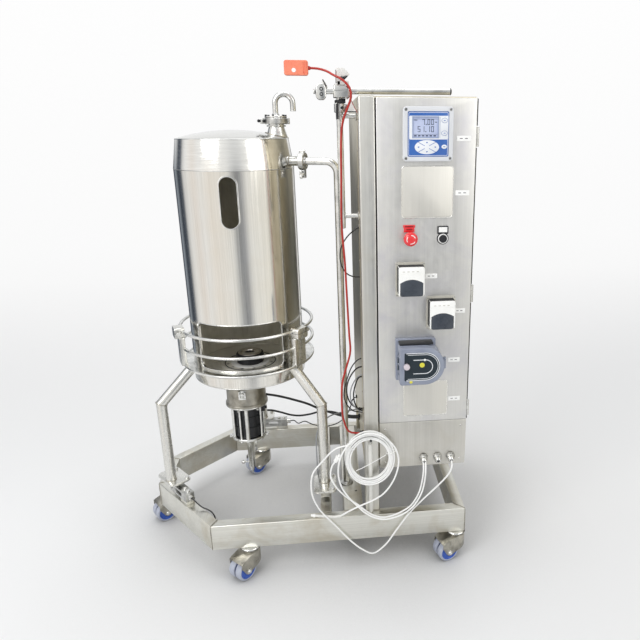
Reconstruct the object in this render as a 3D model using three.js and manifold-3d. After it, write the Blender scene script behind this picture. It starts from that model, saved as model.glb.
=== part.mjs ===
// A mobile single-use bioreactor: a steel vessel on a weighed three-legged stand, and a control
// cabinet with its pumps, both on one welded base frame with five twin-wheel casters.
// Millimetres, +Z up, floor at z = 0, front towards -Y.
import * as THREE from "three";
import { mergeVertices } from "three/addons/utils/BufferGeometryUtils.js";
import Module from "manifold-3d";

const wasm = await Module();
wasm.setup();

// Clearances.
const seatGap = 0.3;
const runGap = 0.6;

// Casters.
const wheelRadius = 40;
const wheelFacets = 16;
const treadWidth = 27;
const treadGap = 6;
const hubRadius = 14;
const axleRadius = 5;
const casterTrail = 42;
const hoodSheet = 2.5;
const hoodRise = 19.4;
const neckHeight = 4.8;
const raceHeight = 8;
const raceRadius = 36;

// Base frame of rectangular tube.
const frameTubeHeight = 100;
const frameTubeWidth = 40;
const frameDepth = 752;
const frameRight = 590;
const frameLeft = -588;
const frontChamfer = 252;
const rearChamfer = 228;
const leftRailFront = -64;
const leftRailRear = 134;
const slimBarCentre = 74;
const wideBarLeft = 140;
const wideBarWidth = 72;

// Weighing cells and legs.
const cellHeight = 62;
const cellLength = 130;
const cellWidth = 34;
const footPlate = 8;
const footPlateWidth = 84;
const legRadius = 19;

// Vessel.
const vesselX = -196;
const vesselY = -36;
const vesselRadius = 204;
const vesselWall = 8;
const vesselSides = 36;
const vesselLift = 463;
const vesselStraight = 758;
const shoulderHeight = 98;
const crownRadius = 190;
const crownRise = 28;
const floorLift = 25;
const floorSheet = 6;
const slotWidth = 55;
const slotHeight = 165;
const slotDrop = 18;
const windowLift = 70;
const windowHeight = 169;
const windowStart = -138;
const windowEnd = -47;
const windowCorner = 20;

// Stand ring and guard.
const shelfLift = 61;
const shelfSheet = 4;
const shelfRadius = 240;
const rimRadius = 5;
const guardRadius = 241;
const guardRod = 5.5;
const guardLow = 72;
const guardHigh = 137;

// Drive under the vessel.
const driveOffset = -26;
const flangeRadius = 80;
const flangeHeight = 172;
const motorRadius = 54;
const cageRadius = 67;
const cageHeight = 127;
const columnRadius = 5.5;
const shaftRadius = 8;
const couplingRadius = 50;
const couplingHeight = 43;
const spindleRadius = 13.5;
const spindleLength = 145;
const liftRodRadius = 8;

// Ports on the vessel head.
const ventOffset = 151;
const ventTop = 1645;
const ventBend = 30;
const ventRise = 28.5;
const neckRadius = 27;
const neckFoot = 38;
const ventPipe = 9.5;
const ferruleRadius = 34;
const sideFerruleRadius = 24;
const ferruleSheet = 6;
const clampWall = 6;
const clampSides = 16;
const nozzleAzimuth = -18;
const nozzleLift = 24;
const nozzleReach = 250;
const sidePipeReach = 372;
const sidePipeRadius = 12.5;

// Cabinet.
const cabinetLeft = 222;
const cabinetDepth = 696;
const cabinetLift = 174;
const cabinetHeight = 1270;
const cabinetSheet = 3;
const postSide = 50;
const doorThickness = 18;
const doorSheet = 2.5;
const doorSplit = 180;
const hingeRadius = 4.4;
const hingeOffset = 5;
const hingeHeights = [225, 647, 1152];

// Instruments on the door. The transmitter and the stop button hang below the cabinet's top, and
// the push button and the pumps below the stop button.
const transmitterX = 434;
const transmitterDrop = 110;
const transmitterWidth = 156;
const transmitterHeight = 161;
const stopX = 379;
const stopDrop = 429;
const stopHeadRadius = 23;
const stopTravel = 5;
const buttonX = 488;
const buttonDrop = 5;
const buttonRadius = 12;
const buttonTravel = 3;
const pumpWidth = 85;
const pumpHeight = 98;
const pumpDepth = 40;
const pumpXs = [382, 486];
const pumpDrops = [138, 255];
const largePumpX = 412;
const largePumpDrop = 414;
const largePumpWidth = 150;
const largePumpHeight = 130;
const largePumpDepth = 90;
const glandXs = [434, 486, 534];
const glandLift = 36;
const glandRadius = 15;
const tubeRadius = 3;

// Pole and rods.
const poleX = 168;
const poleY = -266;
const poleRadius = 10;
const poleLength = 486;
const poleRise = 63;
const armDrop = 56;
const crossRodRise = 16;
const crossRodStart = 99;
const crossRodEnd = 517;
const hookX = 240;
const hookRadius = 4;

// Tube coil.
const coilX = 236;
const coilY = -376;
const coilHeight = 447;
const coilOuter = 92;
const coilInner = 64;
const coilStretch = 1.17;
const coilThickness = 22;

// Plug and cable.
const cableRadius = 3.5;
const plugX = 4;
const plugY = -276;
const plugRise = 65;
const plugLength = 72;

// Levels and edges that follow from the sizes above.
const axleHeight = wheelRadius * Math.cos(Math.PI / wheelFacets);
const hoodTop = axleHeight + wheelRadius + hoodRise;
const raceBottom = hoodTop + neckHeight + seatGap;
const frameBottom = raceBottom + raceHeight;
const frameTop = frameBottom + frameTubeHeight;
const frameFront = -frameDepth / 2;
const frameRear = frameDepth / 2;
const halfTube = frameTubeWidth / 2;
const footTop = frameTop + cellHeight + seatGap + footPlate;
const vesselBottom = frameTop + vesselLift;
const vesselSeam = vesselBottom + vesselStraight;
const shoulderTop = vesselSeam + shoulderHeight;
const floorBottom = vesselBottom + floorLift;
const floorTop = floorBottom + floorSheet;
const shelfBottom = vesselBottom + shelfLift;
const shelfTop = shelfBottom + shelfSheet;
const flangeBottom = floorBottom - seatGap - flangeHeight;
const cageTop = flangeBottom - seatGap;
const cageBottom = cageTop - cageHeight - 10;
const cabinetRight = frameRight;
const cabinetBottom = frameTop + cabinetLift;
const cabinetTop = cabinetBottom + cabinetHeight;
const cabinetFront = -cabinetDepth / 2;
const cabinetRear = cabinetDepth / 2;
const bodyFront = cabinetFront + doorThickness + 1;
const doorBottom = cabinetBottom + doorSplit;
const doorRear = bodyFront - 1;
const doorLeft = cabinetLeft + postSide + 3;
const doorRight = cabinetRight - 2;
const transmitterLift = cabinetHeight - transmitterDrop;
const stopLift = cabinetHeight - stopDrop;
const buttonLift = stopLift - buttonDrop;
const pumpPlaces = pumpXs.map((x, i) => [x, stopLift - pumpDrops[i]]);
const largePumpLift = stopLift - largePumpDrop;
const crossRodHeight = cabinetTop + crossRodRise;
const poleTop = crossRodHeight + poleRise;
const poleBottom = poleTop - poleLength;
const plugHeight = crossRodHeight + plugRise;
const hingeX = doorRight + hingeOffset;
const hingeY = cabinetFront + 5.5;
const radians = THREE.MathUtils.degToRad;

// ---- shapes ----

// A closed geometry as a solid, facing out whichever way round its outline was drawn.
function solid(geometry) {
  const plain = geometry.clone();
  plain.deleteAttribute("normal");
  plain.deleteAttribute("uv");
  const merged = mergeVertices(plain, 1e-4);
  const corners = merged.index.array;
  const kept = [];
  for (let i = 0; i < corners.length; i += 3) {
    const [a, b, c] = [corners[i], corners[i + 1], corners[i + 2]];
    if (a !== b && b !== c && c !== a) kept.push(a, b, c);
  }
  const vertProperties = new Float32Array(merged.attributes.position.array);
  const make = (list) => new wasm.Manifold(new wasm.Mesh({ numProp: 3, vertProperties, triVerts: new Uint32Array(list) }));
  const made = make(kept);
  if (made.volume() > 0) return made;
  const turned = [];
  for (let i = 0; i < kept.length; i += 3) turned.push(kept[i], kept[i + 2], kept[i + 1]);
  return make(turned);
}

const asSolid = (shape) => (shape.isBufferGeometry ? solid(shape) : shape);
const join = (...shapes) => shapes.map(asSolid).reduce((whole, next) => whole.add(next));
const cut = (base, ...tools) => tools.map(asSolid).reduce((left, tool) => left.subtract(tool), asSolid(base));
const common = (first, second) => asSolid(first).intersect(asSolid(second));

function meshed(shape) {
  const { numProp, vertProperties, triVerts } = asSolid(shape).getMesh();
  const positions = [];
  for (let i = 0; i < vertProperties.length; i += numProp) {
    positions.push(vertProperties[i], vertProperties[i + 1], vertProperties[i + 2]);
  }
  const geometry = new THREE.BufferGeometry();
  geometry.setAttribute("position", new THREE.Float32BufferAttribute(positions, 3));
  geometry.setIndex([...triVerts]);
  geometry.computeVertexNormals();
  return geometry;
}

const finish = (color, roughness, metalness) => new THREE.MeshStandardMaterial({ color, roughness, metalness });
const steel = () => finish(0xc4c3bc, 0.35, 0.9);
const brightSteel = () => finish(0xdcdcd8, 0.18, 1);
const blackPlastic = () => finish(0x1c1d20, 0.5, 0);
const tubing = () => finish(0xf2f2ee, 0.45, 0);

function piece(name, shape, material, parent) {
  const mesh = new THREE.Mesh(meshed(shape), material);
  mesh.name = name;
  parent.add(mesh);
  return mesh;
}

function block(x0, x1, y0, y1, z0, z1) {
  const box = new THREE.BoxGeometry(x1 - x0, y1 - y0, z1 - z0);
  return box.translate((x0 + x1) / 2, (y0 + y1) / 2, (z0 + z1) / 2);
}

// A round rod along one axis, from start to end, at the other two coordinates.
function rod(axis, radius, start, end, a, b, sides = 12) {
  const shape = new THREE.CylinderGeometry(radius, radius, end - start, sides);
  const middle = (start + end) / 2;
  if (axis === "x") return shape.rotateZ(Math.PI / 2).translate(middle, a, b);
  if (axis === "y") return shape.translate(a, middle, b);
  return shape.rotateX(Math.PI / 2).translate(a, b, middle);
}

// A solid of revolution about Z from points of radius and height.
function revolve(points, sides) {
  const profile = points.map(([radius, height]) => new THREE.Vector2(radius, height));
  return new THREE.LatheGeometry(profile, sides).rotateX(Math.PI / 2);
}

const closed = (points) => [...points, points[0]];

function polygon(points) {
  return new THREE.Shape(points.map(([x, y]) => new THREE.Vector2(x, y)));
}

function roundedRectangle(x0, x1, y0, y1, radius) {
  const shape = new THREE.Shape();
  shape.absarc(x1 - radius, y0 + radius, radius, -Math.PI / 2, 0);
  shape.absarc(x1 - radius, y1 - radius, radius, 0, Math.PI / 2);
  shape.absarc(x0 + radius, y1 - radius, radius, Math.PI / 2, Math.PI);
  shape.absarc(x0 + radius, y0 + radius, radius, Math.PI, (3 * Math.PI) / 2);
  return shape;
}

function extruded(shape, depth, curveSegments) {
  return new THREE.ExtrudeGeometry(shape, { depth, bevelEnabled: false, curveSegments });
}

// Prisms over an outline in the XY, XZ and YZ planes.
function prismZ(shape, z0, z1, curveSegments = 2) {
  return extruded(shape, z1 - z0, curveSegments).translate(0, 0, z0);
}

function prismY(shape, y0, y1, curveSegments = 2) {
  return extruded(shape, y1 - y0, curveSegments).rotateX(Math.PI / 2).translate(0, y1, 0);
}

function prismX(shape, x0, x1, curveSegments = 2) {
  const turned = extruded(shape, x1 - x0, curveSegments).rotateY(Math.PI / 2).rotateX(Math.PI / 2);
  return turned.translate(x0, 0, 0);
}

// A path through a list of points, taken one by one, so that a sweep has a section at each.
class Route extends THREE.Curve {
  constructor(points) {
    super();
    this.points = points;
    this.steps = points.length - 1;
  }

  getPoint(t, target = new THREE.Vector3()) {
    const place = Math.min(t, 1) * this.steps;
    const from = Math.min(Math.floor(place), this.steps - 1);
    return target.lerpVectors(this.points[from], this.points[from + 1], place - from);
  }

  getPointAt(u, target) {
    return this.getPoint(u, target);
  }

  getTangentAt(u, target = new THREE.Vector3()) {
    const at = Math.round(u * this.steps);
    const before = this.points[Math.max(at - 1, 0)];
    const here = this.points[at];
    const after = this.points[Math.min(at + 1, this.steps)];
    const arriving = here.clone().sub(before).normalize();
    const leaving = after.clone().sub(here).normalize();
    return target.copy(arriving).add(leaving).normalize();
  }
}

function sweep(points, radius, sides) {
  const section = new THREE.Shape();
  section.absarc(0, 0, radius, 0, 2 * Math.PI);
  const extrudePath = new Route(points);
  return new THREE.ExtrudeGeometry(section, { steps: extrudePath.steps, extrudePath, curveSegments: sides / 2 });
}

// A smooth path through hand-placed points, sampled evenly.
function smoothRoute(places, samples) {
  const curve = new THREE.CatmullRomCurve3(places.map((place) => new THREE.Vector3(...place)));
  return curve.getSpacedPoints(samples);
}

// A half or quarter turn of pipe in the XZ plane about a centre.
function bendPoints(centreX, centreZ, y, radius, startAngle, endAngle, steps) {
  return Array.from({ length: steps + 1 }, (_, i) => {
    const angle = radians(startAngle + ((endAngle - startAngle) * i) / steps);
    return new THREE.Vector3(centreX + radius * Math.cos(angle), y, centreZ + radius * Math.sin(angle));
  });
}

const model = new THREE.Group();

function groupAt(x, y, z, azimuth = 0, parent = model) {
  const group = new THREE.Group();
  group.position.set(x, y, z);
  group.rotation.z = radians(azimuth);
  parent.add(group);
  return group;
}

// ---- base frame ----

const frameCorners = [
  [frameLeft + frontChamfer, frameFront],
  [frameRight, frameFront],
  [frameRight, frameRear],
  [frameLeft + rearChamfer, frameRear],
  [frameLeft, leftRailRear],
  [frameLeft, leftRailFront],
];

function crossing(first, second) {
  const apart = second.point.clone().sub(first.point);
  const reach = apart.cross(second.along) / first.along.cross(second.along);
  return first.point.clone().addScaledVector(first.along, reach);
}

function insetOutline(corners, distance) {
  const points = corners.map(([x, y]) => new THREE.Vector2(x, y));
  const edges = points.map((from, i) => {
    const along = points[(i + 1) % points.length].clone().sub(from).normalize();
    const inward = new THREE.Vector2(-along.y, along.x);
    return { point: from.clone().addScaledVector(inward, distance), along };
  });
  return edges.map((edge, i) => crossing(edges[(i + edges.length - 1) % edges.length], edge));
}

const casters = [
  { name: "front_left", x: frameLeft + frontChamfer + 131, y: frameFront + halfTube, heading: 228 },
  { name: "left", x: frameLeft + halfTube, y: (leftRailFront + leftRailRear) / 2, heading: 215 },
  { name: "rear_left", x: frameLeft + rearChamfer + 134, y: frameRear - halfTube, heading: 215 },
  { name: "front_right", x: frameRight - 30, y: frameFront + halfTube, heading: 200 },
  { name: "rear_right", x: frameRight - 30, y: frameRear - halfTube, heading: 205 },
];

function makeBaseFrame() {
  const inner = new THREE.Shape(insetOutline(frameCorners, frameTubeWidth));
  const rails = cut(
    prismZ(polygon(frameCorners), frameBottom, frameTop),
    prismZ(inner, frameBottom - 1, frameTop + 1),
  );
  const barFront = frameFront + halfTube;
  const barRear = frameRear - halfTube;
  const slimBar = block(
    slimBarCentre - halfTube,
    slimBarCentre + halfTube,
    barFront,
    barRear,
    frameBottom,
    frameTop,
  );
  const wideBar = block(wideBarLeft, wideBarLeft + wideBarWidth, barFront, barRear, frameBottom, frameTop);
  const pinHole = rod("z", 4.3, frameTop - 12, frameTop + 1, wideBarLeft + 51, -213, 12);
  const races = casters.map(({ x, y }) => rod("z", raceRadius, raceBottom, frameBottom + 0.5, x, y, 16));
  piece("base_frame", cut(join(rails, slimBar, wideBar, ...races), pinHole), steel(), model);
}

// ---- casters ----

function makeCaster({ name, x, y, heading }) {
  const caster = groupAt(x, y, 0, heading);
  const spoolHalf = treadWidth + treadGap / 2;
  const hoodInside = spoolHalf + 1.5;
  const hoodHalf = hoodInside + hoodSheet;
  const hoodNose = casterTrail + 30;
  const plan = (half, nose) => {
    const shape = new THREE.Shape();
    shape.moveTo(nose, -half);
    shape.lineTo(nose, half);
    shape.absarc(0, 0, half, Math.PI / 2, (3 * Math.PI) / 2);
    return shape;
  };
  const side = [
    [-hoodHalf - 1, axleHeight + 26],
    [-26, axleHeight + 12],
    [casterTrail - 12, axleHeight - 12],
    [casterTrail + 12, axleHeight - 6],
    [hoodNose, axleHeight + 30],
    [hoodNose, hoodTop - 18],
    [14, hoodTop],
    [-hoodHalf - 1, hoodTop],
  ];
  const hollow = [
    [-hoodHalf - 2, 0],
    [hoodNose + 20, 0],
    [hoodNose + 20, hoodTop - 24 - hoodSheet],
    [hoodNose, hoodTop - 18 - hoodSheet],
    [14, hoodTop - hoodSheet],
    [-hoodHalf - 2, hoodTop - hoodSheet],
  ];
  const outside = common(
    prismZ(plan(hoodHalf, hoodNose), 0, hoodTop + 1, 4),
    prismY(polygon(side), -hoodHalf - 1, hoodHalf + 1),
  );
  const inside = common(
    prismZ(plan(hoodInside, hoodNose + 20), -1, hoodTop + 1, 4),
    prismY(polygon(hollow), -hoodHalf - 1, hoodHalf + 1),
  );
  const fork = join(
    cut(outside, inside),
    rod("y", axleRadius, -hoodHalf - 1, hoodHalf + 1, casterTrail, axleHeight, 8),
    rod("y", axleRadius + 3, -hoodHalf - 4, -hoodHalf + 0.5, casterTrail, axleHeight, 6),
    rod("y", axleRadius + 3, hoodHalf - 0.5, hoodHalf + 4, casterTrail, axleHeight, 6),
    rod("z", raceRadius - 8, hoodTop - 1, hoodTop + neckHeight, 0, 0),
  );
  piece("caster_fork_" + name, fork, steel(), caster);

  const bore = axleRadius + seatGap;
  const spool = revolve(
    closed([
      [bore, -spoolHalf],
      [wheelRadius - 3, -spoolHalf],
      [wheelRadius, -spoolHalf + 4],
      [wheelRadius, -treadGap / 2],
      [hubRadius, -treadGap / 2],
      [hubRadius, treadGap / 2],
      [wheelRadius, treadGap / 2],
      [wheelRadius, spoolHalf - 4],
      [wheelRadius - 3, spoolHalf],
      [bore, spoolHalf],
    ]),
    wheelFacets,
  );
  // A flat of the tread faces straight down.
  spool.rotateZ(Math.PI / wheelFacets).rotateX(Math.PI / 2).translate(casterTrail, 0, axleHeight);
  piece("caster_wheels_" + name, spool, finish(0x7f93d6, 0.55, 0), caster);
}

// ---- weighing cells and legs ----

function projected(point, from, to) {
  const along = to.clone().sub(from).normalize();
  return from.clone().addScaledVector(along, point.clone().sub(from).dot(along));
}

const footAt = (azimuth, radius) =>
  new THREE.Vector2(
    vesselX + radius * Math.cos(radians(azimuth)),
    vesselY + radius * Math.sin(radians(azimuth)),
  );

// Each leg stands over a tube of the frame: its cell is centred on that tube and runs along it.
function makeLegPlaces() {
  const middle = insetOutline(frameCorners, halfTube);
  const rear = footAt(92, 372);
  const left = footAt(201, 337);
  const right = footAt(323, 337);
  const chamfer = middle[0].clone().sub(middle[5]);
  return [
    { name: "rear", azimuth: 92, radius: 372, foot: rear, cell: projected(rear, middle[3], middle[2]), turn: 0 },
    {
      name: "left",
      azimuth: 201,
      radius: 337,
      foot: left,
      cell: projected(left, middle[5], middle[0]),
      turn: THREE.MathUtils.radToDeg(chamfer.angle()),
    },
    {
      name: "right",
      azimuth: 323,
      radius: 337,
      foot: right,
      cell: new THREE.Vector2(slimBarCentre, right.y),
      turn: 90,
    },
  ];
}

const legPlaces = makeLegPlaces();

function makeLoadCell({ name, cell, turn }) {
  const place = groupAt(cell.x, cell.y, frameTop + seatGap, turn);
  const half = cellWidth / 2;
  const reach = cellLength - 25;
  const beamBottom = 14;
  const beamTop = cellHeight - 14;
  const beamMiddle = (beamBottom + beamTop) / 2;
  const window = prismY(roundedRectangle(18, 66, beamMiddle - 8, beamMiddle + 8, 7.9), -half - 1, half + 1, 1.5);
  const cellBody = join(
    cut(block(-25, reach, -half, half, beamBottom, beamTop), window),
    block(reach - 48, reach, -half, half, 0, beamBottom + 1),
    rod("z", 13, beamTop - 1, cellHeight - seatGap, 0, 0, 12),
    rod("x", 11, reach - 1, reach + 18, 0, beamMiddle, 12),
    rod("z", 7, beamTop - 1, beamTop + 5, reach - 14, 0, 6),
    rod("z", 7, beamTop - 1, beamTop + 5, reach - 36, 0, 6),
  );
  piece("load_cell_" + name, cellBody, brightSteel(), place);
}

function makeLeg({ name, azimuth, radius, foot, cell, turn }) {
  const leg = groupAt(cell.x, cell.y, 0, turn);
  const plateBottom = frameTop + cellHeight + seatGap;
  const half = footPlateWidth / 2;
  const local = foot.clone().sub(cell).rotateAround(new THREE.Vector2(), radians(-turn));
  const towardsVessel = radians(azimuth + 180 - turn);
  const inward = new THREE.Vector3(Math.cos(towardsVessel), Math.sin(towardsVessel), 0);
  const knee = new THREE.Vector3(local.x, local.y, shelfBottom - (radius - vesselRadius) - 3);
  const rise = shelfBottom + 10 - knee.z;
  const head = knee.clone().addScaledVector(inward, rise).add(new THREE.Vector3(0, 0, rise));
  const strut = new THREE.CylinderGeometry(legRadius, legRadius, head.distanceTo(knee), 12);
  const lean = new THREE.Quaternion().setFromUnitVectors(
    new THREE.Vector3(0, 1, 0),
    head.clone().sub(knee).normalize(),
  );
  strut.applyQuaternion(lean).translate(...knee.clone().add(head).divideScalar(2).toArray());
  const axis = local.clone().addScaledVector(new THREE.Vector2(inward.x, inward.y), radius);
  const drum = rod("z", vesselRadius + 2 * seatGap, 0, shelfTop + 50, axis.x, axis.y, vesselSides);
  const shelf = block(-900, 900, -900, 900, shelfBottom - seatGap, shelfTop + 100);
  const plate = prismZ(roundedRectangle(-75, 48, -half, half, 20), plateBottom, footTop, 2);
  const tube = join(
    rod("z", legRadius, footTop - 1, knee.z, local.x, local.y),
    new THREE.SphereGeometry(legRadius, 12, 6).rotateX(Math.PI / 2).translate(knee.x, knee.y, knee.z),
    strut,
  );
  const bolts = [-58, 34].map((x) => rod("z", 7, footTop - 1, footTop + 6, x, Math.sign(-local.y) * (half - 14), 6));
  piece("leg_" + name, cut(join(plate, tube, ...bolts), drum, shelf), steel(), leg);
}

// ---- vessel ----

const vessel = groupAt(vesselX, vesselY, 0);

function makeVesselShell() {
  const outside = vesselRadius;
  const inside = vesselRadius - vesselWall;
  const wall = revolve(
    closed([
      [inside, vesselBottom],
      [outside, vesselBottom],
      [outside, vesselSeam],
      [inside, vesselSeam],
    ]),
    vesselSides,
  );
  const slotTop = vesselSeam - slotDrop;
  const half = slotWidth / 2;
  const slot = roundedRectangle(-half, half, slotTop - slotHeight, slotTop, half - 0.01);
  const rim = roundedRectangle(-half - 5, half + 5, slotTop - slotHeight - 5, slotTop + 5, half + 4.9);
  const rimRing = common(
    prismY(rim, -outside - 10, -inside, 4),
    rod("z", outside + 2.5, vesselBottom, vesselSeam, 0, 0, vesselSides),
  );
  const window = sectorTool(inside - 20, outside + 20);
  const ring = cut(rimRing, rod("z", inside + 2, vesselBottom - 1, vesselSeam + 1, 0, 0, vesselSides));
  const slotTool = prismY(slot, -outside - 20, -inside + 30, 4);
  const shell = cut(join(wall, ring), slotTool, window);
  piece("vessel_shell", shell, steel(), vessel);
}

// A cutter for the wide low window: an arc of the wall with four rounded corners.
function sectorTool(innerRadius, outerRadius) {
  const bottom = vesselBottom + windowLift;
  const top = bottom + windowHeight;
  const turn = THREE.MathUtils.radToDeg(windowCorner / vesselRadius);
  const sector = (start, end, z0, z1) => {
    const shape = new THREE.Shape();
    shape.absarc(0, 0, outerRadius, radians(start), radians(end), false);
    shape.absarc(0, 0, innerRadius, radians(end), radians(start), true);
    return prismZ(shape, z0, z1, 8);
  };
  const corners = [windowStart + turn, windowEnd - turn].flatMap((azimuth) =>
    [bottom + windowCorner, top - windowCorner].map((z) =>
      rod("x", windowCorner, innerRadius, outerRadius, 0, z, 16).rotateZ(radians(azimuth)),
    ),
  );
  return join(
    sector(windowStart + turn, windowEnd - turn, bottom, top),
    sector(windowStart, windowEnd, bottom + windowCorner, top - windowCorner),
    ...corners,
  );
}

// Height of the crown's outside over the seam at a distance from the axis.
const crownHeight = (radius) => shoulderTop + crownRise * (1 - (radius / crownRadius) ** 2);

function makeVesselHead() {
  const crown = (offset, steps) =>
    Array.from({ length: steps }, (_, i) => {
      const radius = (crownRadius - offset) * (1 - i / steps);
      return [radius, crownHeight(radius) - offset];
    });
  const profile = [
    [vesselRadius, vesselSeam + seatGap],
    ...crown(0, 3),
    [0, shoulderTop + crownRise],
    [0, shoulderTop + crownRise - vesselWall],
    ...crown(vesselWall, 3).reverse(),
    [vesselRadius - vesselWall, vesselSeam + seatGap],
  ];
  const nozzleZ = vesselSeam + nozzleLift;
  const nozzle = (radius, start, end) =>
    rod("x", radius, start, end, 0, nozzleZ, clampSides).rotateZ(radians(nozzleAzimuth));
  const ferruleTop = ventFace() - seatGap / 2;
  const neck = revolve(
    [
      [0, shoulderTop - 2],
      [neckFoot, shoulderTop - 2],
      [neckFoot, shoulderTop + 6],
      [neckRadius, ferruleTop - ferruleSheet - 14],
      [neckRadius, ferruleTop - ferruleSheet],
      [ferruleRadius, ferruleTop - ferruleSheet],
      [ferruleRadius, ferruleTop],
      [0, ferruleTop],
    ],
    clampSides,
  );
  const head = join(
    revolve(closed(profile), vesselSides),
    neck.translate(ventOffset, 0, 0),
    nozzle(16, vesselRadius - 12, nozzleReach),
    nozzle(sideFerruleRadius, nozzleReach - ferruleSheet, nozzleReach),
  );
  const bores = [
    rod("z", 17, shoulderTop - 40, ferruleTop + 1, ventOffset, 0, 20),
    nozzle(11, vesselRadius - 40, nozzleReach + 1),
  ];
  piece("vessel_head", cut(head, ...bores), steel(), vessel);
}

const ventFace = () => shoulderTop + crownRise + ventRise;

function makeVesselFloor() {
  const edge = vesselRadius - vesselWall - seatGap;
  const bore = shaftRadius + runGap;
  const sheet = revolve(
    closed([
      [bore, floorBottom],
      [edge, floorBottom],
      [edge, floorTop],
      [112, floorTop],
      [109, floorTop + 3],
      [103, floorTop + 3],
      [100, floorTop],
      [bore, floorTop],
    ]),
    vesselSides,
  );
  piece("vessel_floor", sheet, brightSteel(), vessel);
}

function makeVentPipe() {
  const face = ventFace() + seatGap / 2;
  const bend = bendPoints(ventOffset + ventBend, ventTop, 0, ventBend, 180, 0, 8);
  const start = new THREE.Vector3(ventOffset, 0, face + 16);
  const end = new THREE.Vector3(ventOffset + 2 * ventBend, 0, ventTop - 26);
  const cone = revolve(
    [
      [0, face],
      [ferruleRadius, face],
      [ferruleRadius, face + ferruleSheet],
      [neckRadius, face + ferruleSheet],
      [ventPipe + 1, face + 26],
      [0, face + 26],
    ],
    clampSides,
  ).translate(ventOffset, 0, 0);
  const bore = rod("z", ventPipe - 2, end.z - 1, end.z + 20, end.x, 0, 12);
  const pipe = cut(join(cone, sweep([start, ...bend, end], ventPipe, 12)), bore);
  piece("vent_gooseneck", pipe, brightSteel(), vessel);
}

// A clamp ring that closes over two flanges, with its screw lug and wing nut on one side.
function clampRing(flangeRadius, lugLength) {
  const lip = flangeRadius - 6;
  const inner = flangeRadius + seatGap;
  const outer = inner + clampWall;
  const gripHalf = ferruleSheet + seatGap / 2 + seatGap;
  const half = gripHalf + 4;
  const ring = revolve(
    closed([
      [lip, -half],
      [outer, -half],
      [outer, half],
      [lip, half],
      [lip, gripHalf],
      [inner, gripHalf],
      [inner, -gripHalf],
      [lip, -gripHalf],
    ]),
    clampSides,
  );
  return join(
    ring,
    block(-outer - lugLength, -outer + 1, -7, 7, -half + 1, half - 1),
    rod("y", 4, -24, 16, -outer - lugLength / 2, 0, 8),
    block(-outer - lugLength / 2 - 13, -outer - lugLength / 2 + 13, -24, -18, -4, 4),
    rod("y", 7, -18.5, -12, -outer - lugLength / 2, 0, 8),
  );
}

function makeClamps() {
  const vent = groupAt(ventOffset, 0, ventFace(), 0, vessel);
  piece("vent_clamp", clampRing(ferruleRadius, 14), brightSteel(), vent);
  const side = groupAt(0, 0, vesselSeam + nozzleLift, nozzleAzimuth, vessel);
  const turned = new THREE.Group();
  turned.position.x = nozzleReach + seatGap / 2;
  turned.rotation.y = -Math.PI / 2;
  side.add(turned);
  piece("side_clamp", clampRing(sideFerruleRadius, 26), brightSteel(), turned);
}

function makeSidePipe() {
  const side = groupAt(0, 0, 0, nozzleAzimuth, vessel);
  const z = vesselSeam + nozzleLift;
  const face = nozzleReach + seatGap;
  const bend = 40;
  const elbow = bendPoints(sidePipeReach - bend, z - bend, 0, bend, 90, 0, 6);
  const foot = frameTop + seatGap;
  const route = [new THREE.Vector3(face + 2, 0, z), ...elbow, new THREE.Vector3(sidePipeReach, 0, foot + 4)];
  const pipe = join(
    rod("x", sideFerruleRadius, face, face + ferruleSheet, 0, z, clampSides),
    sweep(route, sidePipeRadius, 12),
    rod("z", sidePipeRadius + 12, foot, foot + 6, sidePipeReach, 0, 16),
  );
  piece("side_pipe", pipe, brightSteel(), side);
}

// ---- stand ring and guard ----

const guardTorus = (radius, z) => new THREE.TorusGeometry(guardRadius, radius, 6, vesselSides).translate(0, 0, z);

function makeStandRing() {
  const rimMiddle = (shelfBottom + shelfTop) / 2;
  const rim = Array.from({ length: 5 }, (_, i) => {
    const angle = radians(-140 + 70 * i);
    return [shelfRadius + rimRadius * Math.cos(angle), rimMiddle + rimRadius * Math.sin(angle)];
  });
  const inside = vesselRadius + seatGap;
  const shelf = revolve(
    closed([[inside, shelfBottom], [shelfRadius - 5, shelfBottom], ...rim, [shelfRadius - 5, shelfTop], [inside, shelfTop]]),
    vesselSides,
  );
  const lowBar = shelfBottom + guardLow;
  const highBar = shelfBottom + guardHigh;
  const innerFace = guardRadius - 10;
  const bracket = (azimuth) => {
    const plate = roundedRectangle(-28, 28, shelfTop - 1, highBar - 22, 9);
    const lobe = roundedRectangle(-28, 28, highBar - 28, highBar + 12, 8);
    const knob = rod("y", 6.5, 27, 40, innerFace + 24, highBar - 6, 12);
    const parts = [
      prismX(plate, innerFace, innerFace + 22, 1),
      prismX(lobe, innerFace, innerFace + 37, 1),
      block(innerFace, innerFace + 10, -28, 28, shelfTop - 2, shelfTop + 12),
      knob,
    ];
    return parts.map((part) => part.rotateZ(radians(azimuth)));
  };
  const brackets = legPlaces.flatMap(({ azimuth }) => bracket(azimuth));
  const rodHoles = [lowBar, highBar].map((z) => guardTorus(guardRod + seatGap, z));
  piece("stand_ring", cut(join(shelf, ...brackets), ...rodHoles), steel(), vessel);
  piece("guard_rod_lower", guardTorus(guardRod, lowBar), brightSteel(), vessel);
  piece("guard_rod_upper", guardTorus(guardRod, highBar), brightSteel(), vessel);
}

// ---- drive ----

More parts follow.
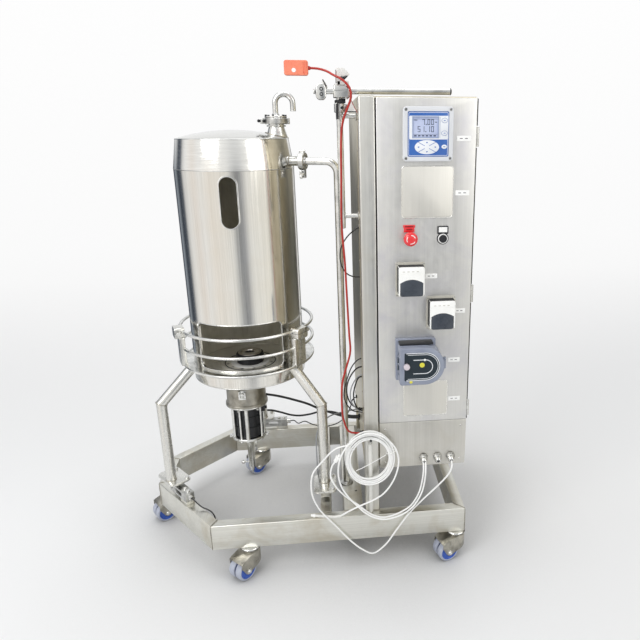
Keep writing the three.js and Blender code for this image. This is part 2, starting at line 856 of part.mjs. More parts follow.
function makeDrive() {
  const drive = groupAt(driveOffset, 0, 0, 0, vessel);
  const top = floorBottom - seatGap;
  const flange = revolve(
    [
      [0, flangeBottom],
      [flangeRadius - 12, flangeBottom],
      [flangeRadius, flangeBottom + 6],
      [flangeRadius, flangeBottom + 18],
      [flangeRadius - 5, flangeBottom + 24],
      [flangeRadius - 6, top],
      [0, top],
    ],
    32,
  );
  const lug = block(-18, 10, -flangeRadius - 6, -flangeRadius + 10, flangeBottom + 54, flangeBottom + 88);
  const shaftBore = rod("z", shaftRadius + runGap, top - 50, top + 1, -driveOffset, 0, 24);
  piece("drive_flange", cut(join(flange, lug), shaftBore), steel(), drive);

  const couplingBottom = floorTop + runGap;
  const ribs = Array.from({ length: 8 }, (_, i) =>
    block(couplingRadius - 3, couplingRadius + 2, -3, 3, couplingBottom + 6, couplingBottom + 26).rotateZ(
      (i * Math.PI) / 4,
    ),
  );
  const hub = revolve(
    [
      [0, top - 48],
      [shaftRadius, top - 48],
      [shaftRadius, couplingBottom],
      [couplingRadius, couplingBottom],
      [couplingRadius, couplingBottom + 28],
      [couplingRadius - 4, couplingBottom + 30],
      [couplingRadius - 4, couplingBottom + 35],
      [couplingRadius - 1, couplingBottom + 37],
      [couplingRadius - 3, couplingBottom + couplingHeight],
      [22, couplingBottom + couplingHeight],
      [18, couplingBottom + couplingHeight - 8],
      [0, couplingBottom + couplingHeight - 8],
    ],
    24,
  );
  piece("drive_coupling", join(hub, ...ribs), blackPlastic(), vessel);

  const plateTop = cageBottom + 10;
  const columns = [-150, -117, -90, -32, 28, 90].map((azimuth) =>
    rod("z", columnRadius, plateTop - 1, cageTop, cageRadius - columnRadius, 0, 8).rotateZ(radians(azimuth)),
  );
  const lugs = [-172, -8].map((azimuth) =>
    block(cageRadius - 4, cageRadius + 10, -8, 8, cageBottom, plateTop).rotateZ(radians(azimuth)),
  );
  const basePlate = revolve(
    closed([
      [spindleRadius + seatGap, cageBottom],
      [cageRadius, cageBottom],
      [cageRadius, plateTop],
      [spindleRadius + seatGap, plateTop],
    ]),
    24,
  );
  const stay = block(19, 29, -20, -14, cageBottom - 62, cageBottom + 1);
  piece("motor_cage", join(basePlate, ...columns, ...lugs, stay), brightSteel(), drive);

  const housingBottom = plateTop + seatGap;
  const grooves = [0.35, 0.7].map((share) => {
    const z = housingBottom + share * cageHeight;
    return revolve(closed([[motorRadius - 3, z], [motorRadius + 2, z], [motorRadius + 2, z + 4], [motorRadius - 3, z + 4]]), 24);
  });
  const housing = cut(rod("z", motorRadius, housingBottom, cageTop, 0, 0, 24), ...grooves);
  piece("motor_housing", housing, blackPlastic(), drive);

  const spindleTop = plateTop - seatGap;
  const spindleBottom = cageBottom - spindleLength;
  const rodBore = liftRodRadius + seatGap;
  const tube = revolve(
    closed([
      [rodBore, spindleBottom],
      [spindleRadius, spindleBottom],
      [spindleRadius, spindleTop],
      [rodBore, spindleTop],
    ]),
    16,
  );
  const travelSlot = block(-40, 0, -3.5, 3.5, spindleBottom + 18, spindleBottom + 66);
  const frontSlot = block(-2.5, 2.5, -40, 0, spindleBottom - 1, spindleBottom + 46);
  piece("spindle_tube", cut(tube, travelSlot, frontSlot), brightSteel(), drive);

  const pinZ = spindleBottom + 22;
  const liftRod = join(
    rod("z", liftRodRadius, spindleBottom - 14, spindleTop - 50, 0, 0, 16),
    rod("x", 3, -30, 0, 0, pinZ, 8),
    new THREE.SphereGeometry(8, 12, 6).translate(-34, 0, pinZ),
    rod("z", 4, spindleBottom - 26, spindleBottom - 13, 0, 0, 8),
  );
  piece("lift_rod", liftRod, brightSteel(), drive);
}

// ---- cabinet ----

const cabinet = groupAt(0, 0, 0);
const pinHeights = hingeHeights.map((lift) => cabinetBottom + lift);

function makeCabinetBody() {
  const sheet = cabinetSheet;
  const notchRight = cabinetLeft + postSide + seatGap;
  const notchRear = cabinetFront + postSide + seatGap;
  const notch = block(cabinetLeft - 5, notchRight, cabinetFront - 5, notchRear, 0, cabinetTop + 5);
  const wallNotch = block(cabinetLeft - 5, notchRight + sheet, cabinetFront - 5, notchRear + sheet, 0, cabinetTop + 5);
  const outside = cut(block(cabinetLeft, cabinetRight, bodyFront, cabinetRear, cabinetBottom, cabinetTop), notch);
  const hollow = cut(
    block(
      cabinetLeft + sheet,
      cabinetRight - sheet,
      bodyFront + sheet,
      cabinetRear - sheet,
      cabinetBottom + sheet,
      cabinetTop - sheet,
    ),
    wallNotch,
  );
  const mouth = block(
    notchRight + 13,
    cabinetRight - 13,
    bodyFront - 5,
    bodyFront + sheet + 5,
    cabinetBottom + 10,
    cabinetTop - 10,
  );
  const feet = [cabinetLeft, cabinetRight - postSide].map((x) =>
    block(x, x + postSide, cabinetRear - postSide, cabinetRear, frameTop + seatGap, cabinetBottom + 1),
  );
  const gland = rod("x", 8, cabinetLeft - 14, cabinetLeft + 1, cableEntryY, cableEntryZ, 12);
  const hinges = pinHeights.flatMap((z) => [
    rod("z", 2, z - 30, z + 30, hingeX, hingeY, 8),
    ...[-30, 10].flatMap((low) => [
      rod("z", hingeRadius, z + low, z + low + 20, hingeX, hingeY, 10),
      block(cabinetRight - 0.5, hingeX, hingeY, bodyFront + 34, z + low, z + low + 20),
    ]),
  ]);
  const body = cut(join(cut(outside, hollow, mouth), ...feet, gland, ...hinges));
  piece("cabinet_body", body, steel(), cabinet);

  const post = block(
    cabinetLeft,
    cabinetLeft + postSide,
    cabinetFront,
    cabinetFront + postSide,
    frameTop + seatGap,
    cabinetTop,
  );
  piece("cabinet_post", post, steel(), cabinet);
}

// The mouth of the gland that the white tube leaves from, and the way it points.
const glandTilt = radians(20);
const glandLength = 26;
const tubeGlandX = glandXs[2];
const glandMouth = new THREE.Vector3(0, -Math.cos(glandTilt), -Math.sin(glandTilt));

const cableEntryY = -283;
const cableEntryZ = cabinetBottom + 114;

// A shallow tray of sheet, open at the back, that covers part of the front.
function tray(bottom, top, rear) {
  return cut(
    block(doorLeft, doorRight, cabinetFront, rear, bottom, top),
    block(
      doorLeft + doorSheet,
      doorRight - doorSheet,
      cabinetFront + doorSheet,
      rear + 5,
      bottom + doorSheet,
      top - doorSheet,
    ),
  );
}

const levelOf = (lift) => cabinetBottom + lift;
const transmitterBack = { width: 132, height: 136, depth: 62 };
const pumpMotorRadius = 20;
const largeMotorRadius = 32;
const stemRadius = 10;
const largePumpBoreZ = levelOf(largePumpLift);

function makeDoor() {
  const bottom = doorBottom + 1.5;
  const through = (radius, x, lift) =>
    rod("y", radius, cabinetFront - 20, doorRear + 5, x, levelOf(lift));
  const back = transmitterBack;
  const transmitterHole = block(
    transmitterX - back.width / 2 - seatGap,
    transmitterX + back.width / 2 + seatGap,
    cabinetFront - 5,
    doorRear + 5,
    levelOf(transmitterLift) - back.height / 2 - seatGap,
    levelOf(transmitterLift) + back.height / 2 + seatGap,
  );
  const bezel = rod("y", buttonRadius + 4, cabinetFront - 7, cabinetFront + 1, buttonX, levelOf(buttonLift));
  const collar = rod("y", stemRadius + 7, cabinetFront - 8, cabinetFront + 1, stopX, levelOf(stopLift));
  const knuckles = pinHeights.flatMap((z) => [
    rod("z", hingeRadius, z - 9.4, z + 9.4, hingeX, hingeY, 10),
    block(doorRight - 1, hingeX, hingeY - 3, hingeY + 3, z - 9.4, z + 9.4),
  ]);
  const pinBores = pinHeights.map((z) => rod("z", 2 + runGap, z - 12, z + 12, hingeX, hingeY, 8));
  const door = cut(
    join(tray(bottom, cabinetTop - 4, doorRear), bezel, collar, ...knuckles),
    ...pinBores,
    transmitterHole,
    through(stemRadius + seatGap, stopX, stopLift),
    through(buttonRadius + runGap, buttonX, buttonLift),
    ...pumpPlaces.map(([x, lift]) => through(pumpMotorRadius + seatGap, x, lift)),
    through(largeMotorRadius + seatGap, largePumpX, largePumpLift),
  );
  piece("cabinet_door", door, finish(0xa9acad, 0.4, 0.8), cabinet);
}

function makeGlandSill() {
  const z = levelOf(glandLift);
  const gland = (x, radius, start, end, sides) =>
    rod("y", radius, -end, -start, 0, 0, sides).rotateX(glandTilt).translate(x, cabinetFront + doorSheet, z);
  const glands = glandXs.flatMap((x) => [
    gland(x, glandRadius, 0.5, 12, 6),
    gland(x, glandRadius - 3, 11, glandLength, 12),
  ]);
  const bores = glandXs.map((x) => gland(x, x === tubeGlandX ? tubeRadius - 1 : tubeRadius + 2, -20, 30, 8));
  const sheet = tray(cabinetBottom + 2, doorBottom - 0.5, bodyFront - seatGap);
  const sill = cut(join(sheet, ...glands), ...bores);
  piece("gland_sill", sill, finish(0xa9acad, 0.4, 0.8), cabinet);
}

function makeMountingPlate() {
  const rear = cabinetRear - cabinetSheet - seatGap;
  const plate = block(cabinetLeft + 40, cabinetRight - 40, rear - 24, rear - 20, cabinetBottom + 60, cabinetTop - 60);
  const standoffs = [cabinetLeft + 60, cabinetRight - 60].flatMap((x) =>
    [cabinetBottom + 90, cabinetTop - 90].map((z) => rod("y", 8, rear - 21, rear, x, z, 8)),
  );
  const modules = [
    block(cabinetLeft + 70, cabinetRight - 70, rear - 110, rear - 23, cabinetTop - 330, cabinetTop - 210),
    block(cabinetLeft + 70, cabinetRight - 90, rear - 90, rear - 23, cabinetBottom + 560, cabinetBottom + 650),
    block(cabinetLeft + 90, cabinetRight - 70, rear - 120, rear - 23, cabinetBottom + 160, cabinetBottom + 330),
  ];
  piece("mounting_plate", join(plate, ...standoffs, ...modules), steel(), cabinet);
}

// ---- instruments ----

function makeTransmitter() {
  const z = levelOf(transmitterLift);
  const back = transmitterBack;
  const rear = cabinetFront - seatGap;
  const front = rear - 14;
  const frame = (inset, radius) =>
    roundedRectangle(
      transmitterX - transmitterWidth / 2 + inset,
      transmitterX + transmitterWidth / 2 - inset,
      z - transmitterHeight / 2 + inset,
      z + transmitterHeight / 2 - inset,
      radius,
    );
  const housing = join(
    prismY(frame(0, 12), front, rear, 2),
    block(
      transmitterX - back.width / 2,
      transmitterX + back.width / 2,
      rear - 1,
      cabinetFront + back.depth,
      z - back.height / 2,
      z + back.height / 2,
    ),
  );
  const face = prismY(frame(14, 4), front - 1, front + 2.5, 1);
  const screen = block(transmitterX - 50, transmitterX + 33, front, front + 5, z - 12, z + 52);
  const key = (x, lift, across, high) =>
    new THREE.CylinderGeometry(1, 1, 4.5, 16).scale(across / 2, 1, high / 2).translate(x, front + 3.5, z + lift);
  const keys = [
    key(transmitterX + 50, 40, 17, 14),
    key(transmitterX + 50, 3, 17, 14),
    key(transmitterX - 4, -38, 76, 42),
    key(transmitterX + 50, -37, 17, 14),
  ];
  const whole = join(cut(housing, face, screen), ...keys);
  piece("transmitter", whole, finish(0xc9cac6, 0.5, 0.1), cabinet);
}

function makeStopButton() {
  const z = levelOf(stopLift);
  const front = cabinetFront - 8;
  const stemEnd = front - 14;
  const flangeFront = cabinetFront + doorSheet + seatGap;
  const plunger = join(
    rod("y", stemRadius, stemEnd, cabinetFront + 36, stopX, z),
    rod("y", stemRadius + 5, flangeFront, flangeFront + 4, stopX, z),
    rod("y", 6, stemEnd - 12, stemEnd + 1, stopX, z, 6),
  );
  piece("estop_plunger", plunger, blackPlastic(), cabinet);
  const headRear = stemEnd - seatGap;
  const head = new THREE.LatheGeometry(
    [
      [0, 0],
      [stopHeadRadius - 6, 0],
      [stopHeadRadius, -5],
      [stopHeadRadius, -10],
      [stopHeadRadius - 5, -17],
      [stopHeadRadius - 12, -20],
      [0, -21],
    ].map(([radius, along]) => new THREE.Vector2(radius, along)),
    20,
  ).translate(stopX, headRear, z);
  const socket = rod("y", 6 + runGap, headRear - 12.5, headRear + 1, stopX, z, 16);
  piece("estop_head", cut(head, socket), finish(0xd7191f, 0.3, 0), cabinet);

  const buttonZ = levelOf(buttonLift);
  const button = join(
    rod("y", buttonRadius, cabinetFront - 10, cabinetFront + doorSheet + seatGap + 1, buttonX, buttonZ),
    rod("y", buttonRadius + 3, flangeFront, flangeFront + 4, buttonX, buttonZ),
    rod("y", 5, flangeFront + 3, flangeFront + 8, buttonX, buttonZ, 12),
  );
  piece("push_button", button, blackPlastic(), cabinet);
}

// A small roller pump: a housing with an arched mouth, a flap over it and the roller head behind.
function makeSmallPump(number, [x, lift]) {
  const centre = levelOf(lift);
  const rear = cabinetFront - seatGap;
  const front = rear - pumpDepth;
  const halfWidth = pumpWidth / 2;
  const halfHeight = pumpHeight / 2;
  const flapHalf = halfWidth - 5;
  const archTop = centre + 8;
  const archBottom = centre - halfHeight + 4;
  const rotorRadius = 23;
  const rotorZ = centre - 16;
  const arch = (grow) => {
    const half = flapHalf + grow;
    const shape = new THREE.Shape();
    shape.absarc(x - half + 9, archBottom - grow + 9, 9, Math.PI, (3 * Math.PI) / 2);
    shape.absarc(x + half - 9, archBottom - grow + 9, 9, (3 * Math.PI) / 2, 2 * Math.PI);
    shape.lineTo(x + half, archTop - 12);
    shape.quadraticCurveTo(x, archTop + 12 + grow, x - half, archTop - 12);
    return shape;
  };
  const housing = join(
    block(x - halfWidth - 6, x + halfWidth + 6, rear - 4, rear, centre - halfHeight - 8, centre + halfHeight + 8),
    prismY(
      roundedRectangle(x - halfWidth, x + halfWidth, centre - halfHeight, centre + halfHeight, 7),
      front,
      rear - 3,
      1,
    ),
    rod("y", pumpMotorRadius, rear - 1, cabinetFront + 58, x, centre),
  );
  const flapDepth = 9;
  const mouth = prismY(arch(runGap), front - 1, front + flapDepth + runGap, 2);
  const rotorRoom = rod("y", rotorRadius + 1, front, front + 30, x, rotorZ, 20);
  const shaftBore = rod("y", 4 + runGap, front, front + 36, x, rotorZ, 8);
  const lipGap = block(
    x - flapHalf - 8,
    x + flapHalf + 8,
    front - 1,
    front + flapDepth + runGap,
    centre - halfHeight - 1,
    archBottom + 10,
  );
  const pinZ = archBottom - 1;
  const pinY = front + 5;
  const ears = [-1, 1].map((side) =>
    block(
      x + side * (flapHalf + runGap + 1.5) - 1.5,
      x + side * (flapHalf + runGap + 1.5) + 1.5,
      front + 1,
      front + flapDepth + 3,
      centre - halfHeight,
      pinZ + 5,
    ),
  );
  const pin = rod("x", 1.6, x - flapHalf - runGap - 1, x + flapHalf + runGap + 1, pinY, pinZ, 8);
  const body = join(cut(housing, mouth, rotorRoom, shaftBore, lipGap), ...ears, pin);
  piece("pump_body_" + number, body, finish(0xe6e4d6, 0.45, 0), cabinet);

  const barrel = rod("x", 3.6, x - flapHalf + 1, x + flapHalf - 1, pinY, pinZ, 10);
  const flap = cut(
    join(common(prismY(arch(0), front, front + flapDepth, 2), block(x - 99, x + 99, front, rear, pinZ, archTop + 20)), barrel),
    rod("x", 1.6 + seatGap, x - 99, x + 99, pinY, pinZ, 8),
  );
  piece("pump_flap_" + number, flap, finish(0x4c535c, 0.4, 0), cabinet);

  const rotorFront = front + flapDepth + 2 * runGap;
  piece("pump_rotor_" + number, rollerHead(x, rotorZ, rotorRadius, rotorFront, front + 29, front + 35, 3), steel(), cabinet);
}

// Rollers between two discs on one shaft, which runs back into its bearing.
function rollerHead(x, z, radius, front, rear, shaftEnd, rollers) {
  const rollerRadius = radius * 0.27;
  const disc = (start) => rod("y", radius * 0.8, start, start + 3, x, z, 16);
  const round = Array.from({ length: rollers }, (_, i) => {
    const angle = (2 * Math.PI * i) / rollers;
    const reach = radius - rollerRadius;
    return rod("y", rollerRadius, front + 1, rear - 1, x + reach * Math.cos(angle), z + reach * Math.sin(angle), 8);
  });
  return join(disc(front), disc(rear - 3), ...round, rod("y", 4, front + 1, shaftEnd, x, z, 8));
}

// The large roller pump: a deep housing with a D-shaped track and a hinged cover over it.
function makeLargePump() {
  const z = largePumpBoreZ;
  const x = largePumpX;
  const rear = cabinetFront - seatGap;
  const front = rear - largePumpDepth;
  const coverDepth = 26;
  const split = front + coverDepth;
  const half = largePumpHeight / 2;
  const left = x - largePumpWidth / 2;
  const right = x + largePumpWidth / 2;
  const outline = (inset) => {
    const shape = new THREE.Shape();
    const radius = half - inset;
    shape.moveTo(left + inset, z + radius);
    shape.lineTo(left + inset, z - radius);
    shape.absarc(right - half, z, radius, -Math.PI / 2, Math.PI / 2);
    return shape;
  };
  const rotorRadius = 44;
  const rotorX = x + 4;
  const housing = join(
    prismY(outline(0), split + seatGap, rear, 5),
    block(left - 6, right - 20, rear - 24, rear, z - half - 7, z + half + 9),
    rod("y", largeMotorRadius, rear - 1, cabinetFront + 84, x, z),
  );
  const room = rod("y", rotorRadius + 1.5, split - 1, split + 44, rotorX, z, 24);
  const tubeWays = [-1, 1].map((side) =>
    block(left - 1, rotorX, split - 1, split + 22, z + side * 36 - 7, z + side * 36 + 7),
  );
  const shaftBore = rod("y", 4 + runGap, split, split + 52, rotorX, z, 8);
  const pinX = right + 5;
  const pinY = split + 4;
  const eyes = [-20, 12].map((low) =>
    join(
      rod("z", 4.5, z + low, z + low + 8, pinX, pinY, 10),
      block(right - 6, pinX, pinY - 2, pinY + 4, z + low, z + low + 8),
    ),
  );
  const pin = rod("z", 1.8, z - 20, z + 20, pinX, pinY, 8);
  const body = join(cut(housing, room, ...tubeWays, shaftBore), ...eyes, pin);
  piece("large_pump_body", body, finish(0x8b929c, 0.45, 0.2), cabinet);

  const track = cut(
    prismY(outline(14), front - 3, front + 1, 5),
    prismY(outline(20), front - 4, front + 2, 5),
  );
  const barrel = rod("z", 4.5, z - 11.4, z + 11.4, pinX, pinY, 10);
  const strap = block(right - 14, pinX, split - 4, pinY, z - 11.4, z + 11.4);
  const relief = block(right - 20, pinX + 9, split, split + 20, z - 14, z + 14);
  const handle = rod("y", 10, front - 12, front + 1, left + 22, z + 4, 16);
  const cover = cut(
    join(prismY(outline(0), front, split, 5), track, handle, strap, barrel),
    rod("z", 1.8 + seatGap, z - 30, z + 30, pinX, pinY, 8),
    common(relief, block(right - 30, right + 0.1, split - 1, split + 30, z - 20, z + 20)),
  );
  piece("large_pump_cover", cover, finish(0x5d6672, 0.4, 0), cabinet);
  piece("large_pump_rotor", rollerHead(rotorX, z, rotorRadius, split + 1.5, split + 42, split + 50, 4), steel(), cabinet);
}

// ---- pole, rods and hook ----

function makePole() {
  const side = cabinetLeft - seatGap;
  const armHeights = [poleBottom + 40, cabinetTop - armDrop];
  const arms = armHeights.map((z) => rod("x", 7, poleX, side, poleY, z, 12));
  const feet = armHeights.map((z) => rod("x", 14, side - 4, side, poleY, z, 12));
  const collar = rod("z", poleRadius + 7, armHeights[1] + 10, armHeights[1] + 38, poleX, poleY, 16);
  const clip = block(poleX - 6, poleX + 30, poleY - 28, poleY + 10, poleTop - 46, poleTop - 34);
  piece("pole", join(rod("z", poleRadius, poleBottom, poleTop, poleX, poleY, 16), ...arms, ...feet, collar, clip), brightSteel(), cabinet);
}

const rodY = poleY - 22;

function makeRods() {
  const bore = poleRadius + seatGap;
  const boss = cut(
    prismZ(roundedRectangle(poleX - 18, poleX + 32, poleY - 40, poleY + 18, 6), crossRodHeight - 19, crossRodHeight + 15, 1),
    rod("z", bore, 0, poleTop + 50, poleX, poleY, 16),
    rod("x", 9.5 + seatGap, poleX - 60, poleX + 60, rodY, crossRodHeight, 16),
  );
  piece("boss_head", boss, brightSteel(), cabinet);
  const crossRod = join(
    rod("x", 9.5, crossRodStart, crossRodEnd, rodY, crossRodHeight, 16),
    block(crossRodStart - 2, crossRodStart + 30, rodY - 17, rodY + 17, crossRodHeight - 26, crossRodHeight + 22),
    rod("x", 3.5, crossRodStart - 30, crossRodStart + 2, rodY, crossRodHeight + 10, 12),
  );
  piece("cross_rod", crossRod, brightSteel(), cabinet);

  const hookY = frameFront + 15;
  const hookTop = coilHeight + coilInner * coilStretch - 1 - hookRadius;
  const bend = 14;
  const lift = new THREE.Vector3(hookX, hookY, frameTop + seatGap);
  const turn = (centreY, centreZ, start, end) =>
    Array.from({ length: 5 }, (_, i) => {
      const angle = radians(start + ((end - start) * i) / 4);
      return new THREE.Vector3(hookX, centreY + bend * Math.cos(angle), centreZ + bend * Math.sin(angle));
    });
  const tipY = coilY - coilThickness / 2 - 10;
  const route = [
    lift,
    ...turn(hookY - bend, hookTop - bend, 0, 90),
    new THREE.Vector3(hookX, tipY, hookTop),
    new THREE.Vector3(hookX, tipY - 6, hookTop + 12),
  ];
  piece("hook_rod", sweep(route, hookRadius, 12), brightSteel(), model);
}

// ---- plug, cable, tube and coil ----

function makePlug() {
  const outline = new THREE.Shape();
  const half = 22;
  outline.moveTo(plugX + 6, plugHeight - half + 6);
  outline.lineTo(plugX + 30, plugHeight - half);
  outline.lineTo(plugX + 56, plugHeight - 12);
  outline.lineTo(plugX + plugLength, plugHeight - 7);
  outline.lineTo(plugX + plugLength, plugHeight + 7);
  outline.lineTo(plugX + 56, plugHeight + 14);
  outline.lineTo(plugX + 30, plugHeight + half);
  outline.lineTo(plugX, plugHeight + half - 8);
  const shape = prismY(outline, plugY - 10, plugY + 10);
  piece("orange_plug", shape, finish(0xd9441c, 0.45, 0), model);
}

function makeCords() {
  const cable = smoothRoute(
    [
      [plugX + plugLength + seatGap, plugY, plugHeight],
      [104, plugY, plugHeight - 1],
      [130, plugY, plugHeight - 7],
      [152, poleY - 36, crossRodHeight + 44],
      [176, poleY - 46, crossRodHeight + 32],
      [199, poleY - 48, crossRodHeight + 8],
      [203, poleY - 46, crossRodHeight - 17],
      [194, poleY - 38, crossRodHeight - 44],
      [180, poleY - 30, crossRodHeight - 78],
      [172, -290, 1556],
      [167, -287, 1405],
      [164, -285, 1262],
      [171, -283, 1138],
      [175, -283, 1007],
      [179, -283, 881],
      [181, -283, 818],
      [165, -283, 758],
      [150, -283, 702],
      [146, -283, 640],
      [150, -283, 560],
      [170, cableEntryY, cableEntryZ + 8],
      [cabinetLeft - 15, cableEntryY, cableEntryZ],
    ],
    56,
  );
  piece("red_cable", sweep(cable, cableRadius, 8), finish(0xb0281c, 0.5, 0), model);

  const outOfGland = (reach) =>
    new THREE.Vector3(tubeGlandX, cabinetFront + doorSheet, levelOf(glandLift)).addScaledVector(glandMouth, reach);
  const tubeRun = smoothRoute(
    [
      outOfGland(glandLength + 9).toArray(),
      [532, -387, 397],
      [524, -388, 376],
      [505, -386, 348],
      [476, -386, 317],
      [432, -386, 274],
      [381, -386, 219],
      [333, -386, 150],
      [287, -386, 84],
      [242, -386, 52],
      [202, -386, 74],
      [158, -386, 118],
      [105, -386, 188],
      [54, -386, 256],
      [31, -386, 312],
      [27, -386, 361],
      [36, -386, 409],
      [69, -384, 450],
      [115, -380, 494],
      [148, -376, 512],
    ],
    52,
  );
  const tube = [outOfGland(glandLength + seatGap), ...tubeRun];
  piece("white_tube", sweep(tube, tubeRadius, 8), tubing(), model);

  const half = coilThickness / 2;
  const ring = revolve(
    closed([
      [coilInner + 5, -half],
      [coilOuter - 5, -half],
      [coilOuter, -half + 5],
      [coilOuter, half - 5],
      [coilOuter - 5, half],
      [coilInner + 5, half],
      [coilInner, half - 5],
      [coilInner, -half + 5],
    ]),
    24,
  );
  ring.rotateX(Math.PI / 2).scale(1, 1, coilStretch).translate(coilX, coilY, coilHeight);
  piece("tube_coil", ring, tubing(), model);
}

// ---- assembly ----

makeBaseFrame();
casters.forEach(makeCaster);
legPlaces.forEach(makeLoadCell);
legPlaces.forEach(makeLeg);
makeVesselShell();
makeVesselHead();
makeVesselFloor();
makeVentPipe();
makeClamps();
makeSidePipe();
makeStandRing();
makeDrive();
makeCabinetBody();
makeDoor();
makeGlandSill();
makeMountingPlate();
makeTransmitter();
makeStopButton();
pumpPlaces.forEach((place, i) => makeSmallPump(i + 1, place));
makeLargePump();
makePole();
makeRods();
makePlug();
makeCords();

// The origin is under the middle of the machine, leaving out what hangs from it.
const hanging = ["orange_plug", "red_cable", "white_tube", "tube_coil"];
model.updateMatrixWorld(true);
const machine = new THREE.Box3();
model.traverse((child) => {
  if (child.isMesh && !hanging.includes(child.name)) machine.expandByObject(child, true);
});
const middle = machine.getCenter(new THREE.Vector3());
model.position.set(-middle.x, -middle.y, 0);

export default model;
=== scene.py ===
import functools
import math
from collections import namedtuple

import bmesh
import bpy
from mathutils import Matrix, Vector


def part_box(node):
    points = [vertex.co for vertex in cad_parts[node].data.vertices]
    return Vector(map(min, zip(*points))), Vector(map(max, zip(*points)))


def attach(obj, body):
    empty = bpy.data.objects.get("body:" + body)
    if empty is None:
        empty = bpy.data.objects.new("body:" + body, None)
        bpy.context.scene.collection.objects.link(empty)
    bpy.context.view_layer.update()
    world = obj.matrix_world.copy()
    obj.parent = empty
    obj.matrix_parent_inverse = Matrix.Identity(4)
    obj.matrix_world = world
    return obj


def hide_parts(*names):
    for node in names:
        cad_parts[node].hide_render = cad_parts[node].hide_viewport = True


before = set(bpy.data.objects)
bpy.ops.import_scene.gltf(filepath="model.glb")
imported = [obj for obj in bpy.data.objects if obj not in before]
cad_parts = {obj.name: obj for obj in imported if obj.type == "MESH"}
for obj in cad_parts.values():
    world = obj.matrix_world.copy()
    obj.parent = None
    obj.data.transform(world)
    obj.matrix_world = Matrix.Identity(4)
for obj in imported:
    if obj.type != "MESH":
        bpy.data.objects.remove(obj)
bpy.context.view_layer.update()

# ---- frame of the design ----

GAP = 0.3  # between solids that only touch
WHEEL = 40
WHEEL_FACETS = 16
AXLE_Z = WHEEL * math.cos(math.pi / WHEEL_FACETS)
HOOD_TOP = AXLE_Z + WHEEL + 19.4
RACE = 4.8
CASTER_PLATE = 8
FRAME_BOTTOM = HOOD_TOP + RACE + GAP + CASTER_PLATE
FRAME_TOP = FRAME_BOTTOM + 100
VESSEL = Vector((-196, -36, 0))
VESSEL_R = 204
WALL = 8
VESSEL_BOTTOM = FRAME_TOP + 463
SEAM = VESSEL_BOTTOM + 758
SHOULDER = SEAM + 98
FLOOR_Z = VESSEL_BOTTOM + 25
SHELF_Z = VESSEL_BOTTOM + 61
CABINET_BOTTOM = FRAME_TOP + 174
CABINET_TOP = CABINET_BOTTOM + 1270
CABINET_LEFT = 222
CABINET_RIGHT = 590
FRONT = -348
REAR = 348
BODY_FRONT = FRONT + 19
DOOR_LEFT = CABINET_LEFT + 53
DOOR_RIGHT = CABINET_RIGHT - 2
DOOR_BOTTOM = CABINET_BOTTOM + 180
FRAME_FRONT = -376

post_low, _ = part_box("cabinet_post")
SHIFT = Vector((post_low.x * 1000 - CABINET_LEFT, post_low.y * 1000 - FRONT, 0))


def lifted(height):
    return CABINET_BOTTOM + height


def metres(x, y, z):
    return (Vector((x, y, z)) + SHIFT) / 1000


def polar(radius, degrees):
    angle = math.radians(degrees)
    return radius * math.cos(angle), radius * math.sin(angle)


# ---- shapes, as bmesh in millimetres ----

Z_TO_X = Matrix(((0, 0, 1, 0), (1, 0, 0, 0), (0, 1, 0, 0), (0, 0, 0, 1)))
Z_TO_FRONT = Matrix(((1, 0, 0, 0), (0, 0, -1, 0), (0, 1, 0, 0), (0, 0, 0, 1)))
Y_Z_SWAP = Matrix(((1, 0, 0, 0), (0, 0, 1, 0), (0, 1, 0, 0), (0, 0, 0, 1)))


def facing_front(x, y, z):
    return Matrix.Translation((x, y, z)) @ Z_TO_FRONT


def turned_at(x, y, z, degrees):
    return Matrix.Translation((x, y, z)) @ Matrix.Rotation(math.radians(degrees), 4, "Z")


def merged(*shapes):
    whole = bmesh.new()
    for shape in shapes:
        mesh = bpy.data.meshes.new("part")
        shape.to_mesh(mesh)
        shape.free()
        whole.from_mesh(mesh)
        bpy.data.meshes.remove(mesh)
    return whole


def moved(shape, matrix):
    bmesh.ops.transform(shape, matrix=matrix, verts=shape.verts)
    return shape


def shifted(shape, x, y, z):
    return moved(shape, Matrix.Translation((x, y, z)))


def turned(shape, degrees, axis="Z"):
    return moved(shape, Matrix.Rotation(math.radians(degrees), 4, axis))


def laid(shape, axis, a, b):
    """Lays a shape drawn along z along the axis, at a and b on the other two."""
    if axis == "x":
        return moved(shape, Matrix(((0, 0, 1, 0), (1, 0, 0, a), (0, 1, 0, b), (0, 0, 0, 1))))
    if axis == "y":
        return moved(shape, Matrix(((1, 0, 0, a), (0, 0, 1, 0), (0, -1, 0, b), (0, 0, 0, 1))))
    return shifted(shape, a, b, 0)


def closed_up(shape):
    bmesh.ops.recalc_face_normals(shape, faces=shape.faces)
    return shape


def skin(shape, here, there):
    """Faces between two loops with the same number of vertices."""
    for k in range(len(here)):
        after = (k + 1) % len(here)
        shape.faces.new([here[k], here[after], there[after], there[k]])


def softened(shape, width, segments=2, least=25):
    edges = [
        edge
        for edge in shape.edges
        if len(edge.link_faces) == 2 and edge.calc_face_angle(0) > math.radians(least)
    ]
    if width > 0 and edges:
        bmesh.ops.bevel(
            shape,
            geom=edges,
            offset=width,
            offset_type="OFFSET",
            segments=segments,
            profile=0.5,
            affect="EDGES",
            clamp_overlap=True,
        )
    return shape


def block(x0, x1, y0, y1, z0, z1, bevel=0.0, segments=2):
    shape = bmesh.new()
    size = Matrix.Diagonal((x1 - x0, y1 - y0, z1 - z0, 1))
    place = Matrix.Translation(((x0 + x1) / 2, (y0 + y1) / 2, (z0 + z1) / 2))
    bmesh.ops.create_cube(shape, size=1, matrix=place @ size)
    return softened(shape, bevel, segments)


